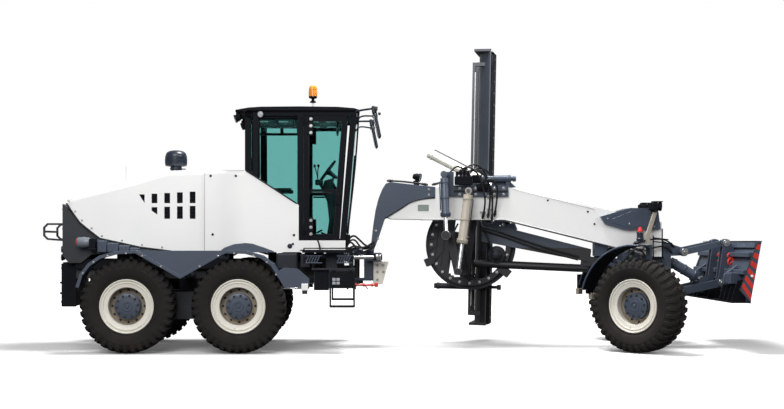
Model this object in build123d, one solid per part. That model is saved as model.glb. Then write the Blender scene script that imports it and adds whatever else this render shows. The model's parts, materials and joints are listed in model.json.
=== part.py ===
from build123d import *
import os
from math import atan2, cos, degrees, hypot, pi, radians, sin

# Motor grader with a vertical (bank-cutting) moldboard and a front dozer blade.
# Millimetres. While modelling, X runs forward from the tandem pivot, Y to the machine's left and Z up from
# the ground. At the end everything is moved so that the origin is the bottom centre of the whole box.

# ---------------------------------------------------------------- driving dimensions
# running gear
TYRE_D = 1350.0
TYRE_W = 445.0
TREAD_DEPTH = 34.0
LUGS_PER_SIDE = 22
CARCASS_SIDES = 30
BEAD_W = 330.0
RIM_R = 330.0
RIM_LIP_R = 385.0
RIM_LIP_T = 20.0
HUB_R = 188.0
HUB_OUT = 128.0
TRACK = 2130.0
TANDEM_SPACING = 1582.0
WHEELBASE = 6700.0
STUB_R = 60.0
RUNNING_FIT = 0.05
SEAT_GAP = 0.3

# rear frame
RAIL_Y = 390.0
RAIL_W = 90.0
RAIL_Z0, RAIL_Z1 = 1050.0, 1290.0
TAIL_X = -1860.0
GUARD_X = -2180.0
TOW_X0, TOW_X1 = -1880.0, -1690.0
SIDE_PLATE_FRONT = -130.0
CASE_Y0, CASE_Y1 = 560.0, 780.0
CASE_H = 330.0
FENDER_Y0, FENDER_Y1 = 850.0, 1290.0
FENDER_T = 26.0

# hood and cowl
HOOD_HALF_W = 600.0
HOOD_FRONT = 245.0
HOOD_TOP = 2650.0
HOOD_T = 24.0
HOOD_EDGE_R = 70.0
SLOT_PITCH = 187.0
SLOT_W = 85.0
SLOT_ROW_UP = (2160.0, 2330.0)
SLOT_ROW_LOW = (1930.0, 2120.0)
SLOTS_UP, SLOTS_LOW = 5, 4
SEAM_GAP = 6.0
COWL_HALF_W = 620.0
CAB_HALF_W = 780.0
CAB_REAR = 835.0
CAB_FLOOR = 1640.0
CAB_TOP = 3500.0
CAB_WALL = 60.0
ROOF_T = 60.0
PILLAR = 90.0
GLASS_T = 8.0
B_PILLAR_X0, B_PILLAR_X1 = 1610.0, 1760.0
DOOR_T = 45.0
DOOR_GAP = 6.0
CHAMFER_X = 130.0
REAR_HALF_W = 650.0
SILL_X = 2310.0
SILL_Z0, SILL_Z1 = 1474.0, 1612.0

# articulation
ART_X = 2482.0
ART_PIN_R = 42.0
ART_PLATE = 40.0
ART_Z_LOW, ART_Z_HIGH = 960.0, 1440.0
YOKE_R = 95.0
YOKE_GAP = 5.0
POST_X0, POST_X1 = 2590.0, 2730.0
POST_HALF_W = 110.0

# front frame
BEAM_HALF_W = 200.0
BEAM_TOP, BEAM_LOW = 2417.0, 1928.0
BEND_AHEAD = 460.0
NOSE_AHEAD = 360.0
BEAM_SLOPE = 14.0
NECK_END_X = 3655.0
NECK_HALF_W = 215.0

# steering and front axle
KINGPIN_Y = 830.0
KINGPIN_R = 40.0
STEER_REST = -44.0
FENDER_R = 860.0
FENDER_HALF_W = 190.0
AXLE_PIN_R = 45.0
AXLE_PIN_Z = 1050.0

# drawbar, circle and moldboard
BALL_BEHIND_AXLE = 550.0
BALL_Z = 1290.0
BALL_R = 70.0
BALL_FLAT = 48.0
DRAWBAR_YAW = -13.3
DRAWBAR_PITCH = 7.5
DRAWBAR_ROLL = 90.0
DRAWBAR_L = 1979.0
CIRCLE_R = 700.0
CIRCLE_IN = 575.0
CIRCLE_DROP = 40.0
CIRCLE_T = 90.0
CIRCLE_TEETH = 64
CIRCLE_TURN = 6.35
BLADE_L = 4340.0
BLADE_H = 630.0
BLADE_T = 22.0
BLADE_SHIFT = 905.0
BLADE_DROP = 165.0
BLADE_FORWARD = 190.0
ARC_DEPTH = 190.0

# dozer blade
DOZER_W = 2560.0
DOZER_TOP_AHEAD, DOZER_TOP_Z = 1140.0, 1600.0
DOZER_LOW_AHEAD, DOZER_LOW_Z = 980.0, 720.0
DOZER_T = 22.0
ARM_Y = 270.0

# ---------------------------------------------------------------- helpers
WHEEL_R = TYRE_D / 2
WHEEL_Y = TRACK / 2
NOSE_X = WHEELBASE + NOSE_AHEAD
BALL = (WHEELBASE - BALL_BEHIND_AXLE, 0.0, BALL_Z)
SADDLE_X = BALL[0] - DRAWBAR_L * cos(radians(DRAWBAR_YAW)) * cos(radians(DRAWBAR_PITCH))
BEAM_BEND_X = SADDLE_X + BEND_AHEAD
LIFT_AXIS = (-sin(radians(DRAWBAR_YAW)), cos(radians(DRAWBAR_YAW)), 0.0)
NODES = {}


def block(x0, x1, y0, y1, z0, z1):
    """A box between two corners."""
    size = (abs(x1 - x0), abs(y1 - y0), abs(z1 - z0))
    centre = ((x0 + x1) / 2, (y0 + y1) / 2, (z0 + z1) / 2)
    return Pos(*centre) * Box(*size)


def slab(points, y0, y1):
    """A side profile of (x, z) points, extruded across the machine from y0 to y1."""
    low, high = min(y0, y1), max(y0, y1)
    face = make_face(Polyline(*[(x, low, z) for x, z in points], close=True))
    return extrude(face, amount=high - low, dir=(0, 1, 0))


def floor_slab(points, z0, z1):
    """A plan profile of (x, y) points, extruded upward from z0 to z1."""
    face = make_face(Polyline(*[(x, y, z0) for x, y in points], close=True))
    return extrude(face, amount=z1 - z0, dir=(0, 0, 1))


def rod(start, end, radius):
    """A round bar between two points."""
    start, end = Vector(*start), Vector(*end)
    return Solid.make_cylinder(radius, (end - start).length, Plane(origin=start, z_dir=end - start))


def ball(centre, radius):
    """A ball."""
    return Pos(*centre) * Sphere(radius)


def bar(start, end, width, depth, side=(0, 1, 0)):
    """A square bar between two points; width is measured along side."""
    start, end = Vector(*start), Vector(*end)
    plane = Plane(origin=start, x_dir=Vector(*side), z_dir=end - start)
    return extrude(plane * Rectangle(width, depth), amount=(end - start).length)


def join(*pieces):
    """The pieces fused into one."""
    fused = pieces[0]
    for piece in pieces[1:]:
        fused = fused + piece
    return fused


def apart(*pieces):
    """Separate solids kept in one node."""
    solids = []
    for piece in pieces:
        solids.extend(piece.solids())
    return Compound(children=solids)


def other_side(shape):
    """The same piece on the machine's other side."""
    return mirror(shape, about=Plane.XZ)


def both(shape):
    """A piece and its mirror image, as separate solids."""
    return apart(shape, other_side(shape))


# ---------------------------------------------------------------- wheels
def tyre():
    """Faceted carcass with slanted lugs, its axis along Y and its centre at the origin."""
    tread_r = WHEEL_R - TREAD_DEPTH
    half = TYRE_W / 2
    flat = 1 / cos(pi / CARCASS_SIDES)
    rings = [
        (-BEAD_W / 2, RIM_LIP_R + 8),
        (-half, 0.78 * WHEEL_R),
        (-0.88 * half, tread_r - 22),
        (-0.72 * half, tread_r),
        (0.72 * half, tread_r),
        (0.88 * half, tread_r - 22),
        (half, 0.78 * WHEEL_R),
        (BEAD_W / 2, RIM_LIP_R + 8),
    ]
    side_on = Plane(origin=(0, 0, 0), x_dir=(1, 0, 0), z_dir=(0, 1, 0))
    sections = [side_on.offset(y) * RegularPolygon(r, CARCASS_SIDES) for y, r in rings]
    body = loft(sections, ruled=True)
    bore_r = (RIM_R + SEAT_GAP) * flat
    body -= extrude(side_on.offset(-half) * RegularPolygon(bore_r, CARCASS_SIDES), amount=TYRE_W)
    lug_len = 0.52 * TYRE_W
    lug_wide = 0.46 * pi * TYRE_D / LUGS_PER_SIDE
    lugs = []
    for i in range(LUGS_PER_SIDE):
        for side in (-1, 1):
            turn = 360.0 * (i + (0.25 if side > 0 else 0.75)) / LUGS_PER_SIDE
            spot = Pos(0, side * (half - lug_len / 2 - 4), WHEEL_R - 38)
            lug = spot * Rot(0, 0, side * 22) * Box(lug_wide, lug_len, 76)
            lugs.append(Rot(0, turn, 0) * lug)
    body = body.fuse(*lugs)
    band = Cylinder(WHEEL_R, TYRE_W, rotation=(90, 0, 0))
    return body & band


def rim(side):
    """Wheel disc, barrel, lips and planetary hub. side is +1 for a left wheel, whose hub points to +Y."""
    half = BEAD_W / 2
    lip0 = half + SEAT_GAP
    lip1 = lip0 + RIM_LIP_T
    inner = RIM_R - 16
    profile = [
        (STUB_R, -40),
        (STUB_R, HUB_OUT - 40),
        (0, HUB_OUT - 40),
        (0, HUB_OUT),
        (HUB_R, HUB_OUT),
        (HUB_R + 6, 20),
        (inner - 60, 0),
        (inner, 60),
        (inner, lip1),
        (RIM_LIP_R, lip1),
        (RIM_LIP_R, lip0),
        (RIM_R, lip0),
        (RIM_R, -lip0),
        (RIM_LIP_R, -lip0),
        (RIM_LIP_R, -lip1),
        (inner, -lip1),
        (inner, -60),
        (inner - 60, -36),
        (HUB_R, -40),
    ]
    face = make_face(Polyline(*[(r, y, 0) for r, y in profile], close=True))
    body = revolve(face, axis=Axis.Y)
    return body if side > 0 else other_side(body)


def add_wheel(name, x, side, turn=0.0, pivot_y=None):
    """A tyre and its rim. turn steers the wheel about a kingpin at pivot_y."""
    place = Pos(x, side * WHEEL_Y, WHEEL_R)
    if pivot_y is not None:
        kingpin = Pos(x, side * pivot_y, 0)
        place = kingpin * Rot(0, 0, turn) * Pos(0, side * (WHEEL_Y - pivot_y), WHEEL_R)
    NODES[name + "_tyre"] = place * TYRE
    NODES[name + "_rim"] = place * RIMS[side]


TYRE = tyre()
RIMS = {1: rim(1), -1: rim(-1)}
REAR_X = -TANDEM_SPACING / 2
MID_X = TANDEM_SPACING / 2
for label, side in (("left", 1), ("right", -1)):
    add_wheel(f"rear_wheel_{label}", REAR_X, side)
    add_wheel(f"middle_wheel_{label}", MID_X, side)
    add_wheel(f"front_wheel_{label}", WHEELBASE, side, STEER_REST, KINGPIN_Y)


# ---------------------------------------------------------------- tandem and rear axle
def tandem_case():
    """Left chain case with round ends, a pivot boss and the two stub axles."""
    r = CASE_H / 2
    middle = block(REAR_X, MID_X, CASE_Y0, CASE_Y1, WHEEL_R - r, WHEEL_R + r)
    case = middle
    for x in (REAR_X, MID_X):
        case += rod((x, CASE_Y0, WHEEL_R), (x, CASE_Y1, WHEEL_R), r)
        case += rod((x, CASE_Y1, WHEEL_R), (x, WHEEL_Y - 50, WHEEL_R), HUB_R - 40)
        case += rod((x, WHEEL_Y - 60, WHEEL_R), (x, WHEEL_Y + HUB_OUT - 45, WHEEL_R), STUB_R - RUNNING_FIT)
    case += slab([(-190, 470), (190, 470), (230, 860), (-230, 860)], CASE_Y0 - 12, CASE_Y1 + 16)
    return case


NODES["tandem_cases"] = both(tandem_case())
axle = rod((0, -CASE_Y0 + 12, WHEEL_R), (0, CASE_Y0 - 12, WHEEL_R), 130)
axle += Pos(0, 0, WHEEL_R) * Cylinder(230, 330, rotation=(90, 0, 0))
axle += block(-150, 150, -RAIL_Y - RAIL_W / 2, RAIL_Y + RAIL_W / 2, WHEEL_R + 100, RAIL_Z0)
axle += rod((200, 0, 760), (420, 0, 800), 90)
NODES["rear_axle"] = axle


# ---------------------------------------------------------------- rear chassis
def yoke_plate(z):
    """Rear plate of the articulation joint: wide at the frame, round about the pin."""
    plate = floor_slab([(2200, -330), (ART_X, -YOKE_R), (ART_X, YOKE_R), (2200, 330)], z, z + ART_PLATE)
    return plate + rod((ART_X, 0, z), (ART_X, 0, z + ART_PLATE), YOKE_R)


def rear_chassis():
    """Side rails, cross members, tail and articulation yoke, welded together."""
    rail_in, rail_out = RAIL_Y - RAIL_W / 2, RAIL_Y + RAIL_W / 2
    frame = block(TAIL_X + 60, 2290, rail_in, rail_out, RAIL_Z0, RAIL_Z1)
    frame += other_side(frame)
    for x in (-1500, -700, 700, 1500, 2200):
        frame += block(x - 60, x + 60, -RAIL_Y, RAIL_Y, RAIL_Z0 + 30, RAIL_Z1 - 30)
    tail = [
        (TAIL_X, 2150),
        (TAIL_X, 1400),
        (TAIL_X + 90, 1280),
        (TAIL_X + 270, 1280),
        (TAIL_X + 420, 1400),
        (-1290, 1420),
        (-1290, 1636),
        (-1580, 1866),
    ]
    frame += slab(tail, -560, 560)
    front = SIDE_PLATE_FRONT
    side = [(-1330, 1420), (-1330, 1655), (-1290, 1638), (-710, 1513), (front, 1437), (front, 1420)]
    skirt = slab(side, 520, HOOD_HALF_W - 4)
    frame = join(frame, skirt, other_side(skirt))
    frame += block(TOW_X0, TOW_X1, -430, 430, 640, 1290)
    for z in (ART_Z_LOW, ART_Z_HIGH):
        frame += yoke_plate(z)
    frame += block(2200, 2290, -300, 300, ART_Z_LOW, ART_Z_HIGH + ART_PLATE)
    frame += rod((ART_X, 0, ART_Z_LOW - 30), (ART_X, 0, ART_Z_HIGH + ART_PLATE + 30), ART_PIN_R)
    for s in (1, -1):
        for x, wall in ((-870, HOOD_HALF_W - HOOD_T), (540, COWL_HALF_W - HOOD_T)):
            frame += block(x - 30, x + 30, s * (RAIL_Y - 30), s * (RAIL_Y + 30), RAIL_Z1 - 5, 1680)
            frame += block(x - 30, x + 30, s * (RAIL_Y - 30), s * wall, 1640, 1680)
    outer = [
        (TAIL_X, 1870),
        (GUARD_X + 60, 1870),
        (GUARD_X, 1810),
        (GUARD_X, 1680),
        (GUARD_X + 60, 1620),
        (TAIL_X, 1600),
    ]
    inner = [
        (TAIL_X - 1, 1842),
        (GUARD_X + 70, 1842),
        (GUARD_X + 28, 1800),
        (GUARD_X + 28, 1690),
        (GUARD_X + 70, 1648),
        (TAIL_X - 1, 1629),
    ]
    guard = slab(outer, 390, 425) - slab(inner, 380, 435)
    guard += block(GUARD_X, GUARD_X + 28, -400, 400, 1730, 1760)
    return join(frame, guard, other_side(guard))


NODES["rear_chassis"] = rear_chassis()
NODES["engine_block"] = block(-1100, 150, -330, 330, RAIL_Z1 - 30, 2150)


# ---------------------------------------------------------------- hood
def hood_profile(inset):
    """Side outline of the hood. inset moves the top, front and rear walls inward."""
    front = HOOD_FRONT - SEAM_GAP - inset
    return [
        (front, 1443),
        (front, HOOD_TOP - inset),
        (-300, HOOD_TOP - 10 - inset),
        (-960, 2450 - inset),
        (-1560, 2300 - inset),
        (-1700 + 0.4 * inset, 2250 - inset),
        (-1783 + inset, 2163),
        (-1590 + inset, 1880),
        (-1300 + inset, 1650),
        (-710, 1520),
        (-120, 1443),
    ]


def hood():
    """Engine hood: a hollow shell, open below, with two rows of air slots each side."""
    inside = [(x, z - (60 if z < 2000 else 0)) for x, z in hood_profile(HOOD_T)]
    shell = HOOD_BODY - slab(inside, -HOOD_HALF_W + HOOD_T, HOOD_HALF_W - HOOD_T)
    wide = HOOD_HALF_W + 20
    for i in range(SLOTS_UP):
        x1 = 105 - SLOT_PITCH * i
        x0 = x1 - SLOT_W
        low, high = SLOT_ROW_UP
        high -= 10 * i
        corners = [(x0, high), (x1, high), (x1, low), (x0, low)]
        shell -= slab(corners[:3] if i == SLOTS_UP - 1 else corners, -wide, wide)
        low, high = SLOT_ROW_LOW
        cut = 60 if i == SLOTS_LOW - 1 else 0
        corners = [(x0, high - 6 * i), (x1, high - 6 * i), (x1, low + cut), (x0, low + 2 * cut)]
        if i < SLOTS_LOW:
            shell -= slab(corners, -wide, wide)
    return shell


HOOD_BODY = slab(hood_profile(0), -HOOD_HALF_W, HOOD_HALF_W)
side_edges = [e for e in HOOD_BODY.edges() if abs(abs(e.center().Y) - HOOD_HALF_W) < 1]
HOOD_BODY = fillet([e for e in side_edges if e.center().Z > 2200], HOOD_EDGE_R)


NODES["hood"] = hood()


# ---------------------------------------------------------------- cowl between hood and cab
def waist_z(x):
    """Height of the cowl's sloping waist beside the cab at x."""
    x0, z0, x1, z1 = WAIST
    return z0 + (z1 - z0) * (x - x0) / (x1 - x0)


def cowl():
    """Fixed white bodywork behind and beside the cab, hollow, with the cab's sloping waist and sill."""
    box = block(HOOD_FRONT, CAB_REAR, -COWL_HALF_W, COWL_HALF_W, 1443, HOOD_TOP)
    top_edges = [e for e in box.edges() if e.center().Z > HOOD_TOP - 1]
    box = fillet([e for e in top_edges if abs(e.center().Y) > 1], HOOD_EDGE_R)
    inner_w = COWL_HALF_W - HOOD_T
    box -= block(HOOD_FRONT - 1, CAB_REAR - HOOD_T, -inner_w, inner_w, 1400, HOOD_TOP - HOOD_T)
    x0, z0, x1, z1 = WAIST
    side = [
        (CAB_REAR, 1443),
        (CAB_REAR, z0 + 15),
        (x0, z0),
        (x1, z1),
        (x1, SILL_Z1),
        (SILL_X, SILL_Z1),
        (SILL_X, SILL_Z0 + SEAT_GAP),
        (1650, SILL_Z0 + SEAT_GAP),
        (1650, 1443),
    ]
    wing = slab(side, CAB_HALF_W - 40, CAB_HALF_W)
    inner = [(CAB_REAR, 1443), (CAB_REAR, z0 + 15), (x0, z0), (1200, waist_z(1200)), (1200, 1443)]
    wing += slab(inner, inner_w, COWL_HALF_W)
    wing += block(CAB_REAR - HOOD_T, CAB_REAR, inner_w, CAB_HALF_W, 1443, z0)
    wing -= slab(hump_profile(HUMP_GAP), HUMP_Y0 - HUMP_GAP, CAB_HALF_W + 1)
    return join(box, wing, other_side(wing))


WAIST = (860.0, 2625.0, 1630.0, 2128.0)
HUMP_Y0, HUMP_Y1 = 725.0, 860.0
HUMP_GAP = 5.0
HUMP = ((465, 1440), (560, 1510), (700, 1560), (833, 1572), (960, 1560), (1110, 1510), (1270, 1450))


def hump_profile(clearance):
    """Side outline of the mudguard's hump, grown by clearance."""
    crest = [(x, z + clearance) for x, z in HUMP]
    first, last = crest[0], crest[-1]
    return [(first[0] - clearance, 1400)] + crest + [(last[0] + clearance, 1400)]


NODES["cowl"] = cowl()


# ---------------------------------------------------------------- cab
CAB_FRONT_TOP, CAB_FRONT_LOW = 2480.0, 2320.0
HINGE_X, HINGE_Y = B_PILLAR_X1 - 57, CAB_HALF_W + 18
HINGE_ZS = (1780.0, 3360.0)
WINDSCREEN_LOW = 1720.0
HINGE_PIN_R = 9.0


def cab_front(z):
    """The leaning front plane of the cab at height z."""
    return CAB_FRONT_LOW + (CAB_FRONT_TOP - CAB_FRONT_LOW) * (z - CAB_FLOOR) / (CAB_TOP - CAB_FLOOR)


def cab_shell():
    """Cab floor, sill, rear wall and pillars, hollow and open at every window and door."""
    floor = block(CAB_REAR, CAB_FRONT_LOW - 20, -CAB_HALF_W + 60, CAB_HALF_W - 60, CAB_FLOOR - 90, CAB_FLOOR)
    rear = block(CAB_REAR, CAB_REAR + CAB_WALL, -REAR_HALF_W, REAR_HALF_W, CAB_FLOOR - 90, 2640)
    header = block(CAB_REAR, CAB_FRONT_TOP - 10, -CAB_HALF_W, CAB_HALF_W, CAB_TOP - 70, CAB_TOP)
    inner_w, outer_w = CAB_HALF_W - 120, CAB_HALF_W + 1
    header -= block(CAB_REAR + 120, CAB_FRONT_TOP - 140, -inner_w, inner_w, CAB_TOP - 80, CAB_TOP + 10)
    corner = [(CAB_REAR - 1, REAR_HALF_W), (CAB_REAR + CHAMFER_X, outer_w), (CAB_REAR - 1, outer_w)]
    for y_sign in (1, -1):
        header -= floor_slab([(x, y_sign * y) for x, y in corner], CAB_TOP - 80, CAB_TOP + 10)
    shell = join(floor, rear, header)
    z0, z1 = CAB_FLOOR - 90, CAB_TOP - 60
    for s in (1, -1):
        rear_post = block(CAB_REAR, CAB_REAR + PILLAR, s * (REAR_HALF_W - PILLAR), s * REAR_HALF_W, z0, z1)
        quarter = block(
            CAB_REAR + CHAMFER_X, CAB_REAR + CHAMFER_X + 70, s * (CAB_HALF_W - 70), s * CAB_HALF_W, 2380, z1
        )
        b_post = block(B_PILLAR_X0, B_PILLAR_X1 - 60, s * (CAB_HALF_W - 110), s * CAB_HALF_W, z0, z1)
        x0, x1 = cab_front(z0), cab_front(z1)
        a_side = [(x0 - 90, z0), (x0, z0), (x1, z1), (x1 - 90, z1)]
        a_post = slab(a_side, s * (CAB_HALF_W - 100), s * (CAB_HALF_W - 20))
        shell = join(shell, rear_post, quarter, b_post, a_post)
    z1 = WINDSCREEN_LOW
    sill = [(cab_front(z0) - 50, z0), (cab_front(z0), z0), (cab_front(z1), z1), (cab_front(z1) - 50, z1)]
    front_sill = slab(sill, -CAB_HALF_W + 60, CAB_HALF_W - 60)
    shell = join(shell, front_sill)
    for s in (1, -1):
        for x in (1200, 1930):
            shell += block(x - 40, x + 40, s * (RAIL_Y - 40), s * (RAIL_Y + 10), RAIL_Z1, CAB_FLOOR - 89)
        for z in HINGE_ZS:
            shell += rod((HINGE_X, s * HINGE_Y, z - 50), (HINGE_X, s * HINGE_Y, z + 50), HINGE_PIN_R)
            out = s * (HINGE_Y + 12)
            for z0 in (z - 60, z + 42):
                shell += block(HINGE_X - 35, HINGE_X - 5, s * (CAB_HALF_W - 10), out, z0, z0 + 18)
                shell += block(HINGE_X - 8, HINGE_X + 12, s * (CAB_HALF_W + 8), out, z0, z0 + 18)
    return shell - NODES["cowl"]


NODES["cab_shell"] = cab_shell()


def cab_roof():
    """Roof panel with an overhang, crowned from side to side and from front to rear."""
    plan = [
        (CAB_REAR - 140, -REAR_HALF_W),
        (CAB_REAR + CHAMFER_X - 60, -CAB_HALF_W - 60),
        (CAB_FRONT_TOP - 40, -CAB_HALF_W - 40),
        (CAB_FRONT_TOP + 40, -CAB_HALF_W + 140),
    ]
    plan += [(x, -y) for x, y in reversed(plan)]
    base = floor_slab(plan, CAB_TOP, CAB_TOP + ROOF_T)
    crown = [
        (CAB_REAR - 200, CAB_TOP - 5),
        (CAB_REAR - 200, CAB_TOP + 0.4 * ROOF_T),
        (CAB_REAR + 250, CAB_TOP + 0.9 * ROOF_T),
        (1650, CAB_TOP + ROOF_T),
        (2200, CAB_TOP + 0.9 * ROOF_T),
        (CAB_FRONT_TOP + 100, CAB_TOP + 0.4 * ROOF_T),
        (CAB_FRONT_TOP + 100, CAB_TOP - 5),
    ]
    return base & slab(crown, -1200, 1200)


NODES["cab_roof"] = cab_roof()


def cab_glass():
    """Windscreen, rear window, quarter windows and fixed side windows."""
    low, high = WINDSCREEN_LOW - 30, CAB_TOP - 70 - SEAT_GAP
    x0, x1 = cab_front(low) + SEAT_GAP, cab_front(high) + SEAT_GAP
    face = [(x0, low), (x1, high), (x1 + GLASS_T, high), (x0 + GLASS_T, low)]
    screen = slab(face, -CAB_HALF_W + 60, CAB_HALF_W - 60)
    half = REAR_HALF_W - PILLAR - SEAT_GAP
    rear = block(CAB_REAR + 20, CAB_REAR + 20 + GLASS_T, -half, half, 2640 + SEAT_GAP, high)
    x0, x1 = CAB_REAR + CHAMFER_X + 70 + SEAT_GAP, B_PILLAR_X0 - SEAT_GAP
    side = [(x0, high), (x0, waist_z(x0) + SEAT_GAP), (x1, waist_z(x1) + SEAT_GAP), (x1, high)]
    pane = slab(side, CAB_HALF_W - 30 - GLASS_T, CAB_HALF_W - 30)
    a = (CAB_REAR + PILLAR + SEAT_GAP, REAR_HALF_W - 8)
    b = (CAB_REAR + CHAMFER_X - SEAT_GAP, CAB_HALF_W - 60)
    quarter = floor_slab([a, b, (b[0], b[1] + GLASS_T), (a[0], a[1] + GLASS_T)], 2645, high)
    return apart(screen, rear, pane, other_side(pane), quarter, other_side(quarter))


NODES["cab_glass"] = cab_glass()


def door_outline(inset):
    """Side outline of the left door; the front edge leans forward with the cab's front post."""
    x0 = B_PILLAR_X1 - 60 + DOOR_GAP
    return [
        (x0 + inset, CAB_FLOOR + inset - 20),
        (x0 + inset, CAB_TOP - 76 - inset),
        (CAB_FRONT_TOP - 140 - inset, CAB_TOP - 76 - inset),
        (CAB_FRONT_LOW - 110 - inset, CAB_FLOOR + inset - 20),
    ]


DOOR_Y1 = CAB_HALF_W
DOOR_Y0 = CAB_HALF_W - DOOR_T
door = slab(door_outline(0), DOOR_Y0, DOOR_Y1) - slab(door_outline(75), DOOR_Y0 - 5, DOOR_Y1 + 5)
door += block(1760, 2260, DOOR_Y0 + 5, DOOR_Y1 - 5, 2320, 2360)
for z in HINGE_ZS:
    leaf = block(HINGE_X, HINGE_X + 60, CAB_HALF_W - 10, HINGE_Y, z - 38, z + 38)
    leaf += rod((HINGE_X, HINGE_Y, z - 38), (HINGE_X, HINGE_Y, z + 38), 16)
    door += leaf - block(HINGE_X - 20, HINGE_X + 12, 700, CAB_HALF_W, z - 60, z + 60)
    door -= rod((HINGE_X, HINGE_Y, z - 60), (HINGE_X, HINGE_Y, z + 60), HINGE_PIN_R + RUNNING_FIT)
pane = slab(door_outline(75 + SEAT_GAP), DOOR_Y0 + 12, DOOR_Y0 + 12 + GLASS_T)
pane -= block(1700, 2300, DOOR_Y0, DOOR_Y1, 2320 - SEAT_GAP, 2360 + SEAT_GAP)
for label, place in (("left", lambda s: s), ("right", other_side)):
    NODES[f"door_{label}"] = place(door)
    NODES[f"door_{label}_glass"] = place(pane)


def cab_interior():
    """Operator's seat on its pedestal and the steering console."""
    seat = block(1050, 1330, -200, 200, CAB_FLOOR, CAB_FLOOR + 400)
    chair = [(980, 1990), (1480, 2010), (1490, 2110), (1080, 2090), (960, 2800), (920, 2790)]
    seat += slab(chair, -240, 240)
    desk = [(1960, CAB_FLOOR), (2130, CAB_FLOOR), (2180, 2280), (2080, 2340), (2000, 2260)]
    console = slab(desk, -130, 130)
    wheel_centre = (1990, 0, 2420)
    tilt = Plane(origin=wheel_centre, x_dir=(0, 1, 0), z_dir=(-0.75, 0, 0.6))
    steering = tilt * Torus(190, 16)
    steering += tilt * Box(380, 40, 16)
    steering += rod((2080, 0, 2280), wheel_centre, 22)
    return apart(seat, join(console, steering))


NODES["cab_interior"] = cab_interior()


# ---------------------------------------------------------------- fenders, steps and small fittings
def strip(crest, outset, inset):
    """Closed outline of a bent sheet along crest, from outset above the line to inset below it."""
    above, below = [], []
    for i, (x, z) in enumerate(crest):
        px, pz = crest[max(i - 1, 0)]
        nx, nz = crest[min(i + 1, len(crest) - 1)]
        length = hypot(nx - px, nz - pz)
        sx, sz = (pz - nz) / length, (nx - px) / length
        above.append((x + outset * sx, z + outset * sz))
        below.append((x - inset * sx, z - inset * sz))
    return above + below[::-1]


def rear_fender():
    """Left double-arch mudguard over both tandem wheels, with its V plate, bead, hump and front flap."""
    crest = [
        (-1500, 950),
        (-1445, 1130),
        (-1330, 1280),
        (-1170, 1390),
        (-930, 1455),
        (-650, 1468),
        (-27, 1110),
        (600, 1468),
        (900, 1460),
        (1130, 1395),
        (1290, 1275),
        (1412, 1080),
    ]
    skin = slab(strip(crest, 0, FENDER_T), FENDER_Y0, FENDER_Y1)
    bead = slab(strip(crest, 6, FENDER_T + 14), FENDER_Y1 - 30, FENDER_Y1)
    web = slab([(-650, 1467), (-27, 1108), (600, 1467)], FENDER_Y1 - 60, FENDER_Y1 - 40)
    hump = slab(list(HUMP) + [(1270, 1440)], HUMP_Y0, HUMP_Y1)
    hexagon = [(1370, 1180), (1440, 1225), (1640, 1210), (1800, 1070), (1800, 930), (1455, 930), (1380, 1060)]
    flap = slab(hexagon, FENDER_Y1 - 30, FENDER_Y1)
    hanger = block(-80, 80, RAIL_Y + RAIL_W / 2 + SEAT_GAP, FENDER_Y0 + 60, 1090, 1130)
    return join(skin, bead, web, hump, flap, hanger)


NODES["rear_fenders"] = both(rear_fender())


def access_steps():
    """Left platform with its battery and tool boxes, hanging ladder and posts."""
    deck = block(1700, 2400, CAB_HALF_W - 20, 1180, 1440, SILL_Z0)
    battery = block(2080, 2450, 860, 1180, 930, 1190)
    tools = block(1860, 2075, 880, 1120, 900, 1192)
    shelf = block(1830, 2450, 840, 1180, 1190, 1215)
    posts = join(block(2030, 2190, 880, 940, 1215, 1440), block(1830, 1860, 880, 940, 1215, 1440))
    ladder = join(block(2085, 2105, 1080, 1140, 665, 930), block(2425, 2445, 1080, 1140, 665, 930))
    tread = block(2085, 2445, 1040, 1180, 655, 675)
    bracket = block(1830, 2190, RAIL_Y + RAIL_W / 2 + SEAT_GAP, 900, 1195, 1215)
    return join(deck, battery, tools, shelf, posts, ladder, tread, bracket)


NODES["access_steps"] = both(access_steps())


def intake_and_exhaust():
    """Mushroom air pre-cleaner and the exhaust stub, both standing on the hood."""
    intake = rod((INTAKE_X, 0, HOOD_TOP - 60), (INTAKE_X, 0, 2750), 62)
    intake += rod((INTAKE_X, 0, 2740), (INTAKE_X, 0, 2975), 168)
    intake = fillet([e for e in intake.edges() if e.center().Z > 2970], 80)
    exhaust = rod((EXHAUST_X, 0, 2400), (EXHAUST_X, 0, 2700), 42)
    exhaust -= rod((EXHAUST_X, 0, 2530), (EXHAUST_X, 0, 2710), 36)
    return apart(intake - HOOD_BODY, exhaust - HOOD_BODY)


INTAKE_X, EXHAUST_X = -265.0, -930.0


NODES["intake_and_exhaust"] = intake_and_exhaust()
BEACON_X = 1814.0
beacon = rod((BEACON_X, 0, CAB_TOP + 50), (BEACON_X, 0, 3700), 40)
beacon += rod((BEACON_X, 0, 3695), (BEACON_X, 0, 3960), 68)
NODES["beacon"] = beacon - NODES["cab_roof"]


def mirrors_and_lamps():
    """Mirror heads on bent arms at the cab's front corners, and work lamps at its rear corners."""
    arm = join(
        rod((CAB_FRONT_TOP - 30, 700, 3440), (2720, 880, 3470), 14),
        rod((2720, 880, 3470), (2760, 930, 3300), 14),
        ball((2720, 880, 3470), 14),
    )
    head = Pos(2772, 950, 3215) * Rot(0, 0, -20) * Box(90, 190, 310)
    rear = rod((720, 560, 3400), (CAB_REAR - SEAT_GAP, 560, 3450), 60)
    rear -= block(CAB_REAR, 1000, 400, 700, 3300, 3600)
    rear -= NODES["cab_roof"]
    mirror_set = join(arm, head) - NODES["cab_shell"] - NODES["cab_glass"]
    return apart(mirror_set, other_side(mirror_set), rear, other_side(rear))


NODES["mirrors_and_lamps"] = mirrors_and_lamps()


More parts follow.
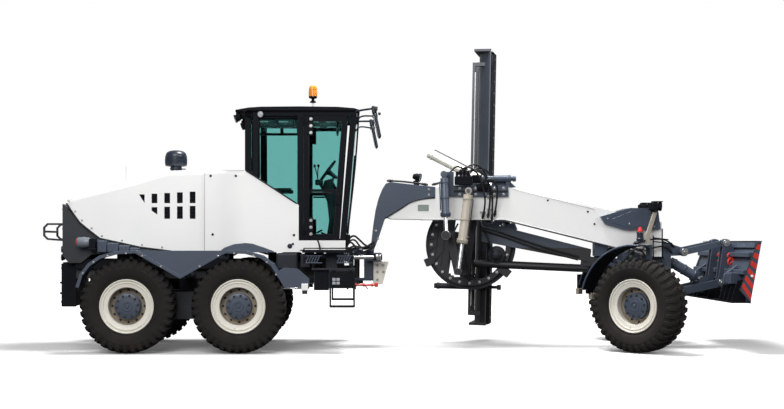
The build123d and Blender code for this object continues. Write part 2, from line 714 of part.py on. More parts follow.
# ---------------------------------------------------------------- front frame
def slope_drop(x):
    """How far the beam has come down at x, forward of its bend."""
    return max(0.0, x - BEAM_BEND_X) * sin(radians(BEAM_SLOPE)) / cos(radians(BEAM_SLOPE))


def main_beam():
    """White box beam: level behind the bend, then sloping down to the nose."""
    side = [
        (NECK_END_X, BEAM_TOP),
        (BEAM_BEND_X, BEAM_TOP),
        (NOSE_X, BEAM_TOP - slope_drop(NOSE_X) + 60),
        (NOSE_X, BEAM_LOW - slope_drop(NOSE_X)),
        (BEAM_BEND_X, BEAM_LOW),
        (3440, BEAM_LOW),
        (3000, 1935),
        (2920, 1960),
        (3127, 2075),
        (3340, 2220),
        (NECK_END_X, 2250),
    ]
    return slab(side, -BEAM_HALF_W, BEAM_HALF_W)


NODES["main_beam"] = main_beam()


def gooseneck():
    """Grey neck: a post up from the articulation, sweeping forward over the beam's rear end."""
    top_lug = ART_Z_HIGH - YOKE_GAP
    side = [
        (POST_X0, ART_Z_LOW + ART_PLATE + YOKE_GAP),
        (POST_X0, 1440),
        (2655, 1470),
        (2700, 1560),
        (2730, 1830),
        (2766, 2070),
        (2811, 2251),
        (2871, 2401),
        (2916, 2470),
        (2990, 2490),
        (3130, 2475),
        (NECK_END_X, BEAM_TOP),
        (NECK_END_X, 2245),
        (3340, 2215),
        (3127, 2070),
        (2901, 1935),
        (2811, 1665),
        (2740, 1480),
        (POST_X1, 1300),
        (POST_X1, ART_Z_LOW + ART_PLATE + YOKE_GAP),
    ]
    neck = slab(side, -NECK_HALF_W, NECK_HALF_W) - NODES["main_beam"]
    for s in (1, -1):
        neck -= block(2500, 2790, s * POST_HALF_W, s * (NECK_HALF_W + 1), 900, 1450)
    for z in (ART_Z_LOW + ART_PLATE + YOKE_GAP, top_lug - ART_PLATE):
        neck += floor_slab([(2700, -150), (ART_X, -YOKE_R), (ART_X, YOKE_R), (2700, 150)], z, z + ART_PLATE)
        neck += rod((ART_X, 0, z), (ART_X, 0, z + ART_PLATE), YOKE_R)
    return neck - rod((ART_X, 0, 900), (ART_X, 0, 1600), ART_PIN_R + RUNNING_FIT)


foot_x = POST_X1 + SEAT_GAP
foot = slab([(foot_x, 1290), (2960, 1290), (2870, 950), (foot_x, 950)], -130, 130)
NODES["neck_foot"] = foot


NODES["gooseneck"] = gooseneck()


# ---------------------------------------------------------------- rams
# Each ram turns on its base pin, and its stem slides in the barrel. The stem's eye is bored wider than
# the pin by slack, because a barrel that turns in step with its driver follows a slightly different arc.
EYE_W = 84.0
PIN_R = 28.0
EYE_WALL = 22.0
PLATE_GAP = 6.0
CAP_T = 16.0
GLAND_L = 60.0
GLAND_RIM = 12.0
STEM_GAP = 15.0


def eye_ring(centre, axis, bore):
    """A ring of the usual wall round a pin of the given direction; its bore is left to be cut."""
    axis = Vector(*axis).normalized()
    start = Vector(*centre) - axis * (EYE_W / 2)
    return rod(tuple(start), tuple(start + axis * EYE_W), bore + EYE_WALL)


def pin(centre, axis, length, radius=PIN_R - RUNNING_FIT):
    """A pin through an eye, centred on it."""
    axis = Vector(*axis).normalized()
    start = Vector(*centre) - axis * (length / 2)
    return rod(tuple(start), tuple(start + axis * length), radius)


def ram(base, tip, barrel_r, rod_r, barrel_end, inward, slack, axis=LIFT_AXIS, back=0.0, cavity=100.0):
    """Barrel and stem of a ram.

    base and tip are the two pins, barrel_end the distance from the base pin to the gland, inward how far
    the stem may move in, and back the length of barrel behind a trunnion.
    """
    start, end = Vector(*base), Vector(*tip)
    along = (end - start).normalized()

    def at(distance):
        return tuple(start + along * distance)

    if back > 0:
        barrel = rod(at(-back), at(barrel_end), barrel_r)
        barrel += pin(base, axis, 2 * (barrel_r + TRUNNION_OUT))
    else:
        barrel = rod(at(2 * PIN_R), at(barrel_end), barrel_r)
        barrel += rod(at(PIN_R + 4), at(2 * PIN_R + 10), PIN_R + 10)
        barrel = (barrel + eye_ring(base, axis, PIN_R)) - pin(base, axis, 300, PIN_R)
    barrel += rod(at(barrel_end - GLAND_L), at(barrel_end), barrel_r + GLAND_RIM)
    barrel -= rod(at(cavity), at(barrel_end + 5), rod_r + RUNNING_FIT)
    bore = PIN_R + slack
    stem = rod(at(cavity + inward + STEM_GAP), at((end - start).length - bore), rod_r)
    stem = (stem + eye_ring(tip, axis, bore)) - pin(tip, axis, 300, bore)
    return barrel, stem


def held_pin(slack):
    """Pin along Y at the origin with a cap each side, wide enough to cover a slack eye."""
    reach = EYE_W / 2 + PLATE_GAP
    caps = rod((0, 0, 0), (0, reach + CAP_T, 0), PIN_R - RUNNING_FIT)
    caps += rod((0, reach, 0), (0, reach + CAP_T, 0), PIN_R + slack + CAP_T)
    return join(caps, other_side(caps))


def at_pin(point, shape):
    """A shape drawn about a pin along Y at the origin, set at point with that pin along the lift axis."""
    return Pos(*point) * Rot(0, 0, DRAWBAR_YAW) * shape


TRUNNION_OUT = 55.0


def across(base, tip_x, tip_z):
    """A ram's tip pin, set so that the ram moves in the plane of the drawbar's lift."""
    y = base[1] - (tip_x - base[0]) * LIFT_AXIS[0] / LIFT_AXIS[1]
    return (base, (tip_x, y, tip_z))


# ---------------------------------------------------------------- saddle and its rams
LIFT_NEAR = across((SADDLE_X - 100, -400.0, 2350.0), SADDLE_X - 250, 1150.0)
LIFT_FAR = across((SADDLE_X - 60, 518.0, 2678.0), SADDLE_X + 610, 2316.0)
SHIFT = across((SADDLE_X - 470, -480.0, 2590.0), SADDLE_X - 440, 1690.0)
LIFT_R, LIFT_ROD_R = 68.0, 36.0
SHIFT_R, SHIFT_ROD_R = 60.0, 32.0
NEAR_SLACK, FAR_SLACK, SHIFT_SLACK = 4.0, 21.0, 17.0
SADDLE_T = 40.0


def saddle():
    """Clamp round the beam with the arms that carry the lift and centre-shift rams."""
    x0, x1 = SADDLE_X - 380, SADDLE_X + 510
    outer = BEAM_HALF_W + SADDLE_T
    top = BEAM_TOP + 22
    side = [(x0, 2270), (x0, top), (BEAM_BEND_X, top), (x1, top - 30), (x1, 2270)]
    clamp = slab(side, -outer, outer)
    clamp -= block(x0 - 9, x1 + 9, -BEAM_HALF_W, BEAM_HALF_W, 2200, BEAM_TOP)
    wedge = [(230, BEAM_TOP), (320, 2490), (560, 2490), (640, BEAM_TOP)]
    clamp += slab([(SADDLE_X + x, z) for x, z in wedge], -130, 130)
    clamp += rod((SADDLE_X + 140, -170, 2540), (SADDLE_X + 560, -170, 2540), 50)
    for x in (SADDLE_X + 160, SADDLE_X + 480):
        clamp += block(x, x + 60, -200, -140, BEAM_TOP, 2520)
    stub = join(block(-36, 36, EYE_W / 2 + PLATE_GAP, 172, -36, 36), pin((0, 0, 0), (0, 1, 0), EYE_W + 30))
    clamp += at_pin(LIFT_NEAR[0], stub)
    arm = join(block(-40, 40, EYE_W / 2 + PLATE_GAP, 262, -40, 40), pin((0, 0, 0), (0, 1, 0), EYE_W + 30))
    clamp += at_pin(SHIFT[0], arm)
    clamp += block(SADDLE_X - 440, SADDLE_X - 310, -outer - 22, -BEAM_HALF_W - SEAT_GAP, 2290, 2640)
    cheek_in = LIFT_R + 16
    cheek = slab([(-90, -210), (90, -210), (48, 48), (-48, 48)], cheek_in, cheek_in + 30)
    floor = block(-90, 90, -cheek_in - 30, cheek_in + 30, -240, -205)
    yoke = join(cheek, other_side(cheek), floor) - pin((0, 0, 0), (0, 1, 0), 400, PIN_R)
    clamp += at_pin(LIFT_FAR[0], yoke)
    shelf_z = LIFT_FAR[0][2] - 206
    clamp += block(SADDLE_X - 140, SADDLE_X + 30, BEAM_HALF_W + SEAT_GAP, 470, top - 30, shelf_z)
    return clamp


NODES["saddle"] = saddle()
RAMS = {
    "lift_near": ram(*LIFT_NEAR, LIFT_R, LIFT_ROD_R, 780, 150, NEAR_SLACK),
    "lift_far": ram(*LIFT_FAR, LIFT_R, LIFT_ROD_R, 230, 20, FAR_SLACK, back=655, cavity=60),
    "centre_shift": ram(*SHIFT, SHIFT_R, SHIFT_ROD_R, 620, 160, SHIFT_SLACK),
}


# ---------------------------------------------------------------- nose, lamps and front axle
def nose():
    """Hexagonal valve box on the beam, the ball bracket and the axle bolster under the nose."""
    hexagon = [(-570, 1970), (-120, 2100), (290, 2095), (330, 1780), (-190, 1770), (-500, 1860)]
    box = slab([(WHEELBASE + x, z) for x, z in hexagon], -260, 260)
    nose_low = BEAM_LOW - slope_drop(NOSE_X)
    legs = [(-250, 1500), (-160, 960), (160, 960)]
    front = [(NOSE_X, nose_low - 40), (NOSE_X, 1500)]
    bolster = slab([(WHEELBASE + x, z) for x, z in legs] + front, -190, 190)
    arch = [(-140, 940), (-120, 1130), (120, 1130), (140, 940)]
    bolster -= slab([(WHEELBASE + x, z) for x, z in arch], -115, 115)
    bolster -= rod((WHEELBASE - 200, 0, AXLE_PIN_Z), (WHEELBASE + 200, 0, AXLE_PIN_Z), AXLE_PIN_R)
    hang = [(-75, 330), (-75, 88), (75, 88), (150, 270)]
    hanger = slab([(BALL[0] + x, BALL_Z + z) for x, z in hang], -85, 85)
    hanger += rod((BALL[0], 0, BALL_Z - 60), (BALL[0], 0, BALL_Z + 110), PIN_R - RUNNING_FIT)
    return join(box, bolster, hanger) - NODES["main_beam"]


NODES["nose"] = nose()


def headlamp():
    """Left headlamp: a round housing on a bent strut from the nose box."""
    x = WHEELBASE + 170
    housing = rod((x, 350, 2130), (x + 100, 350, 2130), 80) + ball((x, 350, 2130), 80)
    strut = join(
        rod((x - 10, 350, 2070), (x - 60, 350, 1700), 20),
        rod((x - 60, 350, 1700), (x - 70, 180, 1500), 20),
        ball((x - 60, 350, 1700), 20),
    )
    return join(housing, strut) - NODES["nose"] - NODES["main_beam"]


NODES["headlamps"] = both(headlamp())


def front_axle():
    """Arched axle beam on its centre pin, with a vertical boss at each kingpin."""
    arch = [(-KINGPIN_Y, 610), (-KINGPIN_Y, 760), (-300, 900), (300, 900), (KINGPIN_Y, 760), (KINGPIN_Y, 610)]
    arch += [(330, 700), (-330, 700)]
    face = make_face(Polyline(*[(WHEELBASE - 85, y, z) for y, z in arch], close=True))
    beam = extrude(face, amount=170, dir=(1, 0, 0))
    hump = [(-85, 890), (-60, 1110), (60, 1110), (85, 890)]
    beam += slab([(WHEELBASE + x, z) for x, z in hump], -100, 100)
    for s in (1, -1):
        beam += rod((WHEELBASE, s * KINGPIN_Y, 560), (WHEELBASE, s * KINGPIN_Y, 790), 88)
        beam -= rod((WHEELBASE, s * KINGPIN_Y, 400), (WHEELBASE, s * KINGPIN_Y, 900), KINGPIN_R)
    return beam + rod((WHEELBASE - 150, 0, AXLE_PIN_Z), (WHEELBASE + 150, 0, AXLE_PIN_Z), AXLE_PIN_R)


NODES["front_axle"] = front_axle()


def knuckle(side):
    """Steering knuckle with kingpin, stub axle, fender arm and fender. side is +1 for the left wheel."""
    offset = WHEEL_Y - KINGPIN_Y

    def plate(x0, x1, y0, y1, z0, z1):
        return block(x0, x1, side * y0, side * y1, z0, z1)

    ears = join(
        plate(-90, 90, -70, 150, 500, 550),
        plate(-90, 90, -70, 150, 800, 850),
        plate(-90, 90, 96, 150, 500, 850),
        rod((0, 0, 490), (0, 0, 870), KINGPIN_R - RUNNING_FIT),
        rod((0, side * 140, WHEEL_R), (0, side * (offset - 45), WHEEL_R), 120),
        rod((0, side * 150, WHEEL_R), (0, side * (offset + HUB_OUT - 45), WHEEL_R), STUB_R - RUNNING_FIT),
    )
    rings = []
    for radius in (FENDER_R + 18, FENDER_R):
        angles = [radians(84 + 82 * i / 7) for i in range(8)]
        rings.append([(radius * cos(a), WHEEL_R + radius * sin(a)) for a in angles])
    low, high = side * (offset - FENDER_HALF_W), side * (offset + FENDER_HALF_W)
    fender = slab(rings[0] + rings[1][::-1], low, high)
    crown = WHEEL_R + FENDER_R
    post = plate(-35, 35, -60, 0, 840, crown + 13) + plate(-35, 35, -60, 70, crown - 30, crown + 13)
    stay = bar((-20, side * -30, 1200), (-560, side * -30, 1300), 40, 40)
    stay += plate(-580, -540, -50, 60, 1280, WHEEL_R + 675)
    piece = join(ears, fender, post, stay)
    return Pos(WHEELBASE, side * KINGPIN_Y, 0) * Rot(0, 0, STEER_REST) * piece


NODES["knuckle_left"] = knuckle(1)
NODES["knuckle_right"] = knuckle(-1)


# ---------------------------------------------------------------- drawbar, circle and moldboard
DRAW = Pos(*BALL) * Rot(0, 0, DRAWBAR_YAW) * Rot(0, DRAWBAR_PITCH, 0) * Rot(DRAWBAR_ROLL, 0, 0)
CIRCLE = DRAW * Pos(-DRAWBAR_L, 0, -CIRCLE_DROP) * Rot(0, 0, CIRCLE_TURN)
FRAME_R, FRAME_IN = 640.0, 560.0
SHOE_ANGLES = (30, 150, 210, 330)


def local_point(place, point):
    """A world point in a placed frame's own coordinates."""
    moved = place.inverse() * Pos(*point)
    return tuple(moved.position)


def drawbar():
    """Two-legged drawbar with its ball cheeks, the round frame over the circle, and the ram studs."""
    upper = floor_slab([(-1843, 383), (-1803, 75), (-153, -20), (-130, 175)], -30, 80)
    lower = rod((-1871, -277, 32), (-140, -124, 10), 60)
    neck = floor_slab([(-130, 150), (-130, -160), (-260, -190), (-260, 150)], -50, 60)
    for z0 in (-BALL_FLAT - 40, BALL_FLAT + 0.5):
        cheek = floor_slab([(45, 42), (45, -45), (-150, -90), (-150, 66)], z0, z0 + 39.5)
        neck += cheek - rod((0, 0, z0 - 5), (0, 0, z0 + 45), PIN_R)
    centre = Pos(-DRAWBAR_L, 0, 0)
    disc = Cylinder(FRAME_R, 60)
    ring = disc - Cylinder(FRAME_IN, 80)
    ring += disc & block(-FRAME_R, -270, -FRAME_R, FRAME_R, -30, 30)
    ring += disc & block(-60, 60, -FRAME_R, FRAME_R, -30, 30)
    out, keep = CIRCLE_R + 60, CIRCLE_DROP + CIRCLE_T
    shoe = block(FRAME_R - 40, out, -60, 60, -25, 25)
    shoe += block(out - 50, out, -60, 60, -keep - 25, 25)
    shoe += block(CIRCLE_R - 50, out, -60, 60, -keep - 25, -keep - 0.5)
    frame = join(upper, lower, neck, centre * ring)
    for angle in SHOE_ANGLES:
        frame += centre * Rot(0, 0, angle) * shoe
    near, shift = local_point(DRAW, LIFT_NEAR[1]), local_point(DRAW, SHIFT[1])
    plan = [
        (near[0] - 70, near[1] - 60),
        (shift[0] - 70, shift[1] + 60),
        (shift[0] + 60, shift[1] + 60),
        (near[0] + 60, near[1] - 60),
    ]
    reach = EYE_W / 2 + PLATE_GAP + CAP_T
    frame = DRAW * (frame + floor_slab(plan, 0, near[2] - reach - 40))
    for point, slack, width in ((LIFT_NEAR[1], NEAR_SLACK, PIN_R + 20), (SHIFT[1], SHIFT_SLACK, PIN_R + 14)):
        depth = local_point(DRAW, point)[2] - near[2] + reach + 60
        frame += at_pin(point, held_pin(slack) + rod((0, reach - 1, 0), (0, depth, 0), width))
    inner, outer = EYE_W / 2 + PLATE_GAP, reach
    fork = slab([(-50, 45), (50, 45), (70, -130), (-70, -130)], inner, outer)
    foot = block(-70, 70, -outer, outer, -140, -100)
    frame += at_pin(LIFT_FAR[1], join(held_pin(FAR_SLACK), fork, other_side(fork), foot))
    x, y, z = LIFT_FAR[1]
    return frame + bar((x, y - 15, z - 110), (SADDLE_X + 320, 320, 1750), 50, 110)


swivel = ball((0, 0, 0), BALL_R) & block(-90, 90, -90, 90, -BALL_FLAT, BALL_FLAT)
swivel = DRAW * join(swivel, rod((0, 0, -BALL_FLAT - 39), (0, 0, BALL_FLAT + 39), PIN_R - RUNNING_FIT))
swivel -= rod((BALL[0], BALL[1], BALL_Z - 200), (BALL[0], BALL[1], BALL_Z + 200), PIN_R)
NODES["drawbar_ball"] = swivel
NODES["drawbar"] = drawbar()


def circle():
    """Toothed turning ring with the two arms and bearing blocks that carry the moldboard."""
    ring = Pos(0, 0, -CIRCLE_T / 2) * (Cylinder(CIRCLE_R, CIRCLE_T) - Cylinder(CIRCLE_IN, CIRCLE_T + 20))
    teeth = []
    for i in range(CIRCLE_TEETH):
        tooth = Pos(CIRCLE_IN - 8, 0, -CIRCLE_T / 2) * Box(26, 24, CIRCLE_T - 20)
        teeth.append(Rot(0, 0, 360.0 * i / CIRCLE_TEETH) * tooth)
    ring = ring.fuse(*teeth)
    arm = [
        (RAIL_X0 - 150, -CIRCLE_T + 1),
        (RAIL_X0 + 270, -CIRCLE_T + 1),
        (RAIL_X0 + 90, -230),
        (RAIL_X0, -420),
        (RAIL_X0 + 10, -720),
        (RAIL_X0 - 110, -720),
        (RAIL_X0 - 250, -380),
        (RAIL_X0 - 150, -150),
    ]
    for s in (1, -1):
        ring += slab(arm, s * 520, s * 560)
        for z in RAIL_ZS:
            ring += block(RAIL_X0 - 100, RAIL_X1 + 30, s * 470, s * 610, z - 60, z + 60)
    for z0, z1 in ((-420, -340), (-700, -640)):
        ring += block(RAIL_X0 - 150, RAIL_X0 - 90, -520, 520, z0, z1)
    for z in RAIL_ZS:
        ring -= block(RAIL_X0 - 1, RAIL_X1 + 1, -700, 700, z - RAIL_H / 2 - 1, z + RAIL_H / 2 + 1)
    return CIRCLE * ring


RAIL_X0, RAIL_X1 = -50.0, 0.0
RAIL_H = 60.0
RAIL_ZS = (-270.0, -660.0)
NODES["circle"] = circle()


def blade_line(offset):
    """Moldboard section from top edge to cutting edge, moved back by offset."""
    points = []
    for i in range(9):
        t = i / 8
        depth = ARC_DEPTH * (1 - (2 * t - 1) ** 2)
        points.append((BLADE_FORWARD + 60 - depth - offset - 20 * t, -BLADE_DROP - BLADE_H * t))
    return points


def moldboard():
    """Curved blade with its cutting edge, end bits, back rails and their brackets."""
    y0, y1 = BLADE_SHIFT - BLADE_L / 2, BLADE_SHIFT + BLADE_L / 2
    blade = slab(blade_line(0) + blade_line(BLADE_T)[::-1], y0, y1)
    x, z = blade_line(0)[-1]
    blade += slab([(x + 16, z - 12), (x, z + 150), (x - 30, z + 150), (x - 6, z - 12)], y0, y1)
    front = slab(blade_line(BLADE_T / 2) + [(500, -900), (500, -100)], y0 - 1, y1 + 1)
    for z in RAIL_ZS:
        blade += block(RAIL_X0, RAIL_X1, y0 + 150, y1 - 200, z - RAIL_H / 2, z + RAIL_H / 2)
        for y in (y0 + 150, y1 - 260):
            blade += block(RAIL_X0, RAIL_X1 + 200, y, y + 60, z - RAIL_H / 2, z + RAIL_H / 2) - front
    x = RAIL_X0 + 30
    for y in (y0, y1 - 40):
        blade += slab(blade_line(0) + [(x, -BLADE_DROP - BLADE_H), (x, -BLADE_DROP)], y, y + 40)
    return CIRCLE * blade


NODES["moldboard"] = moldboard()


# ---------------------------------------------------------------- dozer
LOW_PIN = (NOSE_X + 240, 845.0)
HIGH_PIN = (NOSE_X + 310, 1439.0)
LINK = (620.0, 136.0)
LINK_PIN_R = 34.0
DOZER_RAM = ((NOSE_X + 130, 0.0, 1320.0), (NOSE_X + 680, 0.0, 1000.0))
DOZER_SLACK = 25.0


def dozer_mount():
    """Bracket bolted to the nose, with the four link pins and the ram's pin."""
    low = [(0, 790), (270, 770), (300, 900), (140, 1060)]
    high = [(140, 1380), (360, 1390), (360, 1490), (140, 1560), (0, 1620)]
    plate = slab([(NOSE_X + x, z) for x, z in low + high], 150, 200)
    back = block(NOSE_X, NOSE_X + 40, -200, 200, 800, 1600)
    x, _, z = DOZER_RAM[0]
    lug = block(NOSE_X + 30, x + 34, EYE_W / 2 + PLATE_GAP, EYE_W / 2 + PLATE_GAP + 24, z - 34, z + 34)
    mount = join(back, plate, other_side(plate), lug, other_side(lug))
    mount += pin(DOZER_RAM[0], (0, 1, 0), EYE_W + 40)
    for s in (1, -1):
        for x, z in (LOW_PIN, HIGH_PIN):
            mount += rod((x, s * 150, z), (x, s * 330, z), LINK_PIN_R - RUNNING_FIT)
    return mount - NODES["nose"]


NODES["dozer_mount"] = dozer_mount()


def link(pin_at, depth):
    """Left link with a ringed boss at each end."""
    x, z = pin_at
    tip = (x + LINK[0], z + LINK[1])
    piece = bar((x, ARM_Y, z), (tip[0], ARM_Y, tip[1]), 80, depth)
    for cx, cz in (pin_at, tip):
        piece += rod((cx, ARM_Y - 45, cz), (cx, ARM_Y + 45, cz), 62)
    for cx, cz in (pin_at, tip):
        piece -= rod((cx, ARM_Y - 60, cz), (cx, ARM_Y + 60, cz), LINK_PIN_R)
    return piece


def dozer_arms():
    """The two lower links, tied by a cross tube that carries the ram's pin."""
    low = link(LOW_PIN, 110)
    cross_x, cross_z = LOW_PIN[0] + 350, LOW_PIN[1] + 30
    arms = join(low, other_side(low), rod((cross_x, -ARM_Y, cross_z), (cross_x, ARM_Y, cross_z), 40))
    x, _, z = DOZER_RAM[1]
    inner = EYE_W / 2 + PLATE_GAP
    foot = [(cross_x - 35, cross_z - 10), (cross_x + 35, cross_z - 25)]
    lug = slab(foot + [(x + 50, z - 10), (x + 45, z + 45), (x - 45, z + 45)], inner, inner + CAP_T)
    return join(arms, lug, other_side(lug), Pos(x, 0, z) * held_pin(DOZER_SLACK))


NODES["dozer_arms"] = dozer_arms()
NODES["dozer_links"] = both(link(HIGH_PIN, 90))


def dozer_blade():
    """Curved blade, concave to the front, with end plates, a top rail and link lugs."""
    top = (NOSE_X + DOZER_TOP_AHEAD, DOZER_TOP_Z)
    foot = (NOSE_X + DOZER_LOW_AHEAD, DOZER_LOW_Z)
    front = []
    for i in range(7):
        t = i / 6
        depth = 85 * (1 - (2 * t - 1) ** 2)
        front.append((top[0] + (foot[0] - top[0]) * t - depth, top[1] + (foot[1] - top[1]) * t))
    rear = [(x - DOZER_T, z) for x, z in front]
    blade = slab(front + rear[::-1], -DOZER_W / 2, DOZER_W / 2)
    end = [top, (top[0] - 70, top[1] - 40), (top[0] - 310, foot[1] + 190), foot]
    end_plate = slab(end, DOZER_W / 2 - DOZER_T, DOZER_W / 2)
    edge = [(0, 0), (-90, -10), (-110, -90), (-40, -80)]
    rail = slab([(top[0] + x, top[1] + z) for x, z in edge], -DOZER_W / 2, DOZER_W / 2)
    blade = join(blade, end_plate, other_side(end_plate), rail)
    back = [(x - DOZER_T / 2, z) for x, z in front[1:6]]
    low_x, low_z = LOW_PIN[0] + LINK[0], LOW_PIN[1] + LINK[1]
    high_x, high_z = HIGH_PIN[0] + LINK[0], HIGH_PIN[1] + LINK[1]
    lugs = [(low_x + 20, low_z - 100), (low_x - 50, low_z - 40), (low_x - 50, low_z + 60)]
    lugs += [(high_x - 55, high_z - 70), (high_x - 55, high_z + 45), (high_x + 40, high_z + 50)]
    for y in (ARM_Y - 80, ARM_Y + 52):
        plate = slab(lugs + back, y, y + 28)
        blade = join(blade, plate, other_side(plate))
    for x, z in ((low_x, low_z), (high_x, high_z)):
        stud = rod((x, ARM_Y - 75, z), (x, ARM_Y + 75, z), LINK_PIN_R - RUNNING_FIT)
        blade = join(blade, stud, other_side(stud))
    return blade


NODES["dozer_blade"] = dozer_blade()
RAMS["dozer"] = ram(*DOZER_RAM, 76, 36, 520, 30, DOZER_SLACK, axis=(0, 1, 0), cavity=80)

# ---------------------------------------------------------------- articulation rams
STEER_RAM = ((1760.0, 520.0, 1360.0), (2790.0, 300.0, 1360.0))
STEER_SLACK = 18.0
UP = (0, 0, 1)
barrel, stem = ram(*STEER_RAM, 52, 28, 640, 125, STEER_SLACK, axis=UP)
RAMS["articulation_left"] = (barrel, stem)
RAMS["articulation_right"] = (other_side(barrel), other_side(stem))


def steer_base():
    """Left base lug of the articulation ram, on top of the frame rail."""
    x, y, z = STEER_RAM[0]
    low = z - EYE_W / 2 - PLATE_GAP
    rail_out = RAIL_Y + RAIL_W / 2
    lug = block(x - 40, x + 20, rail_out - 60, y + 36, low - 20, low)
    lug += block(x - 40, x + 20, RAIL_Y - 30, rail_out - 5, RAIL_Z1 - 20, low)
    return lug + pin(STEER_RAM[0], UP, EYE_W + 2 * PLATE_GAP + 30)


def steer_tip():
    """Left pair of lugs on the neck's post, holding the articulation ram's pin."""
    x, y, z = STEER_RAM[1]
    inner = EYE_W / 2 + PLATE_GAP
    plan = [(POST_X0 + 30, 90), (POST_X1, 90), (x + 60, y - 20), (x + 60, y + 50), (x - 60, y + 50)]
    lug = floor_slab(plan, z + inner, z + inner + CAP_T) + floor_slab(plan, z - inner - CAP_T, z - inner)
    return lug + pin(STEER_RAM[1], UP, EYE_W + 2 * PLATE_GAP + CAP_T)


NODES["rear_chassis"] = join(NODES["rear_chassis"], steer_base(), other_side(steer_base()))
NODES["gooseneck"] = join(NODES["gooseneck"], steer_tip(), other_side(steer_tip()))
for name, (barrel, stem) in RAMS.items():
    NODES[name + "_barrel"] = barrel
    NODES[name + "_rod"] = stem

# ---------------------------------------------------------------- origin and export
boxes = [shape.bounding_box() for shape in NODES.values()]
X_MID = (min(b.min.X for b in boxes) + max(b.max.X for b in boxes)) / 2
Z_LOW = min(b.min.Z for b in boxes)
to_origin = Pos(-X_MID, 0, -Z_LOW)
os.makedirs("parts", exist_ok=True)
for name, shape in NODES.items():
    export_step(to_origin * shape, f"parts/{name}.step")
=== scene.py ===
"""Motor grader: finishes, detailed pieces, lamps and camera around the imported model."""

import json
import logging
import math
from dataclasses import dataclass
from enum import Enum
from typing import Iterable, Sequence

import bpy
from mathutils import Matrix, Vector

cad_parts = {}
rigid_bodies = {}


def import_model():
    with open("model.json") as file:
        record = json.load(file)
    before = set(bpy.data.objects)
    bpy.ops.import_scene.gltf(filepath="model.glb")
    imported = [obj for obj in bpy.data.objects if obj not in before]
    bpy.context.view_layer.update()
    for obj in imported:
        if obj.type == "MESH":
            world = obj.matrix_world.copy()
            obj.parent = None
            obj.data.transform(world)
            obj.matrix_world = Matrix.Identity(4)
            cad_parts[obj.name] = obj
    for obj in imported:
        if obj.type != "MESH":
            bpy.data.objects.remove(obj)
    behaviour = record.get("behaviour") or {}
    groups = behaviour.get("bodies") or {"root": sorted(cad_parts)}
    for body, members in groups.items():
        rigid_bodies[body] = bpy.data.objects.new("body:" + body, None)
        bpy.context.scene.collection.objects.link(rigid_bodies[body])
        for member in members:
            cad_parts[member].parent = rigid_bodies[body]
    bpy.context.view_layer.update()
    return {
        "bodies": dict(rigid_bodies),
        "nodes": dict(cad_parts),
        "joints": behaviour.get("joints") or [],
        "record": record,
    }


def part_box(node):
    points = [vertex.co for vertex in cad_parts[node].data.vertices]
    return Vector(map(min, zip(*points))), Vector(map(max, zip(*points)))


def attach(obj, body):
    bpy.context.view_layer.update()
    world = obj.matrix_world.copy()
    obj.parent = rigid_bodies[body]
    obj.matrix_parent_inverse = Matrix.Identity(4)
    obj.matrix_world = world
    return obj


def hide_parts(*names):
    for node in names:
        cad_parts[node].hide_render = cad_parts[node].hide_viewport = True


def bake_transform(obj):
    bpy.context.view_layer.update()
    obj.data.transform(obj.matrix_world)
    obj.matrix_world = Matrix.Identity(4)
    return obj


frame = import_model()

LOG = logging.getLogger("grader")
Point = tuple[float, float, float]
Flat = tuple[float, float]
Colour = tuple[float, float, float]
TURN = 2 * math.pi
FRONT_STEER = math.radians(-44.0)


# ------------------------------------------------------------------ places
def box_centre(node: str) -> Vector:
    """Centre of a CAD node's box.

    Args:
        node: the CAD node's name.

    Returns:
        The centre in the row frame, in metres.
    """
    low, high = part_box(node)
    return (Vector(low) + Vector(high)) / 2


PIVOT_X = (box_centre("rear_wheel_right_tyre").x + box_centre("middle_wheel_right_tyre").x) / 2


def at(x: float, y: float, z: float) -> Vector:
    """A place measured forward, left and up from the ground under the tandem pivot.

    Args:
        x: metres forward of the tandem pivot.
        y: metres to the machine's left.
        z: metres above the ground.

    Returns:
        The same place in the row frame.
    """
    return Vector((x + PIVOT_X, y, z))


class Side(Enum):
    """The machine's two sides, as the sign of Y."""

    LEFT = 1
    RIGHT = -1

    @property
    def word(self) -> str:
        """The side's name as CAD nodes and bodies spell it."""
        return self.name.lower()


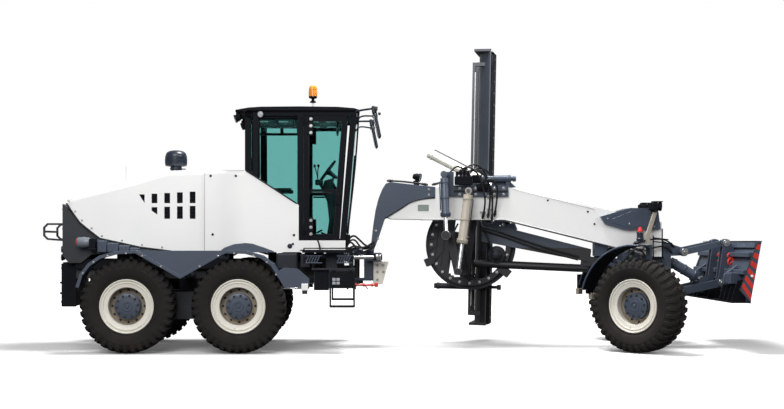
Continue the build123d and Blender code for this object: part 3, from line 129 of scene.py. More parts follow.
# ------------------------------------------------------------------ shader building
class Nodes:
    """A node tree with short helpers for adding and joining nodes."""

    def __init__(self, tree: bpy.types.NodeTree) -> None:
        """Args:
        tree: the material's or group's node tree.
        """
        self.tree = tree

    def add(self, kind: str, **settings: object) -> bpy.types.Node:
        """Add a node and set its own properties.

        Args:
            kind: the node's type name without its Shader prefix.
            settings: properties such as blend_type or operation.

        Returns:
            The new node.
        """
        node = self.tree.nodes.new(kind)
        for key, value in settings.items():
            setattr(node, key, value)
        return node

    def wire(self, value: object, socket: bpy.types.NodeSocket) -> None:
        """Feed a socket from another socket or from a plain value."""
        if isinstance(value, bpy.types.NodeSocket):
            self.tree.links.new(value, socket)
        else:
            socket.default_value = value

    def maths(
        self, operation: str, first: object, second: object = 0.5, clamp: bool = False
    ) -> bpy.types.NodeSocket:
        """A Math node on two values.

        Args:
            operation: Blender's name of the operation.
            first: a socket or number.
            second: a socket or number.
            clamp: keep the result between 0 and 1.

        Returns:
            The result's socket.
        """
        node = self.add("ShaderNodeMath", operation=operation, use_clamp=clamp)
        self.wire(first, node.inputs[0])
        self.wire(second, node.inputs[1])
        return node.outputs[0]

    def blend(self, factor: object, first: object, second: object) -> bpy.types.NodeSocket:
        """Mix two colours.

        Args:
            factor: share of the second colour.
            first: a socket or an RGBA colour.
            second: a socket or an RGBA colour.

        Returns:
            The mixed colour's socket.
        """
        node = self.add("ShaderNodeMix", data_type="RGBA")
        self.wire(factor, node.inputs[0])
        self.wire(first, node.inputs[6])
        self.wire(second, node.inputs[7])
        return node.outputs[2]

    def level(self, factor: object, first: object, second: object) -> bpy.types.NodeSocket:
        """Mix two plain numbers.

        Args:
            factor: share of the second number.
            first: a socket or number.
            second: a socket or number.

        Returns:
            The mixed value's socket.
        """
        node = self.add("ShaderNodeMix", data_type="FLOAT")
        self.wire(factor, node.inputs[0])
        self.wire(first, node.inputs[2])
        self.wire(second, node.inputs[3])
        return node.outputs[0]

    def ramp(self, value: bpy.types.NodeSocket, low: float, high: float) -> bpy.types.NodeSocket:
        """Stretch a value so that low becomes 0 and high becomes 1, held between them.

        Args:
            value: the value to stretch.
            low: where the result is 0.
            high: where the result is 1.

        Returns:
            The stretched value's socket.
        """
        node = self.add("ShaderNodeMapRange", clamp=True)
        self.wire(value, node.inputs[0])
        node.inputs[1].default_value = low
        node.inputs[2].default_value = high
        return node.outputs[0]

    def noise(
        self, scale: object, detail: float = 3.0, stretch: Point = (1, 1, 1)
    ) -> bpy.types.NodeSocket:
        """Noise over the object's own coordinates.

        Args:
            scale: size of the pattern, per metre.
            detail: octaves of noise.
            stretch: scale of each axis.

        Returns:
            The noise value's socket.
        """
        place = self.add("ShaderNodeTexCoord").outputs["Object"]
        if tuple(stretch) != (1, 1, 1):
            mapping = self.add("ShaderNodeMapping")
            mapping.inputs["Scale"].default_value = stretch
            self.wire(place, mapping.inputs["Vector"])
            place = mapping.outputs[0]
        node = self.add("ShaderNodeTexNoise")
        self.wire(place, node.inputs["Vector"])
        self.wire(scale, node.inputs["Scale"])
        node.inputs["Detail"].default_value = detail
        return node.outputs[0]


class EffectGroup:
    """A shader node group with named inputs and outputs, shared by the finishes."""

    def __init__(self, name: str, inputs: dict[str, float], outputs: dict[str, str]) -> None:
        """Args:
        name: the group's name.
        inputs: each input's name and usual value.
        outputs: each output's name and socket type.
        """
        self.tree = bpy.data.node_groups.new(name, "ShaderNodeTree")
        for label, value in inputs.items():
            socket = self.tree.interface.new_socket(
                label, in_out="INPUT", socket_type="NodeSocketFloat"
            )
            socket.default_value = value
        for label, kind in outputs.items():
            self.tree.interface.new_socket(label, in_out="OUTPUT", socket_type=kind)
        self.nodes = Nodes(self.tree)
        self.given = self.nodes.add("NodeGroupInput")
        self.result = self.nodes.add("NodeGroupOutput")

    def place(self, nodes: Nodes, **values: object) -> bpy.types.Node:
        """Put the group in a material.

        Args:
            nodes: the material's nodes.
            values: inputs by name, with underscores for spaces.

        Returns:
            The group node.
        """
        node = nodes.add("ShaderNodeGroup")
        node.node_tree = self.tree
        for key, value in values.items():
            nodes.wire(value, node.inputs[key.replace("_", " ").capitalize()])
        return node


def make_edge_wear() -> EffectGroup:
    """Mask that is 1 on exposed edges, broken up by noise.

    Returns:
        The group, with inputs Radius, Amount and Scale and output Mask.
    """
    group = EffectGroup(
        "edge_wear", {"Radius": 0.006, "Amount": 0.5, "Scale": 30.0}, {"Mask": "NodeSocketFloat"}
    )
    nodes = group.nodes
    rounded = nodes.add("ShaderNodeBevel", samples=4)
    nodes.wire(group.given.outputs["Radius"], rounded.inputs["Radius"])
    flat = nodes.add("ShaderNodeNewGeometry")
    product = nodes.add("ShaderNodeVectorMath", operation="DOT_PRODUCT")
    nodes.wire(rounded.outputs[0], product.inputs[0])
    nodes.wire(flat.outputs["Normal"], product.inputs[1])
    edge = nodes.maths("SUBTRACT", 1.0, product.outputs["Value"], clamp=True)
    edge = nodes.ramp(edge, 0.02, 0.2)
    patches = nodes.ramp(nodes.noise(group.given.outputs["Scale"], 5.0), 0.42, 0.62)
    mask = nodes.maths(
        "MULTIPLY", nodes.maths("MULTIPLY", edge, patches), group.given.outputs["Amount"], clamp=True
    )
    nodes.wire(mask, group.result.inputs["Mask"])
    return group


def make_dust() -> EffectGroup:
    """Mask of road dust: thicker near the ground and on faces that look up.

    Returns:
        The group, with inputs Amount, Top, Lying and Scale and output Mask.
    """
    inputs = {"Amount": 0.5, "Top": 1.6, "Lying": 0.3, "Scale": 6.0}
    group = EffectGroup("road_dust", inputs, {"Mask": "NodeSocketFloat"})
    nodes = group.nodes
    place = nodes.add("ShaderNodeSeparateXYZ")
    nodes.wire(nodes.add("ShaderNodeTexCoord").outputs["Object"], place.inputs[0])
    low = nodes.maths("DIVIDE", place.outputs["Z"], group.given.outputs["Top"])
    low = nodes.maths("SUBTRACT", 1.0, low, clamp=True)
    facing = nodes.add("ShaderNodeSeparateXYZ")
    nodes.wire(nodes.add("ShaderNodeNewGeometry").outputs["Normal"], facing.inputs[0])
    lying = nodes.maths(
        "MULTIPLY", nodes.ramp(facing.outputs["Z"], 0.5, 1.0), group.given.outputs["Lying"]
    )
    cloud = nodes.ramp(nodes.noise(group.given.outputs["Scale"], 6.0), 0.3, 0.75)
    total = nodes.maths("MULTIPLY", nodes.maths("ADD", low, lying), cloud)
    nodes.wire(
        nodes.maths("MULTIPLY", total, group.given.outputs["Amount"], clamp=True),
        group.result.inputs["Mask"]
    )
    return group


def make_grain() -> EffectGroup:
    """Fine height pattern for bumps, with a slow mottle for colour.

    Returns:
        The group, with inputs Fine and Coarse and outputs Height and Mottle.
    """
    outputs = {"Height": "NodeSocketFloat", "Mottle": "NodeSocketFloat"}
    group = EffectGroup("surface_grain", {"Fine": 300.0, "Coarse": 1.5}, outputs)
    nodes = group.nodes
    nodes.wire(nodes.noise(group.given.outputs["Fine"], 2.0), group.result.inputs["Height"])
    mottle = nodes.ramp(nodes.noise(group.given.outputs["Coarse"], 4.0), 0.3, 0.7)
    nodes.wire(mottle, group.result.inputs["Mottle"])
    return group


def make_region() -> EffectGroup:
    """Mask that is 1 inside a box seen from the side.

    Returns:
        The group, with the box's lowest and highest x and z as inputs and output Mask.
    """
    group = EffectGroup(
        "paint_region", {"Low x": 0.0, "High x": 1.0, "Low z": 0.0, "High z": 1.0},
        {"Mask": "NodeSocketFloat"}
    )
    nodes = group.nodes
    place = nodes.add("ShaderNodeSeparateXYZ")
    nodes.wire(nodes.add("ShaderNodeTexCoord").outputs["Object"], place.inputs[0])
    mask: object = 1.0
    for axis in ("x", "z"):
        value = place.outputs[axis.upper()]
        mask = nodes.maths(
            "MULTIPLY", mask, nodes.maths("GREATER_THAN", value, group.given.outputs[f"Low {axis}"])
        )
        mask = nodes.maths(
            "MULTIPLY", mask, nodes.maths("LESS_THAN", value, group.given.outputs[f"High {axis}"])
        )
    nodes.wire(mask, group.result.inputs["Mask"])
    return group


EDGE_WEAR = make_edge_wear()
DUST = make_dust()
GRAIN = make_grain()
REGION = make_region()


def rgba(colour: Colour) -> tuple[float, float, float, float]:
    """The colour with full alpha."""
    return (*colour, 1.0)


@dataclass(frozen=True)
class Patch:
    """A box of the machine, seen from its side, that has another colour, used both for two-tone paint and for
    painted shade.

    Attributes:
        low: lowest x and z, from the ground under the tandem pivot.
        high: highest x and z.
        colour: its linear colour.
    """

    low: Flat
    high: Flat
    colour: Colour

    def mask(self, nodes: Nodes) -> bpy.types.NodeSocket:
        """Place the region group with this box's numbers and give its mask."""
        x, z = (self.low[0] + PIVOT_X, self.high[0] + PIVOT_X), (self.low[1], self.high[1])
        return REGION.place(nodes, low_x=x[0], high_x=x[1], low_z=z[0], high_z=z[1]).outputs["Mask"]


@dataclass(frozen=True)
class Finish:
    """A painted, moulded or rubber surface with mottle, dust, worn edges, boxes of two-tone paint and painted
    shade, and a fine bump.

    Attributes:
        name: the material's name.
        colour: linear colour of the clean surface.
        shade: colour that the slow mottle leans to.
        roughness: roughness where clean.
        metallic: 1 for bare metal.
        coat: weight of a clear coat.
        dust: how much road dust lies on it.
        dust_top: height in metres above which none is thrown up.
        dust_colour: linear colour of the dust.
        wear: how much the edges are rubbed.
        wear_colour: colour under the paint.
        grain: bumps per metre.
        bump: depth of the bump in metres.
        specular: strength of the plain gloss, 0.5 for most paints.
        patches: boxes of the machine given another colour, as two-tone paint and as painted shade.
    """

    name: str
    colour: Colour
    shade: Colour
    roughness: float = 0.4
    metallic: float = 0.0
    coat: float = 0.0
    dust: float = 0.25
    dust_top: float = 1.6
    dust_colour: Colour = (0.33, 0.27, 0.20)
    wear: float = 0.3
    wear_colour: Colour = (0.28, 0.27, 0.26)
    grain: float = 260.0
    bump: float = 0.0002
    specular: float = 0.5
    patches: tuple[Patch, ...] = ()

    def material(self) -> bpy.types.Material:
        """Build the material once and give it again on later calls.

        Returns:
            The material.
        """
        found = bpy.data.materials.get(self.name)
        if found:
            return found
        material = bpy.data.materials.new(self.name)
        material.use_nodes = True
        nodes = Nodes(material.node_tree)
        shader = material.node_tree.nodes["Principled BSDF"]
        grain = GRAIN.place(nodes, fine=self.grain, coarse=1.7)
        dust = DUST.place(nodes, amount=self.dust, top=self.dust_top).outputs["Mask"]
        colour = nodes.blend(grain.outputs["Mottle"], rgba(self.colour), rgba(self.shade))
        roughness = nodes.level(
            grain.outputs["Mottle"], self.roughness, min(1.0, self.roughness + 0.07)
        )
        if self.wear > 0:
            wear = EDGE_WEAR.place(nodes, amount=self.wear).outputs["Mask"]
            colour = nodes.blend(wear, colour, rgba(self.wear_colour))
            roughness = nodes.level(wear, roughness, 0.55)
        # Patches lay two-tone paint and painted shade over the colour.
        for patch in self.patches:
            colour = nodes.blend(patch.mask(nodes), colour, rgba(patch.colour))
        colour = nodes.blend(dust, colour, rgba(self.dust_colour))
        roughness = nodes.level(dust, roughness, 0.9)
        nodes.wire(colour, shader.inputs["Base Color"])
        nodes.wire(roughness, shader.inputs["Roughness"])
        shader.inputs["Metallic"].default_value = self.metallic
        shader.inputs["Coat Weight"].default_value = self.coat
        shader.inputs["Coat Roughness"].default_value = 0.12
        shader.inputs["Specular IOR Level"].default_value = self.specular
        bump = nodes.add("ShaderNodeBump")
        bump.inputs["Distance"].default_value = self.bump
        bump.inputs["Strength"].default_value = 0.6
        nodes.wire(grain.outputs["Height"], bump.inputs["Height"])
        nodes.wire(bump.outputs[0], shader.inputs["Normal"])
        return material


@dataclass(frozen=True)
class GlassFinish:
    """Tinted glass or a clear lens, with faint dust.

    Attributes:
        name: the material's name.
        colour: linear colour of the light it lets through.
        transmission: share of light let through.
        roughness: roughness of the clean face.
        dust: how much dust dims it.
    """

    name: str
    colour: Colour
    transmission: float = 1.0
    roughness: float = 0.02
    dust: float = 0.1

    def material(self) -> bpy.types.Material:
        """Build the material once and give it again on later calls.

        Returns:
            The material.
        """
        found = bpy.data.materials.get(self.name)
        if found:
            return found
        material = bpy.data.materials.new(self.name)
        material.use_nodes = True
        nodes = Nodes(material.node_tree)
        shader = material.node_tree.nodes["Principled BSDF"]
        dust = DUST.place(nodes, amount=self.dust, top=4.5, scale=3.0).outputs["Mask"]
        nodes.wire(
            nodes.blend(dust, rgba(self.colour), (0.5, 0.52, 0.48, 1.0)), shader.inputs["Base Color"]
        )
        nodes.wire(nodes.level(dust, self.roughness, 0.35), shader.inputs["Roughness"])
        shader.inputs["Transmission Weight"].default_value = self.transmission
        shader.inputs["IOR"].default_value = 1.05 if self.transmission > 0.9 else 1.45
        return material


WHITE_PAINT = Finish(
    "white_gloss", (0.90, 0.90, 0.885), (0.86, 0.865, 0.855), 0.3, coat=0.4, dust=0.10, wear=0.05
)
SLATE = (0.050, 0.068, 0.104)
SLATE_DEEP = (0.040, 0.055, 0.086)
TAIL = (0.011, 0.016, 0.023)
# Near black, used for black paint and for painted shade on undersides.
BLACK_AND_PAINTED_SHADE = (0.006, 0.007, 0.010)
SLATE_PAINT = Finish("slate_gloss", SLATE, SLATE_DEEP, 0.4, coat=0.15, dust=0.07, wear=0.25)
# Chassis slate, near black behind x -1.35 for the dark guard at the tail, with painted shade on everything
# below z 1.31.
CHASSIS_PAINT = Finish(
    "chassis_paint", SLATE, SLATE_DEEP, 0.45, dust=0.06, wear=0.2,
    patches=(Patch((-9.0, -9.0), (-1.35, 9.0), TAIL), Patch((-9.0, -9.0), (9.0, 1.31), BLACK_AND_PAINTED_SHADE)),
)
# Drawbar slate with painted shade: near black behind x 4.42, and below z 1.50 ahead of it.
DRAWBAR_PAINTED_SHADE = Finish(
    "drawbar_paint", SLATE, SLATE_DEEP, 0.45, dust=0.03, wear=0.2,
    patches=(Patch((-9.0, -9.0), (4.42, 9.0), BLACK_AND_PAINTED_SHADE), Patch((4.42, -9.0), (9.0, 1.50), BLACK_AND_PAINTED_SHADE)),
)
# Moldboard slate darkened as painted shade, and near black below z 1.45 as deeper painted shade.
BLADE_PAINTED_SHADE = Finish(
    "blade_paint", (0.030, 0.038, 0.052), (0.022, 0.028, 0.040), 0.4, coat=0.1, dust=0.03, wear=0.2,
    patches=(Patch((-9.0, -9.0), (9.0, 1.45), BLACK_AND_PAINTED_SHADE),)
)
DARK_PAINT = Finish(
    "dark_slate_paint", (0.014, 0.018, 0.026), (0.010, 0.012, 0.018), 0.5, dust=0.08, wear=0.25,
    specular=0.3
)
BLACK_PAINT = Finish(
    "black_satin", BLACK_AND_PAINTED_SHADE, (0.009, 0.010, 0.013), 0.5, dust=0.02, wear=0.08, specular=0.06
)
BLUE_PLASTIC = Finish(
    "blue_black_plastic", (0.010, 0.015, 0.028), (0.013, 0.018, 0.030), 0.32, dust=0.04, wear=0.05
)
CREAM_PAINT = Finish(
    "cream_gloss", (0.80, 0.775, 0.70), (0.72, 0.69, 0.61), 0.35, coat=0.2, dust=0.16, wear=0.1
)
# Cream dish shown dust brown, partly real dust and partly painted shade in the rim's recess.
DISH_DUST_AND_SHADE = Finish("dish_paint", (0.34, 0.29, 0.22), (0.24, 0.20, 0.15), 0.55, dust=0.5, wear=0.2)
# White paint darkened to beige as painted shade.
WHITE_IN_PAINTED_SHADE = Finish("beige_paint", (0.40, 0.36, 0.30), (0.32, 0.28, 0.23), 0.42, dust=0.2, wear=0.25)
TYRE_RUBBER = Finish(
    "tyre_rubber", (0.0075, 0.0072, 0.0070), (0.013, 0.011, 0.010), 0.8, dust=0.22, dust_top=1.7,
    dust_colour=(0.060, 0.046, 0.035), wear=0.5, wear_colour=(0.040, 0.033, 0.027), grain=90.0,
    bump=0.0012, specular=0.3,
)
HOSE_RUBBER = Finish(
    "hose_rubber", (0.006, 0.006, 0.007), (0.010, 0.010, 0.010), 0.5, dust=0.05, wear=0.0, grain=600.0,
    specular=0.35
)
TRIM_PLASTIC = Finish(
    "trim_plastic", (0.012, 0.013, 0.016), (0.018, 0.019, 0.022), 0.55, dust=0.05, wear=0.1,
    grain=700.0, specular=0.3
)
CHROME = Finish(
    "bright_chrome", (0.62, 0.62, 0.64), (0.56, 0.56, 0.58), 0.14, metallic=1.0, dust=0.06, wear=0.0,
    bump=0.00003
)
STEEL = Finish(
    "plain_steel", (0.42, 0.42, 0.42), (0.34, 0.34, 0.34), 0.38, metallic=1.0, dust=0.12, wear=0.0
)
CASTING = Finish(
    "engine_casting", (0.02, 0.02, 0.02), (0.03, 0.03, 0.028), 0.65, dust=0.1, wear=0.2, grain=120.0,
    bump=0.0006
)
RED_PAINT = Finish(
    "red_paint", (0.66, 0.030, 0.018), (0.56, 0.022, 0.015), 0.4, coat=0.15, dust=0.05, wear=0.12
)
SEAT_FABRIC = Finish(
    "seat_fabric", (0.012, 0.014, 0.018), (0.022, 0.024, 0.028), 0.92, dust=0.03, wear=0.0, grain=900.0,
    bump=0.0006
)
CAB_GLASS = GlassFinish("cab_glass", (0.36, 0.64, 0.62))
AMBER_LENS = GlassFinish("amber_lens", (0.90, 0.30, 0.02), 0.30, 0.12)
RED_LENS = GlassFinish("red_lens", (0.70, 0.03, 0.03), 0.2, 0.15)
CLEAR_LENS = GlassFinish("clear_lens", (0.80, 0.84, 0.86), 0.6, 0.08)

SLOT_FINISH: dict[str, Finish | GlassFinish] = {
    "white_paint": WHITE_PAINT,
    "slate_paint": SLATE_PAINT,
    "black_paint": BLACK_PAINT,
    "cream_paint": CREAM_PAINT,
    "tyre": TYRE_RUBBER,
    "chrome": CHROME,
    "glass": CAB_GLASS,
    "amber": AMBER_LENS,
    "cast": CASTING,
    "trim": TRIM_PLASTIC,
}
NODE_FINISH: dict[str, Finish] = {
    "drawbar": DRAWBAR_PAINTED_SHADE,
    "moldboard": BLADE_PAINTED_SHADE,
    "cab_roof": BLACK_PAINT,
    "cab_shell": BLACK_PAINT,
    "rear_chassis": CHASSIS_PAINT,
    "rear_axle": BLACK_PAINT,
    "tandem_cases": DARK_PAINT,
    "access_steps": DARK_PAINT,
    # The circle's near-black dark slate is painted shade under the drawbar.
    "circle": DARK_PAINT,
    "front_axle": DARK_PAINT,
    # The near lift barrel is white paint in painted shade.
    "lift_near_barrel": WHITE_IN_PAINTED_SHADE,
    "lift_far_barrel": CREAM_PAINT,
    "neck_foot": CREAM_PAINT,
}


class CarriedNodes:
    """Dresses the CAD nodes that stay in view."""

    edge: float = 0.004
    sharp: float = math.radians(34)

    def dress(self) -> None:
        """Give every CAD node its slot's material and a small rounded edge."""
        slots = {part["node"]: part["material_slot"] for part in frame["record"]["subparts"]}
        for name, node in frame["nodes"].items():
            finish = NODE_FINISH.get(name, SLOT_FINISH[slots[name]])
            node.data.materials.clear()
            node.data.materials.append(finish.material())
            if isinstance(finish, Finish):
                self.round_edges(node)

    def round_edges(self, node: bpy.types.Object) -> None:
        """Weld the node's loose triangles and bevel its sharp edges with live modifiers.

        Args:
            node: the CAD node's object.
        """
        weld = node.modifiers.new("weld", "WELD")
        weld.merge_threshold = 0.00002
        bevel = node.modifiers.new("edge", "BEVEL")
        bevel.width = self.edge
        bevel.segments = 2
        bevel.limit_method = "ANGLE"
        bevel.angle_limit = self.sharp
        bevel.harden_normals = False
        bevel.use_clamp_overlap = True


# ------------------------------------------------------------------ bench: modelling with Blender's operators
def clear() -> None:
    """Leave edit mode and deselect everything."""
    if bpy.context.object and bpy.context.object.mode != "OBJECT":
        bpy.ops.object.mode_set(mode="OBJECT")
    bpy.ops.object.select_all(action="DESELECT")


def activate(piece: bpy.types.Object) -> None:
    """Select one object and make it active."""
    clear()
    piece.select_set(True)
    bpy.context.view_layer.objects.active = piece


def settle(piece: bpy.types.Object) -> None:
    """Put the object's place, turn and size into its mesh."""
    activate(piece)
    bpy.ops.object.transform_apply(location=True, rotation=True, scale=True)


def started(name: str) -> bpy.types.Object:
    """Name the object that an operator has just added and settle it.

    Args:
        name: the piece's name.

    Returns:
        The object.
    """
    piece = bpy.context.object
    piece.name = name
    piece.data.name = name
    settle(piece)
    return piece


def cube(name: str, low: Sequence[float], high: Sequence[float]) -> bpy.types.Object:
    """A box between two corners, ready to be shaped.

    Args:
        name: the piece's name.
        low: one corner in the row frame.
        high: the opposite corner.

    Returns:
        The object.
    """
    clear()
    low, high = Vector(low), Vector(high)
    bpy.ops.mesh.primitive_cube_add(size=1, location=(low + high) / 2)
    bpy.context.object.scale = [abs(side) for side in high - low]
    return started(name)


def drum(
    name: str, start: Sequence[float], end: Sequence[float], radius: float, sides: int = 24
) -> bpy.types.Object:
    """A round bar between two points.

    Args:
        name: the piece's name.
        start: centre of one end.
        end: centre of the other.
        radius: its radius.
        sides: faces round it.

    Returns:
        The object.
    """
    clear()
    start, end = Vector(start), Vector(end)
    bpy.ops.mesh.primitive_cylinder_add(
        vertices=sides, radius=radius, depth=(end - start).length, location=(start + end) / 2
    )
    bpy.context.object.rotation_mode = "QUATERNION"
    bpy.context.object.rotation_quaternion = (end - start).to_track_quat("Z", "Y")
    return started(name)


def ball(
    name: str, centre: Sequence[float], radius: float, stretch: Point = (1, 1, 1)
) -> bpy.types.Object:
    """A ball or egg.

    Args:
        name: the piece's name.
        centre: its centre.
        radius: its radius.
        stretch: scale of each axis.

    Returns:
        The object.
    """
    clear()
    bpy.ops.mesh.primitive_uv_sphere_add(segments=28, ring_count=16, radius=radius, location=centre)
    bpy.context.object.scale = stretch
    return started(name)


def outline(name: str, points: Sequence[Sequence[float]], closed: bool = True) -> bpy.types.Object:
    """A loop of edges through points, from a circle of as many corners.

    Args:
        name: the piece's name.
        points: corners in the row frame.
        closed: keep the edge from the last point to the first.

    Returns:
        The object.
    """
    clear()
    bpy.ops.mesh.primitive_circle_add(vertices=len(points), fill_type="NOTHING")
    piece = started(name)
    for vertex, point in zip(piece.data.vertices, points):
        vertex.co = point
    if not closed:
        activate(piece)
        bpy.ops.object.mode_set(mode="EDIT")
        bpy.ops.mesh.select_all(action="DESELECT")
        bpy.ops.object.mode_set(mode="OBJECT")
        for edge in piece.data.edges:
            edge.select = set(edge.vertices) == {0, len(points) - 1}
        bpy.ops.object.mode_set(mode="EDIT")
        bpy.ops.mesh.select_mode(type="EDGE")
        bpy.ops.mesh.delete(type="EDGE")
        bpy.ops.mesh.select_mode(type="VERT")
        bpy.ops.object.mode_set(mode="OBJECT")
    return piece


def close_up(piece: bpy.types.Object, gap: float = 0.00005) -> None:
    """Merge doubles and turn every face outwards.

    Args:
        piece: the object to mend.
        gap: distance under which points are merged.
    """
    activate(piece)
    bpy.ops.object.mode_set(mode="EDIT")
    bpy.ops.mesh.select_all(action="SELECT")
    bpy.ops.mesh.remove_doubles(threshold=gap)
    bpy.ops.mesh.normals_make_consistent(inside=False)
    bpy.ops.object.mode_set(mode="OBJECT")


def slab(name: str, points: Sequence[Sequence[float]], reach: Sequence[float]) -> bpy.types.Object:
    """A flat outline filled and extruded.

    Args:
        name: the piece's name.
        points: corners of one face, in the row frame.
        reach: the vector to the opposite face.

    Returns:
        The object.
    """
    piece = outline(name, points)
    activate(piece)
    bpy.ops.object.mode_set(mode="EDIT")
    bpy.ops.mesh.select_all(action="SELECT")
    bpy.ops.mesh.edge_face_add()
    bpy.ops.mesh.extrude_region_move(TRANSFORM_OT_translate={"value": tuple(reach)})
    bpy.ops.object.mode_set(mode="OBJECT")
    close_up(piece)
    return piece


def side_slab(name: str, profile: Sequence[Flat], y0: float, y1: float) -> bpy.types.Object:
    """A side profile of (x, z) corners from the tandem pivot, extruded across from y0 to y1."""
    return slab(name, [at(x, y0, z) for x, z in profile], (0, y1 - y0, 0))


def lathe(
    name: str, profile: Sequence[Flat], centre: Sequence[float], axis: Sequence[float], steps: int = 48
) -> bpy.types.Object:
    """A profile of (radius, along) points spun about an axis.

    Args:
        name: the piece's name.
        profile: distances from the axis and along it.
        centre: the axis's starting point.
        axis: its direction.
        steps: faces round it.

    Returns:
        The object.
    """
    centre, axis = Vector(centre), Vector(axis).normalized()
    out = axis.orthogonal().normalized()
    closed = profile[0] == profile[-1]
    corners = profile[:-1] if closed else profile
    piece = outline(name, [centre + out * radius + axis * along for radius, along in corners], closed)
    activate(piece)
    bpy.ops.object.mode_set(mode="EDIT")
    bpy.ops.mesh.select_all(action="SELECT")
    bpy.ops.mesh.spin(steps=steps, angle=TURN, center=centre, axis=axis, use_auto_merge=True)
    bpy.ops.object.mode_set(mode="OBJECT")
    close_up(piece)
    return piece


def pipe(
    name: str, points: Sequence[Sequence[float]], radius: float, smooth: bool = True, sides: int = 8
) -> bpy.types.Object:
    """A round tube along a path, with closed ends.

    Args:
        name: the piece's name.
        points: the path's points in the row frame.
        radius: the tube's radius.
        smooth: follow a smooth curve near the points instead of straight runs.
        sides: faces round it.

    Returns:
        The object, as a mesh.
    """
    clear()
    data = bpy.data.curves.new(name, "CURVE")
    data.dimensions = "3D"
    data.bevel_depth = radius
    data.bevel_resolution = max(1, sides // 4)
    data.use_fill_caps = True
    data.resolution_u = 6
    spline = data.splines.new("NURBS" if smooth else "POLY")
    spline.points.add(len(points) - 1)
    for control, point in zip(spline.points, points):
        control.co = (*point, 1.0)
    if smooth:
        spline.order_u = 3
        spline.use_endpoint_u = True
    piece = bpy.data.objects.new(name, data)
    bpy.context.scene.collection.objects.link(piece)
    activate(piece)
    bpy.ops.object.convert(target="MESH")
    piece = bpy.context.object
    close_up(piece)
    return piece


def bevel(
    piece: bpy.types.Object, width: float, segments: int = 2, angle: float = 32.0
) -> bpy.types.Object:
    """Round the piece's sharp edges.

    Args:
        piece: the object.
        width: how far the rounding reaches, in metres.
        segments: faces across it.
        angle: only edges sharper than this many degrees.

    Returns:
        The same object.
    """
    modifier = piece.modifiers.new("round", "BEVEL")
    modifier.width = width
    modifier.segments = segments
    modifier.limit_method = "ANGLE"
    modifier.angle_limit = math.radians(angle)
    activate(piece)
    bpy.ops.object.modifier_apply(modifier="round")
    return piece


def cut(piece: bpy.types.Object, cutter: bpy.types.Object) -> bpy.types.Object:
    """Take the cutter's shape out of the piece and remove the cutter.

    Args:
        piece: the object that is cut.
        cutter: the object that is taken away.

    Returns:
        The piece.
    """
    modifier = piece.modifiers.new("cut", "BOOLEAN")
    modifier.object = cutter
    modifier.operation = "DIFFERENCE"
    modifier.solver = "EXACT"
    activate(piece)
    bpy.ops.object.modifier_apply(modifier="cut")
    bpy.data.objects.remove(cutter)
    return piece


def smooth(piece: bpy.types.Object, angle: float = 35.0) -> bpy.types.Object:
    """Shade the piece smooth, except over edges sharper than the angle in degrees."""
    activate(piece)
    bpy.ops.object.shade_smooth_by_angle(angle=math.radians(angle))
    return piece


def copied(piece: bpy.types.Object, move: Matrix, name: str) -> bpy.types.Object:
    """A copy with its own mesh, moved by a matrix that goes into the mesh.

    Args:
        piece: the object to copy.
        move: the move in the row frame.
        name: the copy's name.

    Returns:
        The copy.
    """
    twin = piece.copy()
    twin.data = piece.data.copy()
    twin.name = name
    twin.data.name = name
    bpy.context.scene.collection.objects.link(twin)
    twin.data.transform(move)
    if move.determinant() < 0:
        twin.data.flip_normals()
    return twin


def joined(name: str, pieces: Sequence[bpy.types.Object]) -> bpy.types.Object:
    """Several objects made one.

    Args:
        name: the new piece's name.
        pieces: the objects; the first one's materials come first.

    Returns:
        The joined object.
    """
    clear()
    for piece in pieces:
        piece.select_set(True)
    bpy.context.view_layer.objects.active = pieces[0]
    if len(pieces) > 1:
        bpy.ops.object.join()
    result = bpy.context.object
    result.name = name
    result.data.name = name
    return result


def repeated(piece: bpy.types.Object, moves: Iterable[Matrix], name: str) -> bpy.types.Object:
    """The piece copied by each move and joined; the first one is used up.

    Args:
        piece: the model of one.
        moves: a matrix for each copy.
        name: the joined piece's name.

    Returns:
        The joined object.
    """
    twins = [copied(piece, move, name) for move in moves]
    bpy.data.objects.remove(piece)
    return joined(name, twins)


def turned(centre: Sequence[float], axis: Sequence[float], angle: float) -> Matrix:
    """A turn about an axis through a point.

    Args:
        centre: the point.
        axis: the axis's direction.
        angle: radians, by the right-hand rule.

    Returns:
        The matrix.
    """
    centre = Vector(centre)
    return Matrix.Translation(centre) @ Matrix.Rotation(
        angle, 4, Vector(axis)
    ) @ Matrix.Translation(-centre)


def ring_of(
    count: int, centre: Sequence[float], axis: Sequence[float], start: float = 0.0
) -> list[Matrix]:
    """Equal turns about an axis, for bolts and lugs set in a ring."""
    return [turned(centre, axis, start + TURN * number / count) for number in range(count)]


def mirrored() -> Matrix:
    """The move to the machine's other side."""
    return Matrix.Scale(-1, 4, (0, 1, 0))


def finished(
    piece: bpy.types.Object, finish: Finish | GlassFinish, body: str, replaces: Sequence[str] = ()
) -> bpy.types.Object:
    """Give a piece its material and the body it rides on, and report it.

    Args:
        piece: the object.
        finish: its finish.
        body: the CAD body it moves with.
        replaces: CAD nodes that it stands for.

    Returns:
        The same object.
    """
    if not piece.data.materials:
        piece.data.materials.append(finish.material())
    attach(piece, body)
    if replaces:
        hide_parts(*replaces)
    LOG.info("%s: %d faces on %s", piece.name, len(piece.data.polygons), body)
    return piece


# ------------------------------------------------------------------ small parts that repeat
def block(name: str, x: Flat, y: Flat, z: Flat, edge: float = 0.004) -> bpy.types.Object:
    """A rounded box between two places of the machine.

    Args:
        name: the piece's name.
        x: rear and front, from the tandem pivot.
        y: right and left.
        z: low and high.
        edge: width of the rounded edges.

    Returns:
        The object.
    """
    return bevel(cube(name, at(x[0], y[0], z[0]), at(x[1], y[1], z[1])), edge)


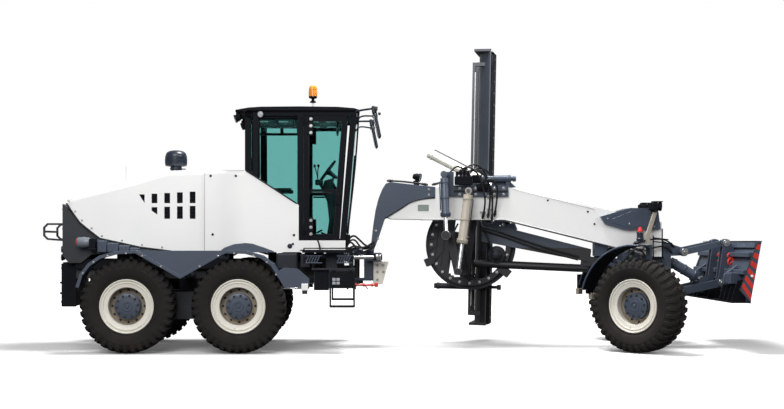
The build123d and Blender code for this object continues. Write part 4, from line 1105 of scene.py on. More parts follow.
def bolts(
    name: str, places: Sequence[Point], out: Sequence[float], radius: float = 0.014
) -> bpy.types.Object:
    """Hexagon heads on washers, one model copied to every place.

    Args:
        name: the piece's name.
        places: (x, y, z) of each seat, from the tandem pivot.
        out: the direction that the heads look in.
        radius: the head's radius.

    Returns:
        The joined bolts.
    """
    seat, out = at(*places[0]), Vector(out).normalized()
    washer = drum("washer", seat - out * 0.003, seat + out * radius * 0.25, radius * 1.45, 12)
    head = bevel(drum("head", seat, seat + out * radius * 0.95, radius, 6), radius * 0.12, 1)
    moves = [Matrix.Translation(at(*place) - seat) for place in places]
    return repeated(joined("bolt", [washer, head]), moves, name)


def hose(name: str, points: Sequence[Point], radius: float = 0.012) -> bpy.types.Object:
    """A hydraulic hose with a crimped ferrule and a nut at each end.

    Args:
        name: the piece's name.
        points: the route, from the tandem pivot.
        radius: the hose's radius.

    Returns:
        The hose.
    """
    route = [at(*point) for point in points]
    pieces = [smooth(pipe(name, route, radius, sides=8), 60)]
    for end, after in ((route[0], route[1]), (route[-1], route[-2])):
        along = (after - end).normalized()
        profile = [
            (0.0, -0.01), (radius * 1.1, -0.01), (radius * 1.1, 0.012), (radius * 1.55, 0.014),
            (radius * 1.55, 0.045), (radius * 1.3, 0.05), (radius * 1.3, 0.085), (radius, 0.088),
        ]
        pieces.append(lathe("ferrule", profile, end, along, 12))
    return joined(name, pieces)


def lamp_head(
    name: str, centre: Point, out: Sequence[float], radius: float, depth: float
) -> list[bpy.types.Object]:
    """A work lamp: a finned cup with a rim, and its domed lens.

    Args:
        name: start of the two pieces' names.
        centre: middle of the lens, from the tandem pivot.
        out: where the lamp shines.
        radius: the rim's radius.
        depth: from the lens to the back of the cup.

    Returns:
        The cup and the lens.
    """
    cup = [
        (0.0, -depth), (radius * 0.55, -depth), (radius * 0.7, -depth * 0.8),
        (radius * 0.78, -depth * 0.6), (radius * 0.9, -depth * 0.58), (radius * 0.9, -depth * 0.5),
        (radius * 0.8, -depth * 0.48), (radius * 0.93, -depth * 0.2), (radius, -depth * 0.18),
        (radius, 0.008), (radius * 0.9, 0.008), (radius * 0.88, -0.006), (0.0, -0.008),
    ]
    lens = [
        (0.0, 0.010), (radius * 0.5, 0.008), (radius * 0.86, 0.001), (radius * 0.87, -0.004),
        (0.0, -0.005)
    ]
    return [
        smooth(lathe(name + "_cup", cup, at(*centre), out, 28), 30),
        smooth(lathe(name + "_lens", lens, at(*centre), out, 28), 40),
    ]


def both(piece: bpy.types.Object) -> bpy.types.Object:
    """The piece with its twin on the machine's other side."""
    return joined(piece.name, [piece, copied(piece, mirrored(), piece.name)])


def tilted(
    piece: bpy.types.Object, centre: Point, axis: Sequence[float], degrees: float
) -> bpy.types.Object:
    """Turn the piece's mesh about an axis through a place of the machine.

    Args:
        piece: the object.
        centre: the place, from the tandem pivot.
        axis: the axis's direction.
        degrees: how far, by the right-hand rule.

    Returns:
        The same object.
    """
    piece.data.transform(turned(at(*centre), axis, math.radians(degrees)))
    return piece


def cushion(name: str, x: Flat, y: Flat, z: Flat, crown: float = 0.35) -> bpy.types.Object:
    """A crowned pad whose sides pull in, from a subdivided box.

    Args:
        name: the piece's name.
        x: rear and front, from the tandem pivot.
        y: right and left.
        z: low and high.
        crown: 0 leaves a box, 1 makes an egg.

    Returns:
        The closed pad.
    """
    low, high = at(x[0], y[0], z[0]), at(x[1], y[1], z[1])
    piece = cube(name, low, high)
    activate(piece)
    bpy.ops.object.mode_set(mode="EDIT")
    bpy.ops.mesh.select_all(action="SELECT")
    bpy.ops.mesh.subdivide(number_cuts=9)
    bpy.ops.object.mode_set(mode="OBJECT")
    middle, half = (low + high) / 2, (high - low) / 2
    for vertex in piece.data.vertices:
        unit = Vector([(vertex.co[axis] - middle[axis]) / half[axis] for axis in range(3)])
        round_place = Vector(
            [
                unit[a] * math.sqrt(
                    1 - unit[b] ** 2 / 2 - unit[c] ** 2 / 2 + unit[b] ** 2 * unit[c] ** 2 / 3
                )
                for a,
                b, c in ((0, 1, 2), (1, 2, 0), (2, 0, 1))
            ]
        )
        place = unit.lerp(round_place, crown)
        vertex.co = middle + Vector([place[axis] * half[axis] for axis in range(3)])
    return smooth(piece, 60)


# ------------------------------------------------------------------ hood and tail
@dataclass
class Hood:
    """Trim, slot backs, air cleaner and exhaust of the engine hood.

    Attributes:
        half_width: half the hood's width.
        curve: the lower edge from the tail forward, as (x, z).
        body: the CAD body it rides on.
    """

    half_width: float = 0.600
    curve: tuple[Flat, ...] = (
        (-1.790, 2.160), (-1.690, 2.005), (-1.592, 1.872), (-1.450, 1.757), (-1.300, 1.642),
        (-1.005, 1.578), (-0.710, 1.512), (-0.415, 1.476), (-0.120, 1.437), (0.240, 1.437),
    )
    body: str = "rear_frame"

    def trim(self) -> None:
        """Black sealing strip along the lower edge, with small bright bolts."""
        route = [at(x, -self.half_width - 0.004, z) for x, z in self.curve]
        strip = both(pipe("hood_seal", route, 0.012, smooth=False))
        finished(strip, HOSE_RUBBER, self.body)
        places = [(x + 0.03, -self.half_width - 0.001, z + 0.035) for x, z in self.curve[:8]]
        finished(both(bolts("hood_bolts", places, (0, -1, 0), 0.011)), STEEL, self.body)

    def slot_backs(self) -> None:
        """Dark slatted panel behind the air slots on each side."""
        panel = block("slot_back", (-0.78, 0.14), (-0.568, -0.560), (1.88, 2.40), 0.002)
        slat = block("slat", (-0.77, 0.13), (-0.573, -0.567), (1.90, 1.935), 0.002)
        tilted(slat, (0, -0.570, 1.918), (1, 0, 0), 35)
        slats = repeated(slat, [Matrix.Translation((0, 0, 0.048 * row)) for row in range(10)], "slats")
        finished(both(joined("slot_backs", [panel, slats])), BLACK_PAINT, self.body)

    def air_cleaner(self) -> None:
        """Mushroom cap with a seam, ribs, neck and clamp."""
        low, high = 2.600, 2.980
        cap = [
            (0.0, high), (0.050, high - 0.001), (0.105, high - 0.012), (0.140, high - 0.034),
            (0.157, high - 0.066), (0.161, high - 0.090), (0.168, high - 0.094), (0.168, high - 0.106),
            (0.162, high - 0.110), (0.163, high - 0.220), (0.157, high - 0.236), (0.140, high - 0.240),
            (0.130, high - 0.225), (0.084, high - 0.225), (0.084, high - 0.262), (0.092, high - 0.265),
            (0.092, high - 0.292), (0.084, high - 0.295), (0.084, low), (0.0, low),
        ]
        axis = at(-0.265, 0, 0)
        body = smooth(lathe("air_cleaner", cap, axis, (0, 0, 1), 56), 30)
        rib = block("rib", (-0.268, -0.262), (-0.1675, -0.158), (2.775, 2.860), 0.001)
        ribs = repeated(rib, ring_of(36, axis, (0, 0, 1)), "ribs")
        clamp = block("clamp", (-0.190, -0.120), (-0.014, 0.014), (2.688, 2.704), 0.003)
        piece = joined("air_cleaner", [body, ribs, clamp])
        finished(piece, BLUE_PLASTIC, self.body, ["intake_and_exhaust"])

    def exhaust(self) -> None:
        """Pale exhaust pipe with a hollow, slanted top and a flange at the hood."""
        profile = [
            (0.038, 2.48), (0.043, 2.48), (0.043, 2.725), (0.045, 2.735), (0.041, 2.739),
            (0.037, 2.735), (0.037, 2.50), (0.037, 2.485), (0.038, 2.48),
        ]
        axis = at(-0.985, 0, 0)
        tube = lathe("exhaust", profile, axis, (0, 0, 1), 36)
        flange = lathe(
            "flange", [(0.040, 2.43), (0.075, 2.445), (0.075, 2.462), (0.046, 2.478)], axis, (0, 0, 1),
            36
        )
        finished(smooth(joined("exhaust", [tube, flange]), 35), WHITE_PAINT, self.body)

    def build(self) -> None:
        """Make every piece of the hood."""
        self.trim()
        self.slot_backs()
        self.air_cleaner()
        self.exhaust()


@dataclass
class Tail:
    """Rear grille, lamps, tow bracket and ribbed side boxes.

    Attributes:
        back: x of the tail's rear face.
        can: front of the near lamp can, which looks backwards.
        body: the CAD body it rides on.
    """

    back: float = -1.860
    can: Point = (-1.425, -0.690, 1.585)
    body: str = "rear_frame"

    def grille(self) -> None:
        """Framed slats over the radiator at the back."""
        frame = block(
            "frame", (self.back - 0.022, self.back + 0.004), (-0.47, 0.47), (1.47, 2.10), 0.006
        )
        hole = cube("hole", at(self.back - 0.05, -0.42, 1.52), at(self.back - 0.004, 0.42, 2.05))
        cut(frame, hole)
        slat = block(
            "slat", (self.back - 0.018, self.back - 0.002), (-0.425, 0.425), (1.525, 1.533), 0.001
        )
        tilted(slat, (self.back - 0.01, 0, 1.529), (0, 1, 0), -28)
        slats = repeated(slat, [Matrix.Translation((0, 0, 0.0225 * row)) for row in range(23)], "slats")
        finished(joined("rear_grille", [frame, slats]), BLACK_PAINT, self.body)
        places = [(self.back - 0.022, y, z) for y in (-0.445, 0.445) for z in (1.495, 1.785, 2.075)]
        finished(bolts("grille_bolts", places, (-1, 0, 0), 0.010), STEEL, self.body)

    def side_lamps(self) -> None:
        """Grey lamp cans with red lenses that look backwards, on dark brackets."""
        profile = [
            (0.0, 0.0), (0.062, 0.0), (0.070, 0.010), (0.074, 0.060), (0.078, 0.064), (0.078, 0.160),
            (0.068, 0.182), (0.0, 0.186),
        ]
        can = smooth(lathe("lamp_can", profile, at(*self.can), (-1, 0, 0), 32), 30)
        finished(both(can), Finish("grey_can", (0.16, 0.18, 0.21), (0.13, 0.15, 0.18), 0.4), self.body)
        lens = [(0.0, 0.212), (0.040, 0.208), (0.062, 0.196), (0.066, 0.186), (0.0, 0.184)]
        red = smooth(lathe("tail_lens", lens, at(*self.can), (-1, 0, 0), 32), 40)
        finished(both(red), RED_LENS, self.body)
        holder = joined("holder", [
            block("foot", (-1.450, -1.330), (-0.790, -0.605), (1.470, 1.500), 0.005),
            block("stem", (-1.425, -1.345), (-0.770, -0.610), (1.490, 1.640), 0.008),
        ])
        finished(both(holder), BLACK_PAINT, self.body)

    def side_boxes(self) -> None:
        """Stepped slate boxes with pressed ribs under the hood's curve."""
        pieces = []
        for x0, x1, top in (
            (-1.315, -1.180, 1.610), (-1.170, -1.010, 1.575), (-1.000, -0.850, 1.540),
            (-0.840, -0.700, 1.505)
        ):
            pieces.append(block("box", (x0, x1), (-0.720, -0.600), (1.440, top), 0.008))
            for rib in range(3):
                x = x0 + 0.02 + rib * 0.045
                pieces.append(
                    block("rib", (x, x + 0.018), (-0.728, -0.716), (1.452, top - 0.012), 0.003)
                )
        finished(both(joined("side_boxes", pieces)), SLATE_PAINT, self.body)

    def tow_bracket(self) -> None:
        """Black counterweight cover with the tow jaw and its pin."""
        cover = block(
            "tow_cover", (self.back - 0.045, self.back - 0.018), (-0.44, 0.44), (0.63, 1.27), 0.010
        )
        jaws = [
            block("jaw", (self.back - 0.150, self.back - 0.040), (-0.09, 0.09), (z, z + 0.03), 0.008)
            for z in (0.80, 0.96)
        ]
        pin = lathe(
            "pin",
            [(0.0, 0.70), (0.02, 0.70), (0.02, 1.05), (0.034, 1.055), (0.034, 1.075), (0.0, 1.078)],
            at(self.back - 0.11, 0, 0), (0, 0, 1), 20
        )
        cheeks = [
            block("cheek", (self.back - 0.022, -1.684), (y, y + 0.012), (0.63, 1.285), 0.004)
            for y in (-0.443, 0.431)
        ]
        finished(joined("tow_bracket", [cover, *jaws, pin, *cheeks]), BLACK_PAINT, self.body)
        places = [(self.back - 0.045, y, z) for y in (-0.38, 0.38) for z in (0.70, 1.20)]
        finished(bolts("tow_bolts", places, (-1, 0, 0), 0.018), STEEL, self.body)

    def back_lamps(self) -> None:
        """Round red and clear lamps beside the grille, two on each side."""
        for hand in (1, -1):
            for number, z in enumerate((1.42, 1.30)):
                cup, lens = lamp_head(
                    f"back_lamp_{number}_{hand + 1}", (self.back - 0.050, hand * 0.36, z + 0.06),
                    (-1, 0, 0), 0.048, 0.05
                )
                finished(cup, BLACK_PAINT, self.body)
                finished(lens, RED_LENS if number == 0 else CLEAR_LENS, self.body)

    def build(self) -> None:
        """Make every piece of the tail."""
        self.grille()
        self.side_lamps()
        self.side_boxes()
        self.tow_bracket()
        self.back_lamps()


@dataclass
class Fenders:
    """Fittings of the double-arch mudguards: bolts, the flap's bar, box and foot, and a plate under the
    frame.

    Attributes:
        outer: y of the outer edge.
        body: the CAD body it rides on.
    """

    outer: float = 1.290
    body: str = "rear_frame"

    def belly(self) -> None:
        """Flat black plate under the rear frame, between the mudguards, as painted shade where the underside
        is dark.
        """
        plate = block("belly_plate", (-1.68, 0.95), (-0.52, 0.52), (1.19, 1.335), 0.01)
        finished(plate, BLACK_PAINT, self.body)

    def fasteners(self) -> None:
        """Bolts along the outer bead."""
        crest = [
            (-1.400, 1.150), (-1.250, 1.305), (-1.050, 1.395), (-0.790, 1.430), (-0.560, 1.395),
            (-0.300, 1.245), (0.250, 1.245), (0.510, 1.395), (0.740, 1.430), (1.010, 1.398),
            (1.200, 1.305), (1.330, 1.130)
        ]
        places = [(x, -self.outer - 0.001, z) for x, z in crest]
        finished(both(bolts("fender_bolts", places, (0, -1, 0), 0.010)), STEEL, self.body)

    def flap_fittings(self) -> None:
        """Bright bar and pale box at the foot of the front flap, with their pin."""
        y = -self.outer - 0.012
        bar = pipe("flap_bar", [at(1.43, y, 0.935), at(1.72, y, 0.935)], 0.012, smooth=False)
        finished(both(bar), CHROME, self.body)
        finished(
            both(block("flap_box", (1.690, 1.785), (y - 0.035, y + 0.011), (0.905, 1.000), 0.006)),
            WHITE_PAINT, self.body
        )
        foot = [block("foot", (1.700, 1.775), (y - 0.03, y + 0.02), (0.855, 0.905), 0.006),
                drum("pin", at(1.740, y - 0.045, 0.875), at(1.740, y + 0.03, 0.875), 0.020, 14)]
        finished(both(joined("flap_foot", foot)), DARK_PAINT, self.body)

    def build(self) -> None:
        """Make every fitting."""
        self.belly()
        self.fasteners()
        self.flap_fittings()


# ------------------------------------------------------------------ cab
@dataclass
class Cab:
    """Door fittings, roof lamps, headliner, wipers and body bolts of the cab.

    Attributes:
        half_width: y of the door's outer face.
        body: the CAD body of the cab.
    """

    half_width: float = 0.780
    body: str = "rear_frame"

    def doors(self, side: Side) -> None:
        """Bolted hinge straps, the grab bar, the latch and the seal on one door."""
        body = f"door_{side.word}"
        y = self.half_width * side.value
        out = side.value

        def placed(name: str, x: Flat, reach: Flat, z: Flat, edge: float = 0.004) -> bpy.types.Object:
            """A rounded box that reaches outwards from the door's face."""
            near, far = sorted((y + out * reach[0], y + out * reach[1]))
            return block(name, x, (near, far), z, edge)

        straps, places = [], []
        for z in (1.660, 3.135):
            straps.append(placed("strap", (1.772, 1.842), (-0.004, 0.012), (z, z + 0.290), 0.006))
            places += [(1.808, y + out * 0.012, z + step) for step in (0.045, 0.145, 0.245)]
        straps.append(placed("latch", (2.150, 2.235), (-0.004, 0.030), (2.130, 2.300), 0.010))
        straps.append(placed("pull", (2.160, 2.185), (0.028, 0.050), (2.150, 2.280), 0.008))
        rail_y = y + out * 0.040
        rail = pipe(
            "rail",
            [at(1.80, y, 2.300), at(1.83, rail_y, 2.300), at(2.11, rail_y, 2.300), at(2.15, y, 2.300)],
            0.013
        )
        finished(joined(f"door_fittings_{side.word}", [*straps, rail]), BLACK_PAINT, body)
        finished(bolts(f"door_bolts_{side.word}", places, (0, out, 0), 0.016), STEEL, body)
        seal = [(1.779, 1.700), (1.779, 3.345), (2.262, 3.345), (2.135, 1.700), (1.779, 1.700)]
        loop = [at(x, y + out * 0.002, z) for x, z in seal]
        finished(pipe(f"door_seal_{side.word}", loop, 0.008, smooth=False), HOSE_RUBBER, body)

    def body_bolts(self) -> None:
        """Small bolts and a round filler cap on the white bodywork."""
        low = [
            (1.545, -0.781, 1.560), (0.360, -0.621, 1.700), (0.330, -0.621, 2.560),
            (0.700, -0.621, 2.560), (1.560, -0.781, 1.690)
        ]
        finished(both(bolts("body_bolts", low, (0, -1, 0), 0.013)), DARK_PAINT, self.body)
        cap = lathe(
            "cap",
            [(0.0, 0.016), (0.020, 0.016), (0.026, 0.012), (0.034, 0.010), (0.036, 0.0), (0.0, -0.002)],
            at(1.500, -0.780, 1.530), (0, -1, 0), 20
        )
        finished(both(smooth(joined("drain_caps", [cap]), 30)), DARK_PAINT, self.body)
        seam = [
            at(0.243, -0.612, 1.46), at(0.243, -0.612, 2.50), at(0.250, -0.600, 2.60),
            at(0.262, -0.560, 2.640)
        ]
        finished(both(pipe("body_seam", seam, 0.004)), DARK_PAINT, self.body)

    def waist_seal(self) -> None:
        """Dark rubber where the side windows meet the white waist, and along the rear post."""
        line = [at(0.862, -0.786, 2.628), at(1.600, -0.786, 2.150)]
        finished(both(pipe("waist_seal", line, 0.010, smooth=False)), HOSE_RUBBER, self.body)
        frame = [at(1.050, -0.765, 2.520), at(1.050, -0.765, 3.400), at(1.600, -0.765, 3.400)]
        inner = pipe("quarter_frame", frame, 0.018, smooth=False)
        finished(both(inner), BLACK_PAINT, self.body)

    def roof_lamps(self) -> None:
        """Round work lamps under the roof's edge at the sides, the front and the back."""
        heads = [
            ((1.075, 0.815, 3.445), (-0.3, 1, -0.15), 0.050),
            ((0.705, 0.470, 3.430), (-1, 0.1, -0.2), 0.055),
            ((2.470, 0.600, 3.450), (1, 0.15, -0.2), 0.055),
            ((2.490, 0.250, 3.450), (1, 0.0, -0.2), 0.050),
        ]
        for number, (centre, out, radius) in enumerate(heads):
            cup, lens = lamp_head(f"roof_lamp_{number}", centre, out, radius, 0.075)
            stem = drum(
                "stem", at(*centre) - Vector(out).normalized() * 0.04,
                at(centre[0], centre[1] - 0.01, 3.515), 0.012, 10
            )
            finished(both(joined(cup.name, [cup, stem])), BLACK_PAINT, self.body)
            finished(both(lens), CLEAR_LENS, self.body)

    def headliner(self) -> None:
        """Dark lining under the roof with its edge rails, pale light strips and a sun visor."""
        lining = block("lining", (0.93, 2.34), (-0.650, 0.650), (3.380, 3.425), 0.012)
        rails = [
            block("rail", (0.95, 1.60), (y, y + 0.03), (3.265, 3.305), 0.006) for y in (-0.700, 0.670)
        ]
        hangers = [block("hanger", (x, x + 0.05), (y, y + 0.025), (3.295, 3.400), 0.004)
                   for x in (0.97, 1.28, 1.54) for y in (-0.698, 0.672)]
        visor = tilted(
            block("visor", (2.20, 2.225), (-0.55, 0.55), (3.24, 3.40), 0.008), (2.21, 0, 3.40),
            (0, 1, 0), 12
        )
        finished(joined("headliner", [lining, *rails, *hangers, visor]), TRIM_PLASTIC, self.body)
        strip = bevel(block("strip", (1.02, 1.16), (-0.47, -0.40), (3.370, 3.384), 0.002), 0.002)
        moves = [
            Matrix.Translation((step, shift, 0))
            for step in (0.0, 0.30, 0.75, 1.0)
            for shift in (0.0, 0.87)
        ]
        finished(repeated(strip, moves, "ceiling_strips"), WHITE_PAINT, self.body)

    def wipers(self) -> None:
        """A wiper arm and blade on the windscreen and one on the rear window."""
        foot, top = (2.320, 1.640), (2.480, 3.500)
        lean = (top[0] - foot[0]) / (top[1] - foot[1])

        def glass_x(z: float) -> float:
            """x just ahead of the windscreen at height z."""
            return foot[0] + (z - foot[1]) * lean + 0.022

        arm = pipe(
            "arm", [at(glass_x(z), y, z) for y, z in ((0.05, 1.74), (-0.10, 2.10), (-0.28, 2.46))],
            0.009
        )
        blade = pipe(
            "blade", [at(glass_x(z), y, z) for y, z in ((-0.24, 2.10), (-0.29, 2.50), (-0.33, 2.88))],
            0.011
        )
        motor = lathe(
            "motor", [(0.0, 0.03), (0.025, 0.028), (0.04, 0.0), (0.0, -0.002)],
            at(glass_x(1.74) - 0.02, 0.05, 1.74), (1, 0, 0), 16
        )
        back_arm = pipe(
            "back_arm", [at(0.815, y, z) for y, z in ((0.0, 2.60), (0.06, 2.85), (0.12, 3.05))], 0.008
        )
        back_blade = pipe(
            "back_blade", [at(0.818, y, z) for y, z in ((0.08, 2.80), (0.13, 3.06), (0.19, 3.30))],
            0.010
        )
        finished(joined("wipers", [arm, blade, motor, back_arm, back_blade]), BLACK_PAINT, self.body)

    def front_rails(self) -> None:
        """Thin black edge rail outside the windscreen on each side, and the dark sill below it."""
        rail = [
            at(2.500, -0.735, 3.400), at(2.478, -0.735, 3.000), at(2.430, -0.735, 2.500),
            at(2.380, -0.735, 2.080), at(2.345, -0.735, 1.760)
        ]
        finished(both(pipe("screen_rails", rail, 0.013)), BLACK_PAINT, self.body)
        step = block("step", (2.300, 2.380), (-0.72, 0.72), (1.560, 1.700), 0.012)
        finished(step, BLACK_PAINT, self.body)

    def build(self) -> None:
        """Make every piece of the cab."""
        for side in Side:
            self.doors(side)
        self.body_bolts()
        self.waist_seal()
        self.roof_lamps()
        self.headliner()
        self.wipers()
        self.front_rails()


@dataclass
class DriverPlace:
    """The seat, armrests, levers, console and steering wheel.

    Attributes:
        floor: z of the cab's floor.
        hinge: where the seat's back leans from.
        lean: the back's lean, in degrees.
        body: the CAD body it rides on.
    """

    floor: float = 1.640
    hinge: Point = (1.00, 0, 2.06)
    lean: float = -7
    body: str = "rear_frame"

    def leant(self, piece: bpy.types.Object) -> bpy.types.Object:
        """Lean a piece back about the seat's hinge."""
        return tilted(piece, self.hinge, (0, 1, 0), self.lean)

    def seat(self) -> None:
        """Crowned cushion, back and headrest in dark fabric on a bellows pedestal."""
        low = cushion("seat_cushion", (1.02, 1.50), (-0.250, 0.250), (1.985, 2.125), 0.30)
        finished(low, SEAT_FABRIC, self.body, ["cab_interior"])
        back = cushion("seat_back", (0.925, 1.050), (-0.240, 0.240), (2.060, 2.720), 0.32)
        self.leant(back)
        finished(back, SEAT_FABRIC, self.body)
        head = cushion("headrest", (0.905, 0.995), (-0.130, 0.130), (2.735, 2.885), 0.45)
        self.leant(head)
        finished(head, SEAT_FABRIC, self.body)
        folds = [(0.0, self.floor + 0.002), (0.21, self.floor + 0.002)]
        for fold in range(7):
            z = self.floor + 0.02 + fold * 0.045
            folds += [(0.205, z), (0.180, z + 0.022)]
        folds += [(0.205, 1.975), (0.0, 1.978)]
        bellows = smooth(lathe("bellows", folds, at(1.22, 0, 0), (0, 0, 1), 32), 25)
        spines = [
            self.leant(block("spine", (0.955, 0.985), (y, y + 0.03), (2.05, 2.80), 0.006))
            for y in (-0.07, 0.04)
        ]
        finished(joined("seat_base", [bellows, *spines]), TRIM_PLASTIC, self.body)

    def arms(self) -> None:
        """Padded armrests on their stays."""
        pads = []
        for y in (-0.345, 0.275):
            pads.append(
                bevel(block("pad", (1.16, 1.50), (y, y + 0.070), (2.335, 2.395), 0.012), 0.010, 2)
            )
            pads.append(block("stay", (1.10, 1.20), (y + 0.015, y + 0.055), (2.12, 2.36), 0.010))
        finished(joined("armrests", pads), TRIM_PLASTIC, self.body)

    def console(self) -> None:
        """Steering column that narrows to the floor, with its wheel, lever pod and pedals."""
        profile = [
            (2.02, 1.645), (2.15, 1.645), (2.135, 1.90), (2.16, 2.16), (2.18, 2.40), (2.10, 2.55),
            (1.99, 2.52), (1.95, 2.38), (2.03, 2.20), (2.06, 1.92)
        ]
        column = bevel(side_slab("column", profile, -0.085, 0.085), 0.014, 3)
        rim = self.wheel_rim()
        grips, feet = (1.850, 1.905), (-0.27, -0.14, 0.14)
        pod = block("pod", (1.855, 1.975), (-0.34, -0.22), (2.440, 2.520), 0.014)
        levers = [
            pipe("lever", [at(1.90, -0.31, 2.51), at(1.885, -0.32, 2.60), at(x, -0.32, 2.715)], 0.008)
            for x in grips
        ]
        knobs = [ball("knob", at(x, -0.32, 2.725), 0.020, (1, 1, 1.3)) for x in grips]
        post = pipe(
            "post", [at(1.93, -0.28, 2.46), at(1.99, -0.20, 2.36), at(2.03, -0.08, 2.26)], 0.022
        )
        screen = tilted(
            block("screen", (2.075, 2.105), (0.12, 0.34), (2.46, 2.64), 0.008), (2.09, 0, 2.46),
            (0, 1, 0), 15
        )
        holder = pipe(
            "holder", [at(2.10, 0.06, 2.40), at(2.10, 0.15, 2.48), at(2.095, 0.22, 2.52)], 0.012
        )
        pedals = [
            tilted(
                block("pedal", (1.86, 1.96), (y, y + 0.09), (1.74, 1.757), 0.006), (1.91, y, 1.75),
                (0, 1, 0), -28
            )
            for y in feet
        ]
        stems = [
            pipe(
                "stem",
                [at(1.94, y + 0.045, 1.73), at(2.02, y + 0.045, 1.70), at(2.08, y + 0.045, 1.66)],
                0.012, smooth=False
            )
            for y in feet
        ]
        parts = [column, *rim, pod, *levers, *knobs, post, screen, holder, *pedals, *stems]
        finished(joined("driver_console", parts), TRIM_PLASTIC, self.body)

    def wheel_rim(self) -> list[bpy.types.Object]:
        """Steering wheel: a thick rim, three spokes and the hub, tilted to the driver."""
        centre, axis = at(2.035, 0, 2.665), Vector((-0.80, 0, 0.60)).normalized()
        ring = [
            (0.185 + 0.016 * math.cos(TURN * k / 10), 0.016 * math.sin(TURN * k / 10))
            for k in range(10)
        ]
        rim = smooth(lathe("wheel_rim", [*ring, ring[0]], centre, axis, 48), 60)
        hub = smooth(
            lathe(
                "hub",
                [
                    (0.0, 0.012), (0.040, 0.010), (0.052, -0.010), (0.035, -0.060), (0.022, -0.180),
                    (0.0, -0.182)
                ],
                centre, axis, 24
            ),
            40
        )
        side = axis.orthogonal().normalized()
        spoke = pipe(
            "spoke", [centre + side * 0.03, centre + side * 0.11 - axis * 0.006, centre + side * 0.185],
            0.011
        )
        return [rim, hub, repeated(spoke, ring_of(3, centre, axis, 0.3), "spokes")]

    def build(self) -> None:
        """Furnish the cab."""
        self.seat()
        self.arms()
        self.console()


@dataclass
class Beacon:
    """Amber rotating beacon on its stem.

    Attributes:
        x: place along the machine.
        body: the CAD body it rides on.
    """

    x: float = 1.814
    body: str = "rear_frame"

    def build(self) -> None:
        """Make the dome, the collar and the stem."""
        axis = at(self.x, 0, 0)
        dome = [
            (0.0, 3.966), (0.030, 3.963), (0.050, 3.950), (0.060, 3.928), (0.063, 3.900),
            (0.060, 3.897), (0.060, 3.890), (0.065, 3.886)
        ]
        dome += [
            (0.066, 3.835), (0.063, 3.832), (0.063, 3.822), (0.066, 3.819), (0.066, 3.800), (0.0, 3.799)
        ]
        piece = smooth(lathe("beacon_dome", dome, axis, (0, 0, 1), 40), 30)
        finished(piece, AMBER_LENS, self.body, ["beacon"])
        collar = [
            (0.0, 3.7985), (0.060, 3.7985), (0.064, 3.792), (0.062, 3.778), (0.045, 3.768),
            (0.022, 3.764), (0.020, 3.742)
        ]
        collar += [(0.034, 3.730), (0.050, 3.718), (0.048, 3.708), (0.022, 3.700), (0.0, 3.699)]
        finished(
            smooth(lathe("beacon_collar", collar, axis, (0, 0, 1), 32), 30), BLACK_PAINT, self.body
        )
        stem = [
            (0.0, 3.699), (0.018, 3.699), (0.018, 3.585), (0.055, 3.580), (0.060, 3.566),
            (0.060, 3.545), (0.0, 3.544)
        ]
        finished(smooth(lathe("beacon_stem", stem, axis, (0, 0, 1), 28), 30), WHITE_PAINT, self.body)


@dataclass
class Mirrors:
    """Mirror heads on twin bent arms, and the rear work lamps.

    Attributes:
        pivot: top of the near mirror's head, where it tilts.
        tilt: the head's and the glass's tilt, in degrees.
        body: the CAD body it rides on.
    """

    pivot: Point = (2.74, -0.945, 3.42)
    tilt: float = -12
    body: str = "rear_frame"

    def build(self) -> None:
        """Make one side's arms, heads and clamps and mirror them."""
        arms = [
            pipe(
                "upper",
                [
                    at(2.40, -0.74, 3.470), at(2.50, -0.79, 3.500), at(2.62, -0.87, 3.510),
                    at(2.71, -0.93, 3.515)
                ],
                0.015
            ),
            pipe(
                "lower",
                [
                    at(2.46, -0.73, 3.330), at(2.50, -0.76, 3.400), at(2.58, -0.84, 3.425),
                    at(2.72, -0.93, 3.405)
                ],
                0.012
            ),
            pipe(
                "post", [at(2.745, -0.945, 3.545), at(2.765, -0.945, 3.300), at(2.800, -0.945, 3.080)],
                0.013
            ),
        ]
        clamps = [
            block("clamp", (2.700, 2.775), (-0.975, -0.915), (z, z + 0.055), 0.010)
            for z in (3.485, 3.375)
        ]
        knob = ball("knob", at(2.80, -0.945, 3.44), 0.022)
        main_head = tilted(
            block("head", (2.715, 2.760), (-1.045, -0.865), (3.085, 3.420), 0.018), self.pivot,
            (0, 1, 0), self.tilt
        )
        small = tilted(
            block("small", (2.690, 2.735), (-1.035, -0.875), (3.435, 3.545), 0.016),
            (2.71, -0.945, 3.49), (0, 1, 0), -8
        )
        piece = both(joined("mirror_heads", [*arms, *clamps, knob, main_head, small]))
        finished(piece, BLUE_PLASTIC, self.body, ["mirrors_and_lamps"])
        glass = tilted(
            block("mirror_glass", (2.708, 2.716), (-1.035, -0.875), (3.100, 3.405), 0.003), self.pivot,
            (0, 1, 0), self.tilt
        )
        finished(both(glass), CHROME, self.body)
        tail = [block("bracket", (0.700, 0.760), (-0.62, -0.55), (3.380, 3.510), 0.008)]
        cup, lens = lamp_head("rear_lamp", (0.690, -0.585, 3.400), (-1, -0.2, -0.35), 0.060, 0.085)
        finished(both(joined("rear_lamp_cup", [cup, *tail])), BLACK_PAINT, self.body)
        finished(both(lens), CLEAR_LENS, self.body)


